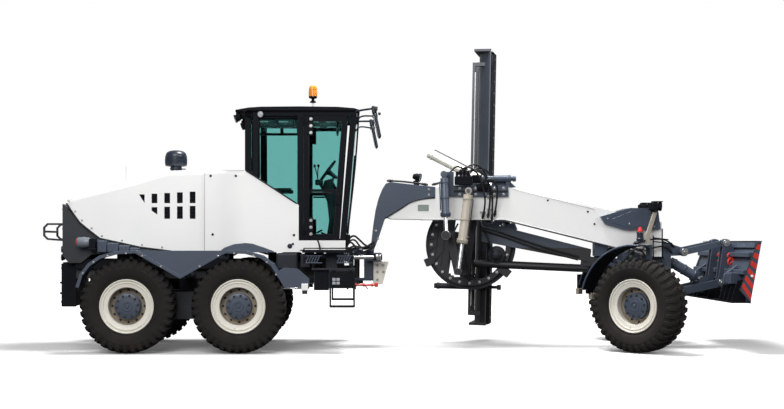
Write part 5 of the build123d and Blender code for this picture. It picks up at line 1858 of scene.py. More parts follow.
@dataclass
class Steps:
    """Fittings of the platform and ladder: grates, box fronts, rails, lock bar.

    Attributes:
        body: the CAD body it rides on.
    """

    body: str = "rear_frame"

    def grates(self) -> None:
        """Slanted teeth between two rails under the platform."""
        teeth = []
        pitch = 0.038
        for x0, x1 in ((1.760, 1.960), (2.205, 2.390)):
            rails = [
                block("rail", (x0 - 0.02, x1 + 0.02), (-1.140, -1.105), (z, z + 0.014), 0.003)
                for z in (1.285, 1.385)
            ]
            tooth = tilted(
                block("tooth", (x0, x0 + 0.016), (-1.135, -1.110), (1.295, 1.390), 0.003),
                (x0 + 0.008, 0, 1.34), (0, 1, 0), 24
            )
            count = round((x1 - x0) / pitch)
            teeth += [
                *rails,
                repeated(tooth, [Matrix.Translation((pitch * k, 0, 0)) for k in range(count)], "teeth")
            ]
        finished(both(joined("step_grates", teeth)), SLATE_PAINT, self.body)

    def box_fronts(self) -> None:
        """Ribbed covers and hinges on the battery and tool boxes, with a small pale grid."""
        parts = []
        pitch = 0.058
        for x0, x1, z0, z1, y in (
            (2.090, 2.440, 0.945, 1.178, -1.180), (1.870, 2.065, 0.915, 1.180, -1.120)
        ):
            parts.append(block("cover", (x0, x1), (y - 0.012, y + 0.002), (z0, z1), 0.006))
            parts += [
                block(
                    "rib", (x0 + 0.02 + k * pitch, x0 + 0.040 + k * pitch), (y - 0.020, y - 0.010),
                    (z0 + 0.02, z1 - 0.02), 0.003
                )
                for k in range(int((x1 - x0 - 0.03) / pitch))
                if not (x0 > 2 and k < 3)
            ]
            parts += [
                block("hinge", (x, x + 0.05), (y - 0.022, y - 0.008), (z1 - 0.012, z1 + 0.012), 0.004)
                for x in (x0 + 0.03, x1 - 0.08)
            ]
        finished(both(joined("box_fronts", parts)), BLACK_PAINT, self.body)
        cell = block("cell", (2.125, 2.172), (-1.2025, -1.190), (0.985, 1.025), 0.003)
        moves = [Matrix.Translation((pitch * i, 0, 0.052 * k)) for i in range(2) for k in range(2)]
        finished(
            both(repeated(cell, moves, "box_grid")),
            Finish("grid_pale", (0.42, 0.45, 0.50), (0.34, 0.37, 0.42), 0.4), self.body
        )

    def rails(self) -> None:
        """Hand rails beside the door, the platform's edge strip and the ladder's hoops."""
        y = -1.165
        rail = pipe(
            "rail", [at(1.72, y, 1.475), at(1.72, y, 1.500), at(2.38, y, 1.500), at(2.40, y, 1.475)],
            0.011, smooth=False
        )
        lever = pipe(
            "lever",
            [
                at(1.955, -0.86, 1.20), at(1.950, -0.87, 1.45), at(1.925, -0.87, 1.585),
                at(1.905, -0.86, 1.615)
            ],
            0.012
        )
        hoops = [
            pipe("hoop", [at(x, -1.10, 0.935), at(x, -1.125, 0.80), at(x, -1.110, 0.668)], 0.013)
            for x in (2.095, 2.435)
        ]
        rung = block("rung", (2.080, 2.450), (-1.185, -1.035), (0.674, 0.684), 0.003)
        edge = block("edge", (1.695, 2.405), (-1.190, -1.176), (1.436, 1.480), 0.004)
        finished(both(joined("step_rails", [rail, lever, *hoops, rung, edge])), BLACK_PAINT, self.body)

    def lock_bar(self) -> None:
        """Red articulation lock bar with its forked ends and pins, stowed along the right side."""
        y = -0.78
        start = at(2.305, y, 0.965)
        axis = [(0.0, 0.0), (0.014, 0.0), (0.016, 0.05), (0.016, 0.40), (0.014, 0.45), (0.0, 0.45)]
        bar = smooth(lathe("bar", axis, start, (1, 0, 0), 20), 30)
        bands = [
            lathe(
                "band", [(0.014, x), (0.024, x), (0.024, x + 0.03), (0.014, x + 0.03)], start,
                (1, 0, 0), 16
            )
            for x in (0.03, 0.14, 0.26, 0.38)
        ]
        ends = [
            block("end", (x, x + 0.05), (y - 0.022, y + 0.022), (0.935, 0.995), 0.008)
            for x in (2.285, 2.735)
        ]
        hooks = [
            pipe("hook", [at(x, y, 0.965), at(x + 0.01, y, 0.925), at(x + 0.04, y, 0.905)], 0.008)
            for x in (2.40, 2.60)
        ]
        finished(joined("lock_bar", [bar, *bands, *ends, *hooks]), RED_PAINT, self.body)
        holder = [
            block("holder", (x, x + 0.025), (y - 0.02, -0.30), (0.900, 0.935), 0.005)
            for x in (2.33, 2.44)
        ]
        finished(joined("lock_bar_holder", holder), BLACK_PAINT, self.body)

    def underside(self) -> None:
        """Dark valve blocks, pipes and filters between the chassis rails and the platform."""
        parts = [
            block("valve", (1.66, 1.80), (-0.86, -0.62), (1.22, 1.42), 0.012),
            block("tank", (1.30, 1.62), (-0.80, -0.50), (1.18, 1.43), 0.03),
            lathe(
                "filter",
                [(0.0, 0.0), (0.05, 0.004), (0.056, 0.02), (0.056, 0.19), (0.045, 0.21), (0.0, 0.212)],
                at(2.16, -0.80, 0.98), (0, 0, 1), 24
            ),
            block("post", (2.360, 2.430), (-0.86, -0.80), (0.95, 1.44), 0.008),
            block("gear", (2.02, 2.20), (-0.60, -0.44), (1.05, 1.20), 0.015),
        ]
        parts += [
            pipe(
                "line",
                [
                    at(1.70, -0.87, 1.30 + 0.03 * k), at(1.95, -0.89, 1.27 + 0.03 * k),
                    at(2.30, -0.86, 1.31 + 0.03 * k)
                ],
                0.010
            )
            for k in range(3)
        ]
        finished(both(joined("platform_gear", parts)), DARK_PAINT, self.body)

    def build(self) -> None:
        """Make every fitting of the steps."""
        self.grates()
        self.box_fronts()
        self.rails()
        self.lock_bar()
        self.underside()


# ------------------------------------------------------------------ neck, beam and saddle
@dataclass
class Neck:
    """Lamp, plates, bolts and pipes of the gooseneck, and the hoses across the articulation.

    Attributes:
        half_width: y of the neck's side faces.
        fall: how the front of the beam slopes down, in degrees.
        body: the CAD body it rides on.
    """

    half_width: float = 0.215
    fall: float = 14.0
    body: str = "front_frame"

    def fittings(self) -> None:
        """Work lamp on the neck's crown, bolts on its sides and a blank riveted plate on the beam."""
        cup, lens = lamp_head("neck_lamp", (3.435, -0.10, 2.560), (1, -0.3, -0.25), 0.062, 0.11)
        foot = tilted(
            block("foot", (3.340, 3.420), (-0.14, -0.06), (2.440, 2.520), 0.012), (3.38, 0, 2.46),
            (0, 1, 0), -10
        )
        finished(joined("neck_lamp_cup", [cup, foot]), BLACK_PAINT, self.body)
        finished(lens, CLEAR_LENS, self.body)
        y = -self.half_width - 0.001
        finished(
            both(
                bolts(
                    "neck_bolts",
                    [(2.765, y, 1.760), (2.800, y, 1.640), (3.56, y, 2.38), (3.56, y, 2.30)],
                    (0, -1, 0), 0.012
                )
            ),
            STEEL, self.body
        )
        plate = block("blank_plate", (3.395, 3.560), (-0.206, -0.1995), (2.055, 2.150), 0.003)
        finished(
            plate, Finish("plate_grey", (0.30, 0.34, 0.31), (0.24, 0.28, 0.25), 0.35, metallic=0.6),
            self.body
        )
        rivets = [(x, -0.206, z) for x in (3.407, 3.548) for z in (2.067, 2.138)]
        finished(bolts("plate_rivets", rivets, (0, -1, 0), 0.005), STEEL, self.body)
        weld = [at(2.905, y, 1.945), at(3.127, y, 2.085), at(3.340, y, 2.230), at(3.640, y, 2.262)]
        finished(both(pipe("neck_weld", weld, 0.010)), DARK_PAINT, self.body)
        foot_bolts = [
            (2.790, -0.131, z) for z in (1.02, 1.14, 1.24)
        ] + [(2.880, -0.131, z) for z in (1.14, 1.24)]
        finished(both(bolts("foot_bolts", foot_bolts, (0, -1, 0), 0.014)), STEEL, self.body)

    def beam_details(self) -> None:
        """Edge welds and plugs on the white beam."""
        slope = math.tan(math.radians(self.fall))
        weld = [at(4.78, -0.200, 2.402), at(6.05, -0.200, 2.402 - 1.35 * slope + 0.018)]
        low = [at(3.46, -0.200, 1.930), at(4.70, -0.200, 1.930), at(6.40, -0.200, 1.930 - 1.70 * slope)]
        finished(
            both(
                joined(
                    "beam_welds",
                    [pipe("weld", weld, 0.007, smooth=False), pipe("weld", low, 0.007, smooth=False)]
                )
            ),
            WHITE_PAINT, self.body
        )
        caps = [
            (5.95, -0.2005, 2.045), (5.35, -0.2005, 2.215), (4.72, -0.2005, 2.35), (6.05, -0.2005, 1.86)
        ]
        finished(both(bolts("beam_bolts", caps, (0, -1, 0), 0.011)), DARK_PAINT, self.body)

    def joint_hoses(self) -> None:
        """Hydraulic hoses that loop over the articulation from the rear frame to the neck."""
        routes = [
            (
                (2.300, -0.30, 1.470), (2.340, -0.37, 1.620), (2.430, -0.40, 1.700),
                (2.520, -0.34, 1.620), (2.610, -0.26, 1.530), (2.700, -0.20, 1.500)
            ),
            (
                (2.300, -0.26, 1.440), (2.330, -0.30, 1.560), (2.400, -0.34, 1.600),
                (2.500, -0.30, 1.450), (2.620, -0.24, 1.430), (2.760, -0.226, 1.560)
            ),
            (
                (2.300, -0.18, 1.440), (2.420, -0.22, 1.500), (2.540, -0.28, 1.500),
                (2.640, -0.26, 1.520), (2.740, -0.226, 1.600)
            ),
            (
                (2.300, 0.22, 1.440), (2.350, 0.30, 1.600), (2.450, 0.36, 1.640), (2.540, 0.30, 1.500),
                (2.640, 0.26, 1.470), (2.770, 0.226, 1.590)
            ),
            (
                (2.300, 0.30, 1.420), (2.400, 0.33, 1.540), (2.520, 0.31, 1.510), (2.640, 0.25, 1.500),
                (2.730, 0.226, 1.560)
            ),
        ]
        for number, route in enumerate(routes):
            piece = smooth(pipe(f"joint_hose_{number}", [at(*point) for point in route], 0.015), 60)
            piece.data.materials.append(HOSE_RUBBER.material())
            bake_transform(piece)
            LOG.info("%s: across the articulation", piece.name)

    def build(self) -> None:
        """Make every piece of the neck and beam."""
        self.fittings()
        self.beam_details()
        self.joint_hoses()


@dataclass
class Saddle:
    """Bolts, bands, valve blocks and hoses on the clamp round the beam.

    Attributes:
        x: place of the saddle's middle.
        body: the CAD body it rides on.
    """

    x: float = 4.2406
    body: str = "front_frame"

    def fasteners(self) -> None:
        """Rows of bolts on the side plates, a pad along them, and the top cylinder with its bands."""
        side = [
            (self.x + step, -0.241, z)
            for step in (-0.33, -0.22, 0.02, 0.16, 0.30, 0.44)
            for z in (2.305, 2.395)
        ]
        finished(both(bolts("saddle_bolts", side, (0, -1, 0), 0.016)), STEEL, self.body)
        pad = block("pad", (self.x - 0.37, self.x + 0.50), (-0.252, -0.238), (2.335, 2.365), 0.004)
        finished(both(pad), DARK_PAINT, self.body)
        tube = [
            (0.050, 0.0), (0.060, 0.004), (0.060, 0.034), (0.052, 0.038), (0.052, 0.18), (0.058, 0.184),
            (0.058, 0.204), (0.052, 0.208), (0.052, 0.40), (0.060, 0.404), (0.060, 0.438),
            (0.030, 0.442), (0.030, 0.47), (0.042, 0.474), (0.042, 0.52), (0.0, 0.522)
        ]
        top = smooth(lathe("top_cylinder", tube, at(self.x + 0.11, -0.17, 2.54), (1, 0, 0), 28), 30)
        finished(top, SLATE_PAINT, self.body)

    def valves(self) -> None:
        """Dark valve bank behind the upright ram, with its spools and plugs."""
        parts = [
            block("bank", (self.x - 0.30, self.x - 0.05), (-0.40, -0.255), (2.44, 2.57), 0.012),
            block("manifold", (self.x + 0.03, self.x + 0.20), (-0.33, -0.245), (2.37, 2.46), 0.010),
            block("box", (self.x - 0.02, self.x + 0.30), (-0.20, 0.10), (2.49, 2.60), 0.014),
        ]
        parts += [
            drum(
                "spool", at(self.x - 0.27 + 0.055 * k, -0.33, 2.56),
                at(self.x - 0.27 + 0.055 * k, -0.33, 2.64), 0.018, 14
            )
            for k in range(4)
        ]
        parts += [
            bevel(
                drum(
                    "plug", at(self.x + 0.055 + 0.05 * k, -0.33, 2.41),
                    at(self.x + 0.055 + 0.05 * k, -0.36, 2.41), 0.016, 6
                ),
                0.002, 1
            )
            for k in range(3)
        ]
        finished(joined("saddle_valves", parts), BLACK_PAINT, self.body)

    def hoses(self) -> None:
        """Bundles of black hose from the valve bank over the beam and down to the drawbar side."""
        x = self.x
        routes = [
            (
                (x - 0.20, -0.33, 2.60), (x - 0.10, -0.38, 2.76), (x + 0.10, -0.36, 2.72),
                (x + 0.22, -0.30, 2.48), (x + 0.24, -0.27, 2.20), (x + 0.20, -0.255, 1.96)
            ),
            (
                (x - 0.15, -0.33, 2.60), (x - 0.02, -0.40, 2.70), (x + 0.14, -0.38, 2.60),
                (x + 0.26, -0.30, 2.36), (x + 0.27, -0.27, 2.10), (x + 0.26, -0.255, 1.92)
            ),
            (
                (x - 0.25, -0.33, 2.60), (x - 0.16, -0.40, 2.74), (x + 0.02, -0.44, 2.64),
                (x + 0.12, -0.40, 2.40), (x + 0.16, -0.36, 2.14), (x + 0.12, -0.255, 1.95)
            ),
            (
                (x + 0.10, -0.33, 2.46), (x + 0.20, -0.40, 2.56), (x + 0.34, -0.36, 2.44),
                (x + 0.33, -0.30, 2.20), (x + 0.30, -0.26, 1.98)
            ),
            (
                (x - 0.10, 0.05, 2.58), (x + 0.05, 0.10, 2.74), (x + 0.25, 0.20, 2.70),
                (x + 0.40, 0.26, 2.44), (x + 0.42, 0.26, 2.10)
            ),
            (
                (x - 0.05, -0.05, 2.60), (x - 0.20, 0.0, 2.78), (x - 0.35, -0.05, 2.66),
                (x - 0.42, -0.12, 2.50), (x - 0.62, -0.15, 2.455)
            ),
            (
                (x - 0.70, -0.15, 2.452), (x - 0.95, -0.16, 2.490), (x - 1.20, -0.17, 2.510),
                (x - 1.30, -0.18, 2.510)
            ),
        ]
        finished(
            joined("saddle_hoses", [hose("saddle_hose", route, 0.014) for route in routes]),
            HOSE_RUBBER, self.body
        )
        clips = [
            block("clip", (x + dx, x + dx + 0.09), (-0.262, -0.242), (z, z + 0.03), 0.004) for dx,
            z in ((0.19, 2.06), (0.19, 2.26), (0.08, 2.02))
        ]
        finished(joined("hose_clips", clips), STEEL, self.body)

    def build(self) -> None:
        """Make every piece of the saddle."""
        self.fasteners()
        self.valves()
        self.hoses()


@dataclass
class RamDress:
    """Gland nut, bands, side pipe and end bolts round one ram's barrel.

    Attributes:
        name: start of the pieces' names; its bodies are name_barrel and name_rod.
        base: the base pin, from the tandem pivot.
        tip: the tip pin.
        radius: the barrel's radius.
        start: where the barrel begins, from the base pin.
        end: where the gland is.
        finish: the barrel's finish.
        pipe_side: direction in which the side pipe stands off.
    """

    name: str
    base: Point
    tip: Point
    radius: float
    start: float
    end: float
    finish: Finish
    pipe_side: Point = (0.0, -1.0, 0.0)

    def build(self) -> None:
        """Fit the bands, the gland's nut, its bolts and the oil pipe."""
        base, along = at(*self.base), (at(*self.tip) - at(*self.base)).normalized()
        body = f"{self.name}_barrel"
        r = self.radius
        gland = [
            (r + 0.012, self.end - 0.055), (r + 0.018, self.end - 0.050), (r + 0.018, self.end - 0.010),
            (r + 0.010, self.end + 0.004), (r * 0.62, self.end + 0.006), (r * 0.62, self.end - 0.004),
            (r + 0.010, self.end - 0.006)
        ]
        parts = [lathe("gland", gland, base, along, 32)]
        for place in (self.start + 0.05, (self.start + self.end) / 2):
            parts.append(
                lathe(
                    "band",
                    [
                        (r + 0.0005, place), (r + 0.008, place + 0.002), (r + 0.008, place + 0.024),
                        (r + 0.0005, place + 0.026)
                    ],
                    base, along, 32
                )
            )
        finished(smooth(joined(f"{self.name}_bands", parts), 30), self.finish, body)
        side = Vector(self.pipe_side)
        side = (side - along * side.dot(along)).normalized()
        run = [
            base + along * (self.start + 0.06) + side * (r - 0.004),
            base + along * (self.start + 0.07) + side * (r + 0.024),
            base + along * (self.end - 0.12) + side * (r + 0.024),
            base + along * (self.end - 0.10) + side * (r - 0.004)
        ]
        finished(pipe(f"{self.name}_oil_pipe", run, 0.009, smooth=False), DARK_PAINT, body)
        port = base + along * (self.end - 0.10) + side * r
        head = bevel(
            drum(
                "bolt", base + along * (self.end + 0.003) + side * (r - 0.004),
                base + along * (self.end + 0.014) + side * (r - 0.004), 0.010, 6
            ),
            0.0015, 1
        )
        ring = repeated(head, ring_of(8, base, along, 0.39), "gland_bolts")
        nut = bevel(drum("nut", port, port + side * 0.030, 0.018, 6), 0.002, 1)
        finished(joined(f"{self.name}_nuts", [ring, nut]), STEEL, body)


def rams() -> list[RamDress]:
    """The rams with their places, as they stand at rest.

    Returns:
        One dress for each ram.
    """
    sign = {Side.LEFT: 1, Side.RIGHT: -1}
    found = [
        # The near lift ram's barrel is white paint in painted shade.
        RamDress(
            "lift_near", (4.1406, -0.400, 2.350), (3.9906, -0.3645, 1.150), 0.068, 0.06, 0.78,
            WHITE_IN_PAINTED_SHADE, (1.0, -0.6, 0.0)
        ),
        RamDress(
            "lift_far", (4.1806, 0.518, 2.678), (4.8506, 0.3596, 2.316), 0.068, -0.655, 0.23,
            CREAM_PAINT, (0.3, -0.2, 1.0)
        ),
        RamDress(
            "centre_shift", (3.7706, -0.480, 2.590), (3.8006, -0.4871, 1.690), 0.060, 0.06, 0.62,
            SLATE_PAINT, (-1.0, -0.5, 0.0)
        ),
        RamDress(
            "dozer", (7.190, 0.0, 1.320), (7.740, 0.0, 1.000), 0.076, 0.06, 0.50, SLATE_PAINT,
            (0.0, 1.0, 0.0)
        ),
    ]
    for side, hand in sign.items():
        found.append(
            RamDress(
                f"articulation_{side.word}", (1.760, hand * 0.520, 1.360), (2.790, hand * 0.300, 1.360),
                0.052, 0.06, 0.64, SLATE_PAINT, (0.0, 0.0, 1.0)
            )
        )
    return found


# ------------------------------------------------------------------ drawbar, circle and moldboard
@dataclass
class BladeGear:
    """The drawbar's and circle's covers, drive, cylinders and the moldboard's edges.

    Attributes:
        ball: centre of the drawbar's ball, from the tandem pivot.
        yaw: drawbar's turn about the vertical, in degrees.
        pitch: its tilt.
        roll: its roll.
        reach: from the ball to the circle's centre.
        turn: the circle's turn at rest, in degrees.
        middle: the blade's middle along the circle's cross axis.
        half_length: half the blade's length.
        foot: the blade's lower edge, from the circle's centre.
        front: the cutting edge's rear face, ahead of the circle's centre.
    """

    ball: Point = (6.150, 0.0, 1.290)
    yaw: float = -13.3
    pitch: float = 7.5
    roll: float = 90.0
    reach: float = 1.979
    turn: float = 6.35
    middle: float = 0.905
    half_length: float = 2.170
    foot: float = -0.165 - 0.630
    front: float = 0.250 - 0.020

    def __post_init__(self) -> None:
        """Work out the drawbar's and the circle's placing matrices."""
        turns = [
            Matrix.Rotation(math.radians(angle), 4, axis) for angle,
            axis in ((self.yaw, "Z"), (self.pitch, "Y"), (self.roll, "X"))
        ]
        self.draw = Matrix.Translation(at(*self.ball)) @ turns[0] @ turns[1] @ turns[2]
        self.ring = self.draw @ Matrix.Translation((-self.reach, 0, -0.040)) @ Matrix.Rotation(
            math.radians(self.turn), 4, "Z"
        )

    def local(self, piece: bpy.types.Object, frame_of: Matrix) -> bpy.types.Object:
        """Move a piece drawn at the row's origin into the drawbar's or circle's own frame."""
        piece.data.transform(frame_of)
        return piece

    def box(
        self, name: str, low: Point, high: Point, frame_of: Matrix, edge: float = 0.004
    ) -> bpy.types.Object:
        """A rounded box drawn in the drawbar's or circle's own frame."""
        return self.local(bevel(cube(name, low, high), edge), frame_of)

    def drive(self) -> None:
        """Circle drive: gear housing, motor and a ring of bolts on the drawbar's frame."""
        centre = Vector((-self.reach + 0.44, -0.10, 0))
        case = lathe(
            "case",
            [
                (0.0, 0.030), (0.130, 0.031), (0.138, 0.040), (0.138, 0.085), (0.120, 0.095),
                (0.085, 0.100), (0.080, 0.150), (0.060, 0.165), (0.0, 0.168)
            ],
            centre, (0, 0, 1), 32
        )
        motor = lathe(
            "motor", [(0.0, 0.160), (0.048, 0.161), (0.050, 0.215), (0.030, 0.225), (0.0, 0.226)],
            centre, (0, 0, 1), 24
        )
        head = bevel(
            drum(
                "bolt", centre + Vector((0.118, 0, 0.084)), centre + Vector((0.118, 0, 0.104)), 0.012, 6
            ),
            0.0015, 1
        )
        ring = repeated(head, ring_of(10, centre, (0, 0, 1)), "ring")
        piece = self.local(joined("circle_drive", [case, motor, ring]), self.draw)
        finished(smooth(piece, 30), DARK_PAINT, "drawbar")

    def frame_details(self) -> None:
        """Bolts round the drawbar's frame, stiffening ribs and the hoses over it."""
        seat = Vector((-self.reach + 0.600, 0, 0.030))
        centre = Vector((-self.reach, 0, 0))
        bolt = joined(
            "bolt",
            [
                drum("washer", seat, seat + Vector((0, 0, 0.005)), 0.022, 12),
                bevel(drum("head", seat, seat + Vector((0, 0, 0.020)), 0.015, 6), 0.002, 1)
            ]
        )
        ring = repeated(bolt, ring_of(24, centre, (0, 0, 1), 0.13), "frame_bolts")
        finished(self.local(ring, self.draw), STEEL, "drawbar")
        ribs = [
            self.box(
                "rib", (-self.reach - 0.520 + 0.11 * k, -0.42 + 0.03 * k, 0.026),
                (-self.reach - 0.505 + 0.11 * k, 0.42 - 0.03 * k, 0.036), self.draw, 0.004
            )
            for k in range(3)
        ]
        finished(joined("frame_ribs", ribs), DARK_PAINT, "drawbar")
        routes = [
            (
                (-1.80, 0.30, 0.09), (-1.50, 0.25, 0.12), (-1.10, 0.16, 0.11), (-0.60, 0.08, 0.12),
                (-0.30, 0.04, 0.10)
            ),
            (
                (-1.80, 0.24, 0.09), (-1.48, 0.20, 0.11), (-1.05, 0.10, 0.12), (-0.62, 0.03, 0.11),
                (-0.30, -0.01, 0.10)
            ),
            ((-2.20, 0.30, 0.04), (-2.30, 0.00, 0.16), (-2.20, -0.35, 0.13), (-1.95, -0.50, 0.05)),
            ((-1.56, -0.12, 0.19), (-1.66, 0.10, 0.26), (-1.80, 0.30, 0.18), (-1.85, 0.38, 0.06))
        ]
        tubes = []
        for route in routes:
            tube = pipe("tube", route, 0.014)
            tubes.append(self.local(tube, self.draw))
        finished(smooth(joined("drawbar_hoses", tubes), 60), HOSE_RUBBER, "drawbar")

    def circle_details(self) -> None:
        """Cross cylinder under the ring, its clevis ends, bearing caps and guard plates."""
        barrel = [
            (0.0, -0.50), (0.040, -0.50), (0.052, -0.49), (0.052, -0.45), (0.046, -0.445),
            (0.046, 0.20), (0.054, 0.204), (0.054, 0.25), (0.024, 0.255), (0.024, 0.46), (0.040, 0.462),
            (0.040, 0.50), (0.0, 0.502)
        ]
        tube = smooth(lathe("cross_cylinder", barrel, (0.0, 0.0, 0.0), (1, 0, 0), 28), 30)
        tube.data.transform(Matrix.Translation((-0.05, -0.66, -0.185)))
        ends = [
            bevel(cube("end", (x, -0.70, -0.22), (x + 0.05, -0.62, -0.125)), 0.008)
            for x in (-0.58, 0.42)
        ]
        finished(self.local(joined("cross_cylinder", [tube, *ends]), self.ring), DARK_PAINT, "circle")
        plates = [
            bevel(cube("guard", (-0.20, y, -0.240), (0.34, y + 0.012, -0.150)), 0.004)
            for y in (-0.580, 0.568)
        ]
        caps = [
            bevel(cube("cap", (0.028, y, z - 0.055), (0.046, y + 0.13, z + 0.055)), 0.005)
            for y in (-0.605, 0.475)
            for z in (-0.27, -0.66)
        ]
        finished(self.local(joined("bearing_caps", [*plates, *caps]), self.ring), BLACK_PAINT, "circle")
        places = [
            Vector((0.046, y, z))
            for y in (-0.580, -0.500, 0.500, 0.580)
            for z in (-0.31, -0.23, -0.70, -0.62)
        ]
        head = bevel(drum("bolt", places[0], places[0] + Vector((0.016, 0, 0)), 0.013, 6), 0.0015, 1)
        heads = repeated(head, [Matrix.Translation(place - places[0]) for place in places], "cap_bolts")
        finished(self.local(heads, self.ring), STEEL, "circle")

    def blade(self) -> None:
        """Bolted cutting edges, end bits and back stiffeners of the moldboard."""
        low, high = self.middle - self.half_length, self.middle + self.half_length
        x, z = self.front, self.foot
        edge = [
            (x + 0.020, z - 0.012), (x + 0.004, z + 0.148), (x + 0.012, z + 0.150),
            (x + 0.028, z - 0.008)
        ]
        parts = []
        for start, end in (
            (low + 0.004, -0.100), (-0.094, 1.070), (1.076, 2.240), (2.246, high - 0.004)
        ):
            parts.append(
                bevel(
                    slab("edge", [(ahead, start, up) for ahead, up in edge], (0, end - start, 0)),
                    0.003, 1
                )
            )
        finished(self.local(joined("cutting_edges", parts), self.ring), DARK_PAINT, "moldboard")
        count = 24
        first = Vector((x + 0.014, low + 0.10, z + 0.105))
        head = smooth(
            lathe(
                "plough_bolt", [(0.0, 0.010), (0.010, 0.009), (0.018, 0.002), (0.018, -0.002)], first,
                (1, 0, 0.1), 12
            ),
            40
        )
        step = (high - low - 0.20) / (count - 1)
        heads = repeated(
            head, [Matrix.Translation((0, step * k, 0)) for k in range(count)], "plough_bolts"
        )
        finished(self.local(heads, self.ring), STEEL, "moldboard")
        caps = [
            bevel(
                slab(
                    "bit",
                    [
                        (0.245, y, z - 0.008), (0.235, y, z + 0.30), (0.080, y, z + 0.34),
                        (0.020, y, z + 0.20), (0.060, y, z + 0.02)
                    ],
                    (0, 0.008, 0)
                ),
                0.002, 1
            )
            for y in (low - 0.007, high - 0.001)
        ]
        finished(self.local(joined("end_bits", caps), self.ring), DARK_PAINT, "moldboard")
        rail = self.box(
            "stiffener", (-0.012, low + 0.30, -0.245), (0.006, high - 0.36, -0.233), self.ring, 0.003
        )
        finished(rail, STEEL, "moldboard")

    def build(self) -> None:
        """Make every piece of the drawbar, circle and moldboard."""
        self.drive()
        self.frame_details()
        self.circle_details()
        self.blade()


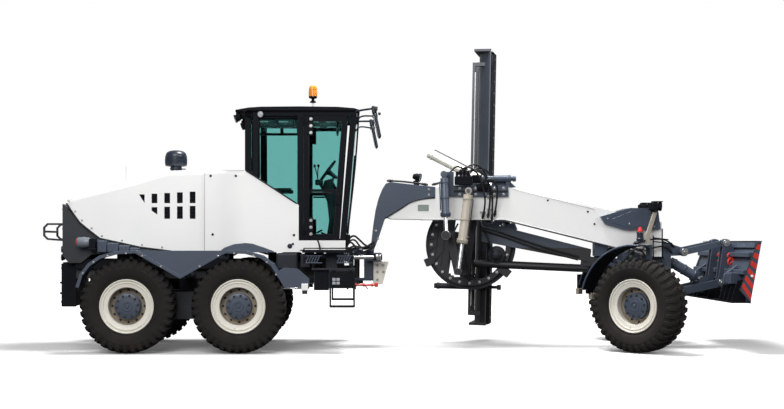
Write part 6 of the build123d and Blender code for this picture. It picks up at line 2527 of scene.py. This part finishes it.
# ------------------------------------------------------------------ nose and front fenders
@dataclass
class Nose:
    """Head lamps on white struts in painted shade, canister, guard rods and hoses on the nose.

    Attributes:
        x: place of the front axle.
        body: the CAD body it rides on.
    """

    x: float = 6.700
    body: str = "front_frame"

    def head_lamps(self) -> None:
        """Black lamps with round lenses on tapered white struts, darkened to beige as painted shade."""
        x = self.x + 0.270
        housing = bevel(
            cube("housing", at(x - 0.115, -0.425, 2.050), at(x - 0.010, -0.275, 2.185)), 0.030, 4
        )
        brow = block("brow", (x - 0.090, x + 0.055), (-0.420, -0.280), (2.182, 2.198), 0.005)
        fins = [
            block(
                "fin", (x - 0.128, x - 0.112), (-0.405 + 0.030 * k, -0.395 + 0.030 * k), (2.075, 2.165),
                0.003
            )
            for k in range(5)
        ]
        cup, lens = lamp_head("head_lamp", (x + 0.035, -0.350, 2.118), (1, 0, -0.05), 0.068, 0.09)
        yoke = block("yoke", (x - 0.075, x - 0.035), (-0.435, -0.265), (2.035, 2.060), 0.006)
        piece = both(joined("head_lamps", [housing, brow, *fins, cup, yoke]))
        finished(piece, BLACK_PAINT, self.body, ["headlamps"])
        finished(both(lens), CLEAR_LENS, self.body)
        strut = [
            (6.895, 2.045), (6.955, 2.045), (6.865, 1.755), (6.845, 1.700), (6.845, 1.500),
            (6.790, 1.500), (6.785, 1.720), (6.800, 1.760)
        ]
        leg = bevel(side_slab("strut", strut, -0.372, -0.328), 0.008)
        foot = block("foot", (6.770, 6.865), (-0.372, -0.185), (1.470, 1.515), 0.006)
        # The struts are white paint in painted shade.
        finished(both(joined("lamp_struts", [leg, foot])), WHITE_IN_PAINTED_SHADE, self.body)

    def canister(self) -> None:
        """Black canister with a red cap on a small bracket, one on the near side."""
        axis = at(self.x, -0.350, 0)
        profile = [
            (0.0, 1.600), (0.052, 1.600), (0.056, 1.612), (0.056, 1.640), (0.050, 1.646),
            (0.050, 1.712), (0.056, 1.720), (0.052, 1.738), (0.0, 1.740)
        ]
        body = smooth(lathe("canister", profile, axis, (0, 0, 1), 28), 30)
        bracket = block("bracket", (6.650, 6.760), (-0.40, -0.185), (1.575, 1.600), 0.005)
        finished(joined("canister", [body, bracket]), BLUE_PLASTIC, self.body)
        cap = [
            (0.0, 1.815), (0.016, 1.812), (0.024, 1.800), (0.026, 1.775), (0.038, 1.768),
            (0.042, 1.752), (0.040, 1.741), (0.0, 1.7405)
        ]
        finished(smooth(lathe("canister_cap", cap, axis, (0, 0, 1), 24), 30), RED_PAINT, self.body)

    def box_details(self) -> None:
        """Cover screws and a thin cover plate on the grey valve box, with its pointed tip."""
        places = [
            (6.235, -0.261, 1.940), (6.560, -0.261, 1.860), (6.93, -0.261, 2.050), (6.93, -0.261, 1.820)
        ]
        finished(both(bolts("box_screws", places, (0, -1, 0), 0.011)), STEEL, self.body)
        cover = side_slab(
            "cover",
            [
                (6.300, 1.935), (6.600, 2.055), (6.930, 2.052), (6.955, 1.822), (6.545, 1.812),
                (6.300, 1.880)
            ],
            -0.2635, -0.2595
        )
        finished(both(bevel(cover, 0.002, 1)), SLATE_PAINT, self.body)
        tip = drum("tip", at(6.060, -0.10, 1.960), at(6.140, -0.10, 1.955), 0.022, 14)
        finished(both(bevel(tip, 0.006)), BLACK_PAINT, self.body)

    def guards_and_hoses(self) -> None:
        """Upright rods, cross rails and hoses that lead to the dozer, with fittings over the axle."""
        rods = [
            pipe("rod", [at(x, y, 1.36), at(x, y, top)], 0.010, smooth=False) for x, y,
            top in (
                (6.900, -0.330, 1.685), (7.035, -0.330, 1.790), (6.900, 0.330, 1.685),
                (7.035, 0.330, 1.790)
            )
        ]
        rails = [
            pipe("rail", [at(6.890, y, z), at(7.130, y, z - 0.03)], 0.008, smooth=False)
            for y in (-0.330, 0.330)
            for z in (1.655, 1.600)
        ]
        feet = [
            block(
                "foot", (6.870, 7.060), (min(y, y - 0.14 * hand), max(y, y - 0.14 * hand)),
                (1.345, 1.370), 0.004
            )
            for y,
            hand in ((-0.340, -1), (0.340, 1))
        ]
        finished(joined("hose_guards", [*rods, *rails, *feet]), BLACK_PAINT, self.body)
        routes = [
            (
                (6.640, -0.20, 1.56), (6.800, -0.30, 1.62), (7.000, -0.34, 1.64), (7.150, -0.30, 1.600),
                (7.230, -0.22, 1.520)
            ),
            (
                (6.620, -0.20, 1.50), (6.780, -0.27, 1.46), (6.960, -0.30, 1.52), (7.120, -0.26, 1.530),
                (7.200, -0.22, 1.440)
            ),
            (
                (6.640, 0.20, 1.56), (6.820, 0.30, 1.66), (7.020, 0.32, 1.62), (7.160, 0.26, 1.560),
                (7.230, 0.22, 1.500)
            ),
            (
                (6.500, -0.205, 1.30), (6.560, -0.27, 1.42), (6.660, -0.28, 1.50), (6.800, -0.24, 1.42),
                (6.850, -0.205, 1.30)
            ),
            (
                (6.480, -0.205, 1.22), (6.580, -0.26, 1.36), (6.720, -0.26, 1.40), (6.880, -0.24, 1.34),
                (6.960, -0.205, 1.24)
            ),
        ]
        finished(
            joined("nose_hoses", [hose("nose_hose", route, 0.013) for route in routes]), HOSE_RUBBER,
            self.body
        )
        nuts = [
            (6.520, -0.192, 1.46), (6.580, -0.192, 1.38), (6.660, -0.192, 1.32), (6.760, -0.192, 1.38),
            (6.860, -0.192, 1.44), (6.640, -0.192, 1.22), (6.800, -0.192, 1.20)
        ]
        finished(both(bolts("nose_fittings", nuts, (0, -1, 0), 0.024)), STEEL, self.body)
        blocks = [
            block("block", (6.560, 6.640), (-0.235, -0.188), (1.400, 1.480), 0.008),
            block("block", (6.720, 6.830), (-0.245, -0.188), (1.250, 1.330), 0.008)
        ]
        finished(both(joined("nose_blocks", blocks)), DARK_PAINT, self.body)

    def build(self) -> None:
        """Make every piece of the nose."""
        self.head_lamps()
        self.canister()
        self.box_details()
        self.guards_and_hoses()


@dataclass
class FrontFender:
    """Edge bead, black sheet of painted shade underneath and lamp box of one front mudguard, which turns with
    its wheel.

    Attributes:
        side: which side of the machine it is on.
        radius: inner radius of the mudguard.
        wheel: the wheel's radius, so the height of its axle.
        kingpin: x and y of the kingpin, the near side's y without its sign.
        middle: the mudguard's middle, outwards from the kingpin.
        half_width: half the mudguard's width.
        arc: where the mudguard begins and how far it reaches, in degrees.
        sections: straight pieces that its edges are made of.
    """

    side: Side
    radius: float = 0.860
    wheel: float = 0.675
    kingpin: Flat = (6.700, 0.830)
    middle: float = 0.235
    half_width: float = 0.190
    arc: Flat = (84, 82)
    sections: int = 14

    def build(self) -> None:
        """Make the pieces in the knuckle's frame and set them at the kingpin."""
        hand = self.side.value
        move = Matrix.Translation(
            at(self.kingpin[0], hand * self.kingpin[1], 0)
        ) @ Matrix.Rotation(FRONT_STEER, 4, "Z")
        low, high = self.middle - self.half_width, self.middle + self.half_width
        body = f"knuckle_{self.side.word}"
        beads, shade_sheets = [], []
        start, sweep = self.arc
        steps = [math.radians(start + sweep * k / self.sections) for k in range(self.sections + 1)]
        for y in (low, high):
            rim = self.radius + 0.008
            route = [(rim * math.cos(a), hand * y, self.wheel + rim * math.sin(a)) for a in steps]
            beads.append(pipe("bead", route, 0.014, smooth=False))
        bead = smooth(joined(f"fender_bead_{self.side.word}", beads), 50)
        bead.data.transform(move)
        finished(bead, SLATE_PAINT, body)
        # Thin black sheets under the mudguard, as painted shade on its underside.
        for first, second in zip(steps[:-1], steps[1:]):
            inner, outer = self.radius - 0.005, self.radius - 0.0005
            corners = [
                (inner * math.cos(a), hand * (low + 0.01), self.wheel + inner * math.sin(a))
                for a in (first, second)
            ]
            corners += [
                (outer * math.cos(a), hand * (low + 0.01), self.wheel + outer * math.sin(a))
                for a in (second, first)
            ]
            shade_sheets.append(slab("lining", corners, (0, hand * (high - low - 0.02), 0)))
        lining = joined(f"fender_lining_{self.side.word}", shade_sheets)
        close_up(lining)
        lining.data.transform(move)
        finished(smooth(lining, 40), BLACK_PAINT, body)
        # The lamp box is white paint in painted shade.
        box = bevel(
            cube("box", (-0.905, hand * low, 0.735), (-0.850, hand * (low + 0.12), 0.830)), 0.006
        )
        box.name = f"fender_box_{self.side.word}"
        box.data.transform(move)
        finished(box, WHITE_IN_PAINTED_SHADE, body)
        bracket = joined(
            f"fender_bracket_{self.side.word}",
            [
                bevel(
                    cube(
                        "bracket", (-0.905, hand * (low + 0.03), 0.820),
                        (-0.868, hand * (low + 0.20), 1.060)
                    ),
                    0.006
                ),
                pipe(
                    "stay",
                    [
                        (-0.88, hand * 0.20, 1.04), (-0.50, hand * 0.10, 1.10),
                        (-0.10, hand * -0.02, 1.14)
                    ],
                    0.016, smooth=False
                ),
            ]
        )
        bracket.data.transform(move)
        finished(bracket, BLACK_PAINT, body)


# ------------------------------------------------------------------ dozer
@dataclass
class Dozer:
    """Striped end plates, hooks, ribs, pins and edges of the front blade.

    Attributes:
        nose: x of the nose's front face.
        hooks_at: y of each lifting hook.
        hooks_down: how far down the blade's back the hooks are, as a share.
        half_width: y of the end plates' outer faces.
        stripes: red stripes on each end plate.
    """

    nose: float = 7.060
    half_width: float = 1.280
    stripes: int = 6
    hooks_at: Flat = (0.05, -0.43)
    hooks_down: float = 0.30

    def face(self, t: float, back: float = 0.022) -> Flat:
        """A point on the blade's back at share t of the way from its top edge to its foot."""
        return (
            self.nose + 1.140 - 0.160 * t - 0.085 * (1 - (2 * t - 1) ** 2) - back,
            1.600 - 0.880 * t,
        )

    def end_plates(self) -> None:
        """Slanted red stripes, raised on both end plates, with a round marker."""
        rear, front = ((8.122, 1.552), (7.896, 0.918)), ((8.194, 1.590), (8.036, 0.736))

        def along(edge: tuple[Flat, Flat], t: float) -> Flat:
            """The point at share t of the way down one edge of the plate."""
            return (
                edge[0][0] + (edge[1][0] - edge[0][0]) * t, edge[0][1] + (edge[1][1] - edge[0][1]) * t
            )

        bands = []
        for number in range(self.stripes):
            t0 = 0.02 + number / self.stripes
            t1, slant = t0 + 0.095, 0.02
            corners = [
                along(rear, max(0.0, t0 - slant)), along(rear, t1 - slant),
                along(front, min(1.0, t1 + slant)), along(front, t0 + slant)
            ]
            bands.append(
                bevel(
                    side_slab("stripe", corners, -self.half_width - 0.004, -self.half_width + 0.001),
                    0.001, 1
                )
            )
        finished(both(joined("end_stripes", bands)), RED_PAINT, "dozer_blade")
        ring = [(0.0, 0.004), (0.018, 0.004), (0.020, 0.0), (0.0, -0.001)]
        marker = lathe("marker", ring, at(8.060, -self.half_width - 0.004, 1.110), (0, -1, 0), 20)
        finished(both(smooth(joined("end_markers", [marker]), 30)), WHITE_PAINT, "dozer_blade")
        rim = [
            at(x, -self.half_width - 0.002, z) for x,
            z in ((8.200, 1.600), (8.130, 1.560), (7.890, 0.910), (8.040, 0.720))
        ]
        finished(both(pipe("end_rims", rim, 0.008, smooth=False)), DARK_PAINT, "dozer_blade")

    def hooks(self) -> None:
        """Two red lifting hooks with eyes and bolted plates on the blade's back."""
        pieces = []
        x = self.face(self.hooks_down)[0]
        for y in self.hooks_at:
            plate = block(
                "plate", (x - 0.020, x + 0.004), (y - 0.045, y + 0.045), (1.270, 1.420), 0.006
            )
            eye = [
                (0.028 + 0.013 * math.cos(TURN * k / 8), 0.013 * math.sin(TURN * k / 8))
                for k in range(8)
            ]
            ring = lathe("eye", [*eye, eye[0]], at(x - 0.050, y, 1.385), (0, 1, 0), 24)
            hook = pipe(
                "hook",
                [
                    at(x - 0.02, y, 1.35), at(x - 0.06, y, 1.34), at(x - 0.075, y, 1.29),
                    at(x - 0.055, y, 1.255), at(x - 0.03, y, 1.265)
                ],
                0.016
            )
            pieces += [plate, ring, hook]
        finished(smooth(joined("lifting_hooks", pieces), 35), RED_PAINT, "dozer_blade")
        places = [
            (x - 0.020, y + dy, z)
            for y in self.hooks_at
            for dy in (-0.03, 0.03)
            for z in (1.285, 1.405)
        ]
        finished(bolts("hook_bolts", places, (-1, 0, 0), 0.008), STEEL, "dozer_blade")

    def back_ribs(self) -> None:
        """Vertical ribs, cross rails and gussets on the back of the blade."""
        lines = [self.face(t) for t in (0.62, 0.72, 0.82, 0.92, 0.985)]
        deep = [(x - 0.10 - 0.03 * k, z - 0.01) for k, (x, z) in enumerate(lines)]
        rib = bevel(
            side_slab("rib", [(x + 0.008, z) for x, z in lines] + deep[::-1], -1.160, -1.140), 0.003, 1
        )
        moves = [Matrix.Translation((0, 0.1925 * k, 0)) for k in range(13) if k not in (4, 5, 7, 8)]
        ribs = repeated(rib, moves, "blade_ribs")
        x, z = self.face(0.98)
        shelf = block("shelf", (x - 0.230, x + 0.004), (-1.250, 1.250), (z - 0.016, z - 0.002), 0.003)
        finished(joined("blade_ribs", [ribs, shelf]), BLACK_PAINT, "dozer_blade")
        rails = []
        for t in (0.22, 0.50):
            x, z = self.face(t)
            for y0, y1 in ((-1.250, -0.365), (-0.185, -0.085), (0.085, 0.185), (0.365, 1.250)):
                rails.append(
                    block("rail", (x - 0.075, x + 0.006), (y0, y1), (z - 0.035, z + 0.035), 0.010)
                )
        finished(joined("blade_rails", rails), SLATE_PAINT, "dozer_blade")
        cap = block("cap", (8.100, 8.190), (-1.270, 1.270), (1.598, 1.606), 0.003)
        finished(cap, BLACK_PAINT, "dozer_blade")

    def side_wings(self) -> None:
        """Angled wing brackets between the end plates and the back, with their bolts."""
        x = self.face(0.62)[0]
        wing = side_slab(
            "wing", [(x + 0.01, 1.26), (x - 0.18, 1.12), (x - 0.20, 0.98), (x - 0.02, 0.93)], -0.80,
            -0.74
        )
        box = block("box", (x - 0.17, x + 0.006), (-1.02, -0.80), (0.985, 1.150), 0.015)
        finished(both(joined("blade_wings", [bevel(wing, 0.006), box])), SLATE_PAINT, "dozer_blade")

    def pin_caps(self) -> None:
        """Washers and locked pin heads on the link pins and the ram's pins."""
        cap = [
            (0.0, 0.018), (0.018, 0.018), (0.024, 0.013), (0.052, 0.012), (0.056, 0.006), (0.056, 0.0),
            (0.0, -0.002)
        ]
        rows = (
            ("mount_pin_caps", -0.331, ((7.300, 0.845), (7.370, 1.439)), "front_frame"),
            ("blade_pin_caps", -0.351, ((7.920, 0.981), (7.990, 1.575)), "dozer_blade"),
        )
        for name, y, places, body in rows:
            caps = [lathe("cap", cap, at(x, y, z), (0, -1, 0), 20) for x, z in places]
            finished(both(smooth(joined(name, caps), 30)), STEEL, body)

    def cutting_edge(self) -> None:
        """Bolted cutting edge along the blade's foot."""
        edge = side_slab(
            "edge", [(8.036, 0.722), (8.050, 0.722), (8.062, 0.900), (8.050, 0.900)], -1.274, 1.274
        )
        finished(bevel(edge, 0.002, 1), STEEL, "dozer_blade")
        places = [(8.056, -1.15 + 0.23 * k, 0.835) for k in range(11)]
        finished(bolts("edge_bolts", places, (1, 0, -0.07), 0.014), DARK_PAINT, "dozer_blade")

    def build(self) -> None:
        """Make every piece of the dozer."""
        self.end_plates()
        self.hooks()
        self.back_ribs()
        self.side_wings()
        self.pin_caps()
        self.cutting_edge()


# ------------------------------------------------------------------ wheels
@dataclass
class Wheel:
    """A tyre with slanted lugs on a wide cream rim with a dished middle and a bolted hub.

    The wheel is modelled once at the row's origin with its axle along Y and its outer face towards +Y,
    and each wheel of the machine is a copy of that model.

    Attributes:
        lugs: lugs on each shoulder.
        radius: the tyre's outer radius.
        half_width: half the tyre's width.
        rim_radius: radius of the rim's flange.
        hole_radius: radius of the rim's inner edge.
        hub_radius: the hub cover's radius.
        face: how far out the rim's front lies.
        bolts: bolts on the hub cover.
        rim_nuts: nuts on the dish behind it.
    """

    lugs: int = 36
    radius: float = 0.675
    half_width: float = 0.2225
    rim_radius: float = 0.387
    hole_radius: float = 0.268
    hub_radius: float = 0.186
    face: float = 0.166
    bolts: int = 10
    rim_nuts: int = 12

    def __post_init__(self) -> None:
        """Set the model's axes."""
        self.centre, self.out = Vector((0, 0, 0)), Vector((0, 1, 0))

    def spot(self, ahead: float, out: float, up: float) -> Vector:
        """A place measured from the wheel's centre."""
        return Vector((-ahead, out, up))

    def carcass(self) -> bpy.types.Object:
        """Spin the tyre's section: beads, bulged sidewalls with rings, and the tread base."""
        half, outer = self.half_width, self.radius
        flank = [
            (0.350, 0.150), (0.384, 0.172), (0.392, 0.186), (0.402, 0.189), (0.412, 0.188),
            (0.420, 0.197), (0.450, 0.209), (0.500, 0.2195), (0.540, half), (0.548, half),
            (0.553, half - 0.004), (0.580, 0.2165), (0.610, 0.205), (0.628, 0.188), (0.640, 0.160),
            (outer - 0.030, 0.080),
        ]
        profile = [
            (0.333, 0.140), *flank, *[(r, -y) for r, y in reversed(flank)], (0.333, -0.140),
            (0.333, 0.140)
        ]
        return smooth(lathe("carcass", profile, self.centre, self.out, 96), 50)

    def lug(self, hand: int) -> bpy.types.Object:
        """One lug at the wheel's top, from near the tread's middle out and down over the shoulder.

        Args:
            hand: 1 on the outer shoulder, -1 on the inner one.

        Returns:
            The lug.
        """
        wide = 0.058
        piece = cube("lug", (-0.5, -0.5, -0.5), (0.5, 0.5, 0.5))
        stations = [
            (0.020, self.radius - 0.038, self.radius - 0.001, 0.034, 0.054),
            (0.105, self.radius - 0.040, self.radius - 0.003, 0.008, wide),
            (0.182, self.radius - 0.055, self.radius - 0.010, -0.014, wide * 1.06),
            (0.208, self.radius - 0.080, self.radius - 0.036, -0.018, wide),
            (0.2215, self.radius - 0.132, self.radius - 0.088, -0.020, wide * 0.86),
        ]
        activate(piece)
        bpy.ops.object.mode_set(mode="EDIT")
        for _ in stations[2:]:
            bpy.ops.object.mode_set(mode="OBJECT")
            far = max(vertex.co.y for vertex in piece.data.vertices)
            for face in piece.data.polygons:
                face.select = face.center.y > far - 0.01
            bpy.ops.object.mode_set(mode="EDIT")
            bpy.ops.mesh.select_mode(type="FACE")
            bpy.ops.mesh.extrude_region_move(TRANSFORM_OT_translate={"value": (0, 1, 0)})
        bpy.ops.object.mode_set(mode="OBJECT")
        for vertex in piece.data.vertices:
            out, low, high, shift, width = stations[round(vertex.co.y + 0.5)]
            rise = high if vertex.co.z > 0 else low
            side = shift * hand + math.copysign(width / 2, vertex.co.x)
            vertex.co = self.spot(side, out * hand, rise)
        close_up(piece)
        return bevel(piece, 0.006, 1, 40)

    def tyre(self) -> bpy.types.Object:
        """Carcass and both rings of lugs in one piece."""
        rings = [self.carcass()]
        for hand, start in ((1, 0.0), (-1, math.pi / self.lugs)):
            moves = ring_of(self.lugs, self.centre, self.out, start)
            rings.append(repeated(self.lug(hand), moves, "lugs"))
        return joined("tyre_detail", rings)

    def rim(self) -> bpy.types.Object:
        """The wide stepped ring and the barrel behind it, with its valve."""
        face = self.face
        profile = [
            (0.333, 0.10), (0.334, face + 0.004), (self.rim_radius - 0.004, face + 0.006),
            (self.rim_radius, face + 0.012), (self.rim_radius - 0.001, face + 0.024),
            (self.rim_radius - 0.010, face + 0.029), (0.366, face + 0.024), (0.361, face + 0.006),
            (0.350, face + 0.004), (0.345, face + 0.016), (0.334, face + 0.017), (0.327, face + 0.006),
            (0.292, face - 0.002), (self.hole_radius + 0.006, face - 0.004),
            (self.hole_radius, face - 0.012), (self.hole_radius, 0.062), (0.292, 0.050), (0.312, 0.020),
            (0.312, -0.13), (0.333, -0.15), (self.rim_radius, -0.172), (self.rim_radius, -0.186),
            (0.34, -0.186), (0.326, -0.150), (0.333, -0.12), (0.333, 0.10),
        ]
        ring = smooth(lathe("rim_detail", profile, self.centre, self.out, 72), 28)
        valve = pipe(
            "valve",
            [
                self.spot(0.05, 0.150, -0.285), self.spot(0.05, 0.175, -0.290),
                self.spot(0.05, 0.185, -0.315)
            ],
            0.006
        )
        return joined("rim_detail", [ring, valve])

    def dish(self) -> bpy.types.Object:
        """The recessed disc inside the rim, with its raised nut circle."""
        profile = [
            (0.300, 0.058), (0.266, 0.060), (0.262, 0.040), (0.252, 0.022), (0.236, 0.012),
            (0.215, 0.016), (0.205, 0.024), (0.150, 0.024), (0.150, -0.010), (0.300, -0.010),
            (0.311, 0.010), (0.300, 0.058),
        ]
        return smooth(lathe("dish", profile, self.centre, self.out, 60), 28)

    def hub(self) -> bpy.types.Object:
        """The planetary hub cover with its flange, grooves and drain plug."""
        profile = [
            (0.0, 0.150), (0.022, 0.150), (0.026, 0.146), (0.028, 0.137), (0.046, 0.137),
            (0.050, 0.146), (0.072, 0.146), (0.078, 0.136), (0.120, 0.133), (0.128, 0.126),
            (0.170, 0.124), (0.180, 0.120), (self.hub_radius, 0.112), (self.hub_radius, 0.088),
            (0.176, 0.080), (0.176, 0.062), (0.192, 0.058), (0.192, 0.026), (0.0, 0.025),
        ]
        cover = smooth(lathe("hub", profile, self.centre, self.out, 60), 30)
        plug = lathe(
            "plug", [(0.0, 0.156), (0.009, 0.156), (0.011, 0.153), (0.011, 0.14)], self.centre,
            self.out, 6
        )
        return joined("hub", [cover, plug])

    def nuts(self) -> bpy.types.Object:
        """The dark bolts near the hub's edge and the rim's nuts behind them."""
        cover = repeated(
            self.bolt(0.152, 0.126, 0.0135), ring_of(self.bolts, self.centre, self.out, 0.2),
            "hub_bolts"
        )
        rim = repeated(
            self.bolt(0.232, 0.016, 0.014), ring_of(self.rim_nuts, self.centre, self.out), "rim_nuts"
        )
        return joined("nuts", [cover, rim])

    def bolt(self, reach: float, out: float, radius: float) -> bpy.types.Object:
        """A six-sided head above a washer, at a distance from the wheel's axis.

        Args:
            reach: distance from the axis.
            out: where its seat is, along the axis.
            radius: the head's radius.

        Returns:
            The bolt.
        """
        seat = self.spot(0, out, reach)
        washer = drum("washer", seat - self.out * 0.004, seat + self.out * 0.002, radius * 1.35, 12)
        head = drum("head", seat, seat + self.out * 0.012, radius, 6)
        return joined("bolt", [washer, bevel(head, 0.0015, 1)])

    def build(self) -> None:
        """Model one wheel and copy it to the six places."""
        models: list[tuple[bpy.types.Object, Finish, str]] = [
            (self.tyre(), TYRE_RUBBER, "tyre"),
            (self.rim(), CREAM_PAINT, "rim"),
            # The dish is dust brown with painted shade in its recess.
            (self.dish(), DISH_DUST_AND_SHADE, ""),
            (self.hub(), SLATE_PAINT, ""),
            (self.nuts(), DARK_PAINT, ""),
        ]
        for side in Side:
            for label, steer in (
                ("rear_wheel", 0.0), ("middle_wheel", 0.0), ("front_wheel", FRONT_STEER)
            ):
                name = f"{label}_{side.word}"
                move = Matrix.Translation(box_centre(name + "_tyre")) @ Matrix.Rotation(steer, 4, "Z")
                if side is Side.RIGHT:
                    move = move @ mirrored()
                for model, finish, node in models:
                    twin = copied(model, move, f"{name}_{model.name}")
                    finished(twin, finish, name, [f"{name}_{node}"] if node else [])
        for model, _, _ in models:
            bpy.data.objects.remove(model)


# ------------------------------------------------------------------ setting
@dataclass
class Setting:
    """Pale floor, soft lamps, white surroundings and the camera.

    Attributes:
        lens: focal length for a 36 mm wide sensor.
        eye: camera place measured from the ground under the tandem pivot.
        shift: how far the lens is moved right and up, in sensor widths.
        sensor: the sensor's width, in millimetres.
        far_clip: how far the camera sees.
        floor_half: half the side of the floor.
        floor_drop: how far the floor lies under the tyres.
        fade: where the floor starts to turn white and where it is white, from its middle.
        surround: strength of the light from all round.
    """

    lens: float = 56.2
    eye: Point = (2.376, -18.59, 1.59)
    shift: Flat = (0.0536, 0.0478)
    sensor: float = 36.0
    far_clip: float = 200.0
    floor_half: float = 60.0
    floor_drop: float = 0.001
    fade: Flat = (6.5, 11.0)
    surround: float = 0.36

    def floor(self) -> None:
        """Lay the pale floor, which keeps the machine's shadow."""
        bpy.ops.object.select_all(action="DESELECT")
        bpy.ops.mesh.primitive_plane_add(size=2 * self.floor_half, location=(0, 0, -self.floor_drop))
        plane = bpy.context.object
        plane.name = "floor"
        material = bpy.data.materials.new("floor_paper")
        material.use_nodes = True
        nodes = Nodes(material.node_tree)
        shader = material.node_tree.nodes["Principled BSDF"]
        shader.inputs["Roughness"].default_value = 1.0
        shader.inputs["Specular IOR Level"].default_value = 0.0
        light = nodes.add("ShaderNodeLightPath")
        seen = nodes.maths(
            "MAXIMUM", light.outputs["Is Camera Ray"], light.outputs["Is Transmission Ray"]
        )
        nodes.wire(
            nodes.blend(seen, (0.10, 0.10, 0.10, 1), (0.85, 0.85, 0.85, 1)), shader.inputs["Base Color"]
        )
        spread = nodes.add("ShaderNodeVectorMath", operation="LENGTH")
        nodes.wire(nodes.add("ShaderNodeTexCoord").outputs["Object"], spread.inputs[0])
        far = nodes.ramp(spread.outputs["Value"], *self.fade)
        nodes.wire((1, 1, 1, 1), shader.inputs["Emission Color"])
        nodes.wire(
            nodes.maths("MULTIPLY", seen, nodes.level(far, 0.06, 1.0)),
            shader.inputs["Emission Strength"]
        )
        plane.data.materials.append(material)

    def surroundings(self) -> None:
        """White behind the machine, with a plain level of light from all round."""
        world = bpy.data.worlds.new("studio")
        world.use_nodes = True
        bpy.context.scene.world = world
        nodes = Nodes(world.node_tree)
        background = world.node_tree.nodes["Background"]
        light = nodes.add("ShaderNodeLightPath")
        seen = nodes.maths(
            "MAXIMUM", light.outputs["Is Camera Ray"], light.outputs["Is Transmission Ray"]
        )
        nodes.wire(nodes.level(seen, self.surround, 1.0), background.inputs["Strength"])
        background.inputs["Color"].default_value = (1, 1, 1, 1)

    def lamp(self, name: str, place: Point, aim: Point, size: float, power: float) -> None:
        """Add one large soft lamp.

        Args:
            name: the lamp's name.
            place: where it hangs, in the row frame.
            aim: the point it faces.
            size: side of its square, in metres.
            power: watts.
        """
        data = bpy.data.lights.new(name, "AREA")
        data.size = size
        data.energy = power
        lamp = bpy.data.objects.new(name, data)
        lamp.location = place
        lamp.rotation_mode = "QUATERNION"
        lamp.rotation_quaternion = (Vector(aim) - Vector(place)).to_track_quat("-Z", "Y")
        bpy.context.scene.collection.objects.link(lamp)

    def lamps(self) -> None:
        """Key lamp over the camera's left shoulder, one overhead and one from behind."""
        self.lamp("key", (-4.0, -12.5, 8.5), (0, 0, 1.4), 9.0, 1480)
        self.lamp("overhead", (0.3, -0.2, 10.0), (0, 0, 0), 3.5, 1650)
        self.lamp("side", (11.0, -5.0, 6.0), (0, 0, 1.5), 5.0, 300)

    def camera(self) -> None:
        """Place the camera and make it the scene's."""
        data = bpy.data.cameras.new("view")
        data.lens = self.lens
        data.sensor_width = self.sensor
        data.clip_end = self.far_clip
        data.shift_x, data.shift_y = self.shift
        camera = bpy.data.objects.new("view", data)
        camera.location = at(*self.eye)
        camera.rotation_euler = (math.pi / 2, 0, 0)
        bpy.context.scene.collection.objects.link(camera)
        bpy.context.scene.camera = camera

    def build(self) -> None:
        """Make the whole setting."""
        self.camera()
        self.floor()
        self.surroundings()
        self.lamps()
        bpy.context.scene.view_settings.view_transform = "Standard"


def main() -> None:
    """Build everything in order and report each step."""
    logging.basicConfig(level=logging.INFO, format="%(message)s")
    Setting().build()
    LOG.info("setting done")
    CarriedNodes().dress()
    LOG.info("carried nodes dressed: %d", len(frame["nodes"]))
    Wheel().build()
    for assembly in (
        Hood(), Tail(), Fenders(), Cab(), DriverPlace(), Beacon(), Mirrors(), Steps(), Neck(), Saddle(),
        BladeGear(), Nose(), Dozer()
    ):
        assembly.build()
        LOG.info("%s done", type(assembly).__name__)
    for side in Side:
        FrontFender(side).build()
    for dress in rams():
        dress.build()


if __name__ == "__main__":
    main()
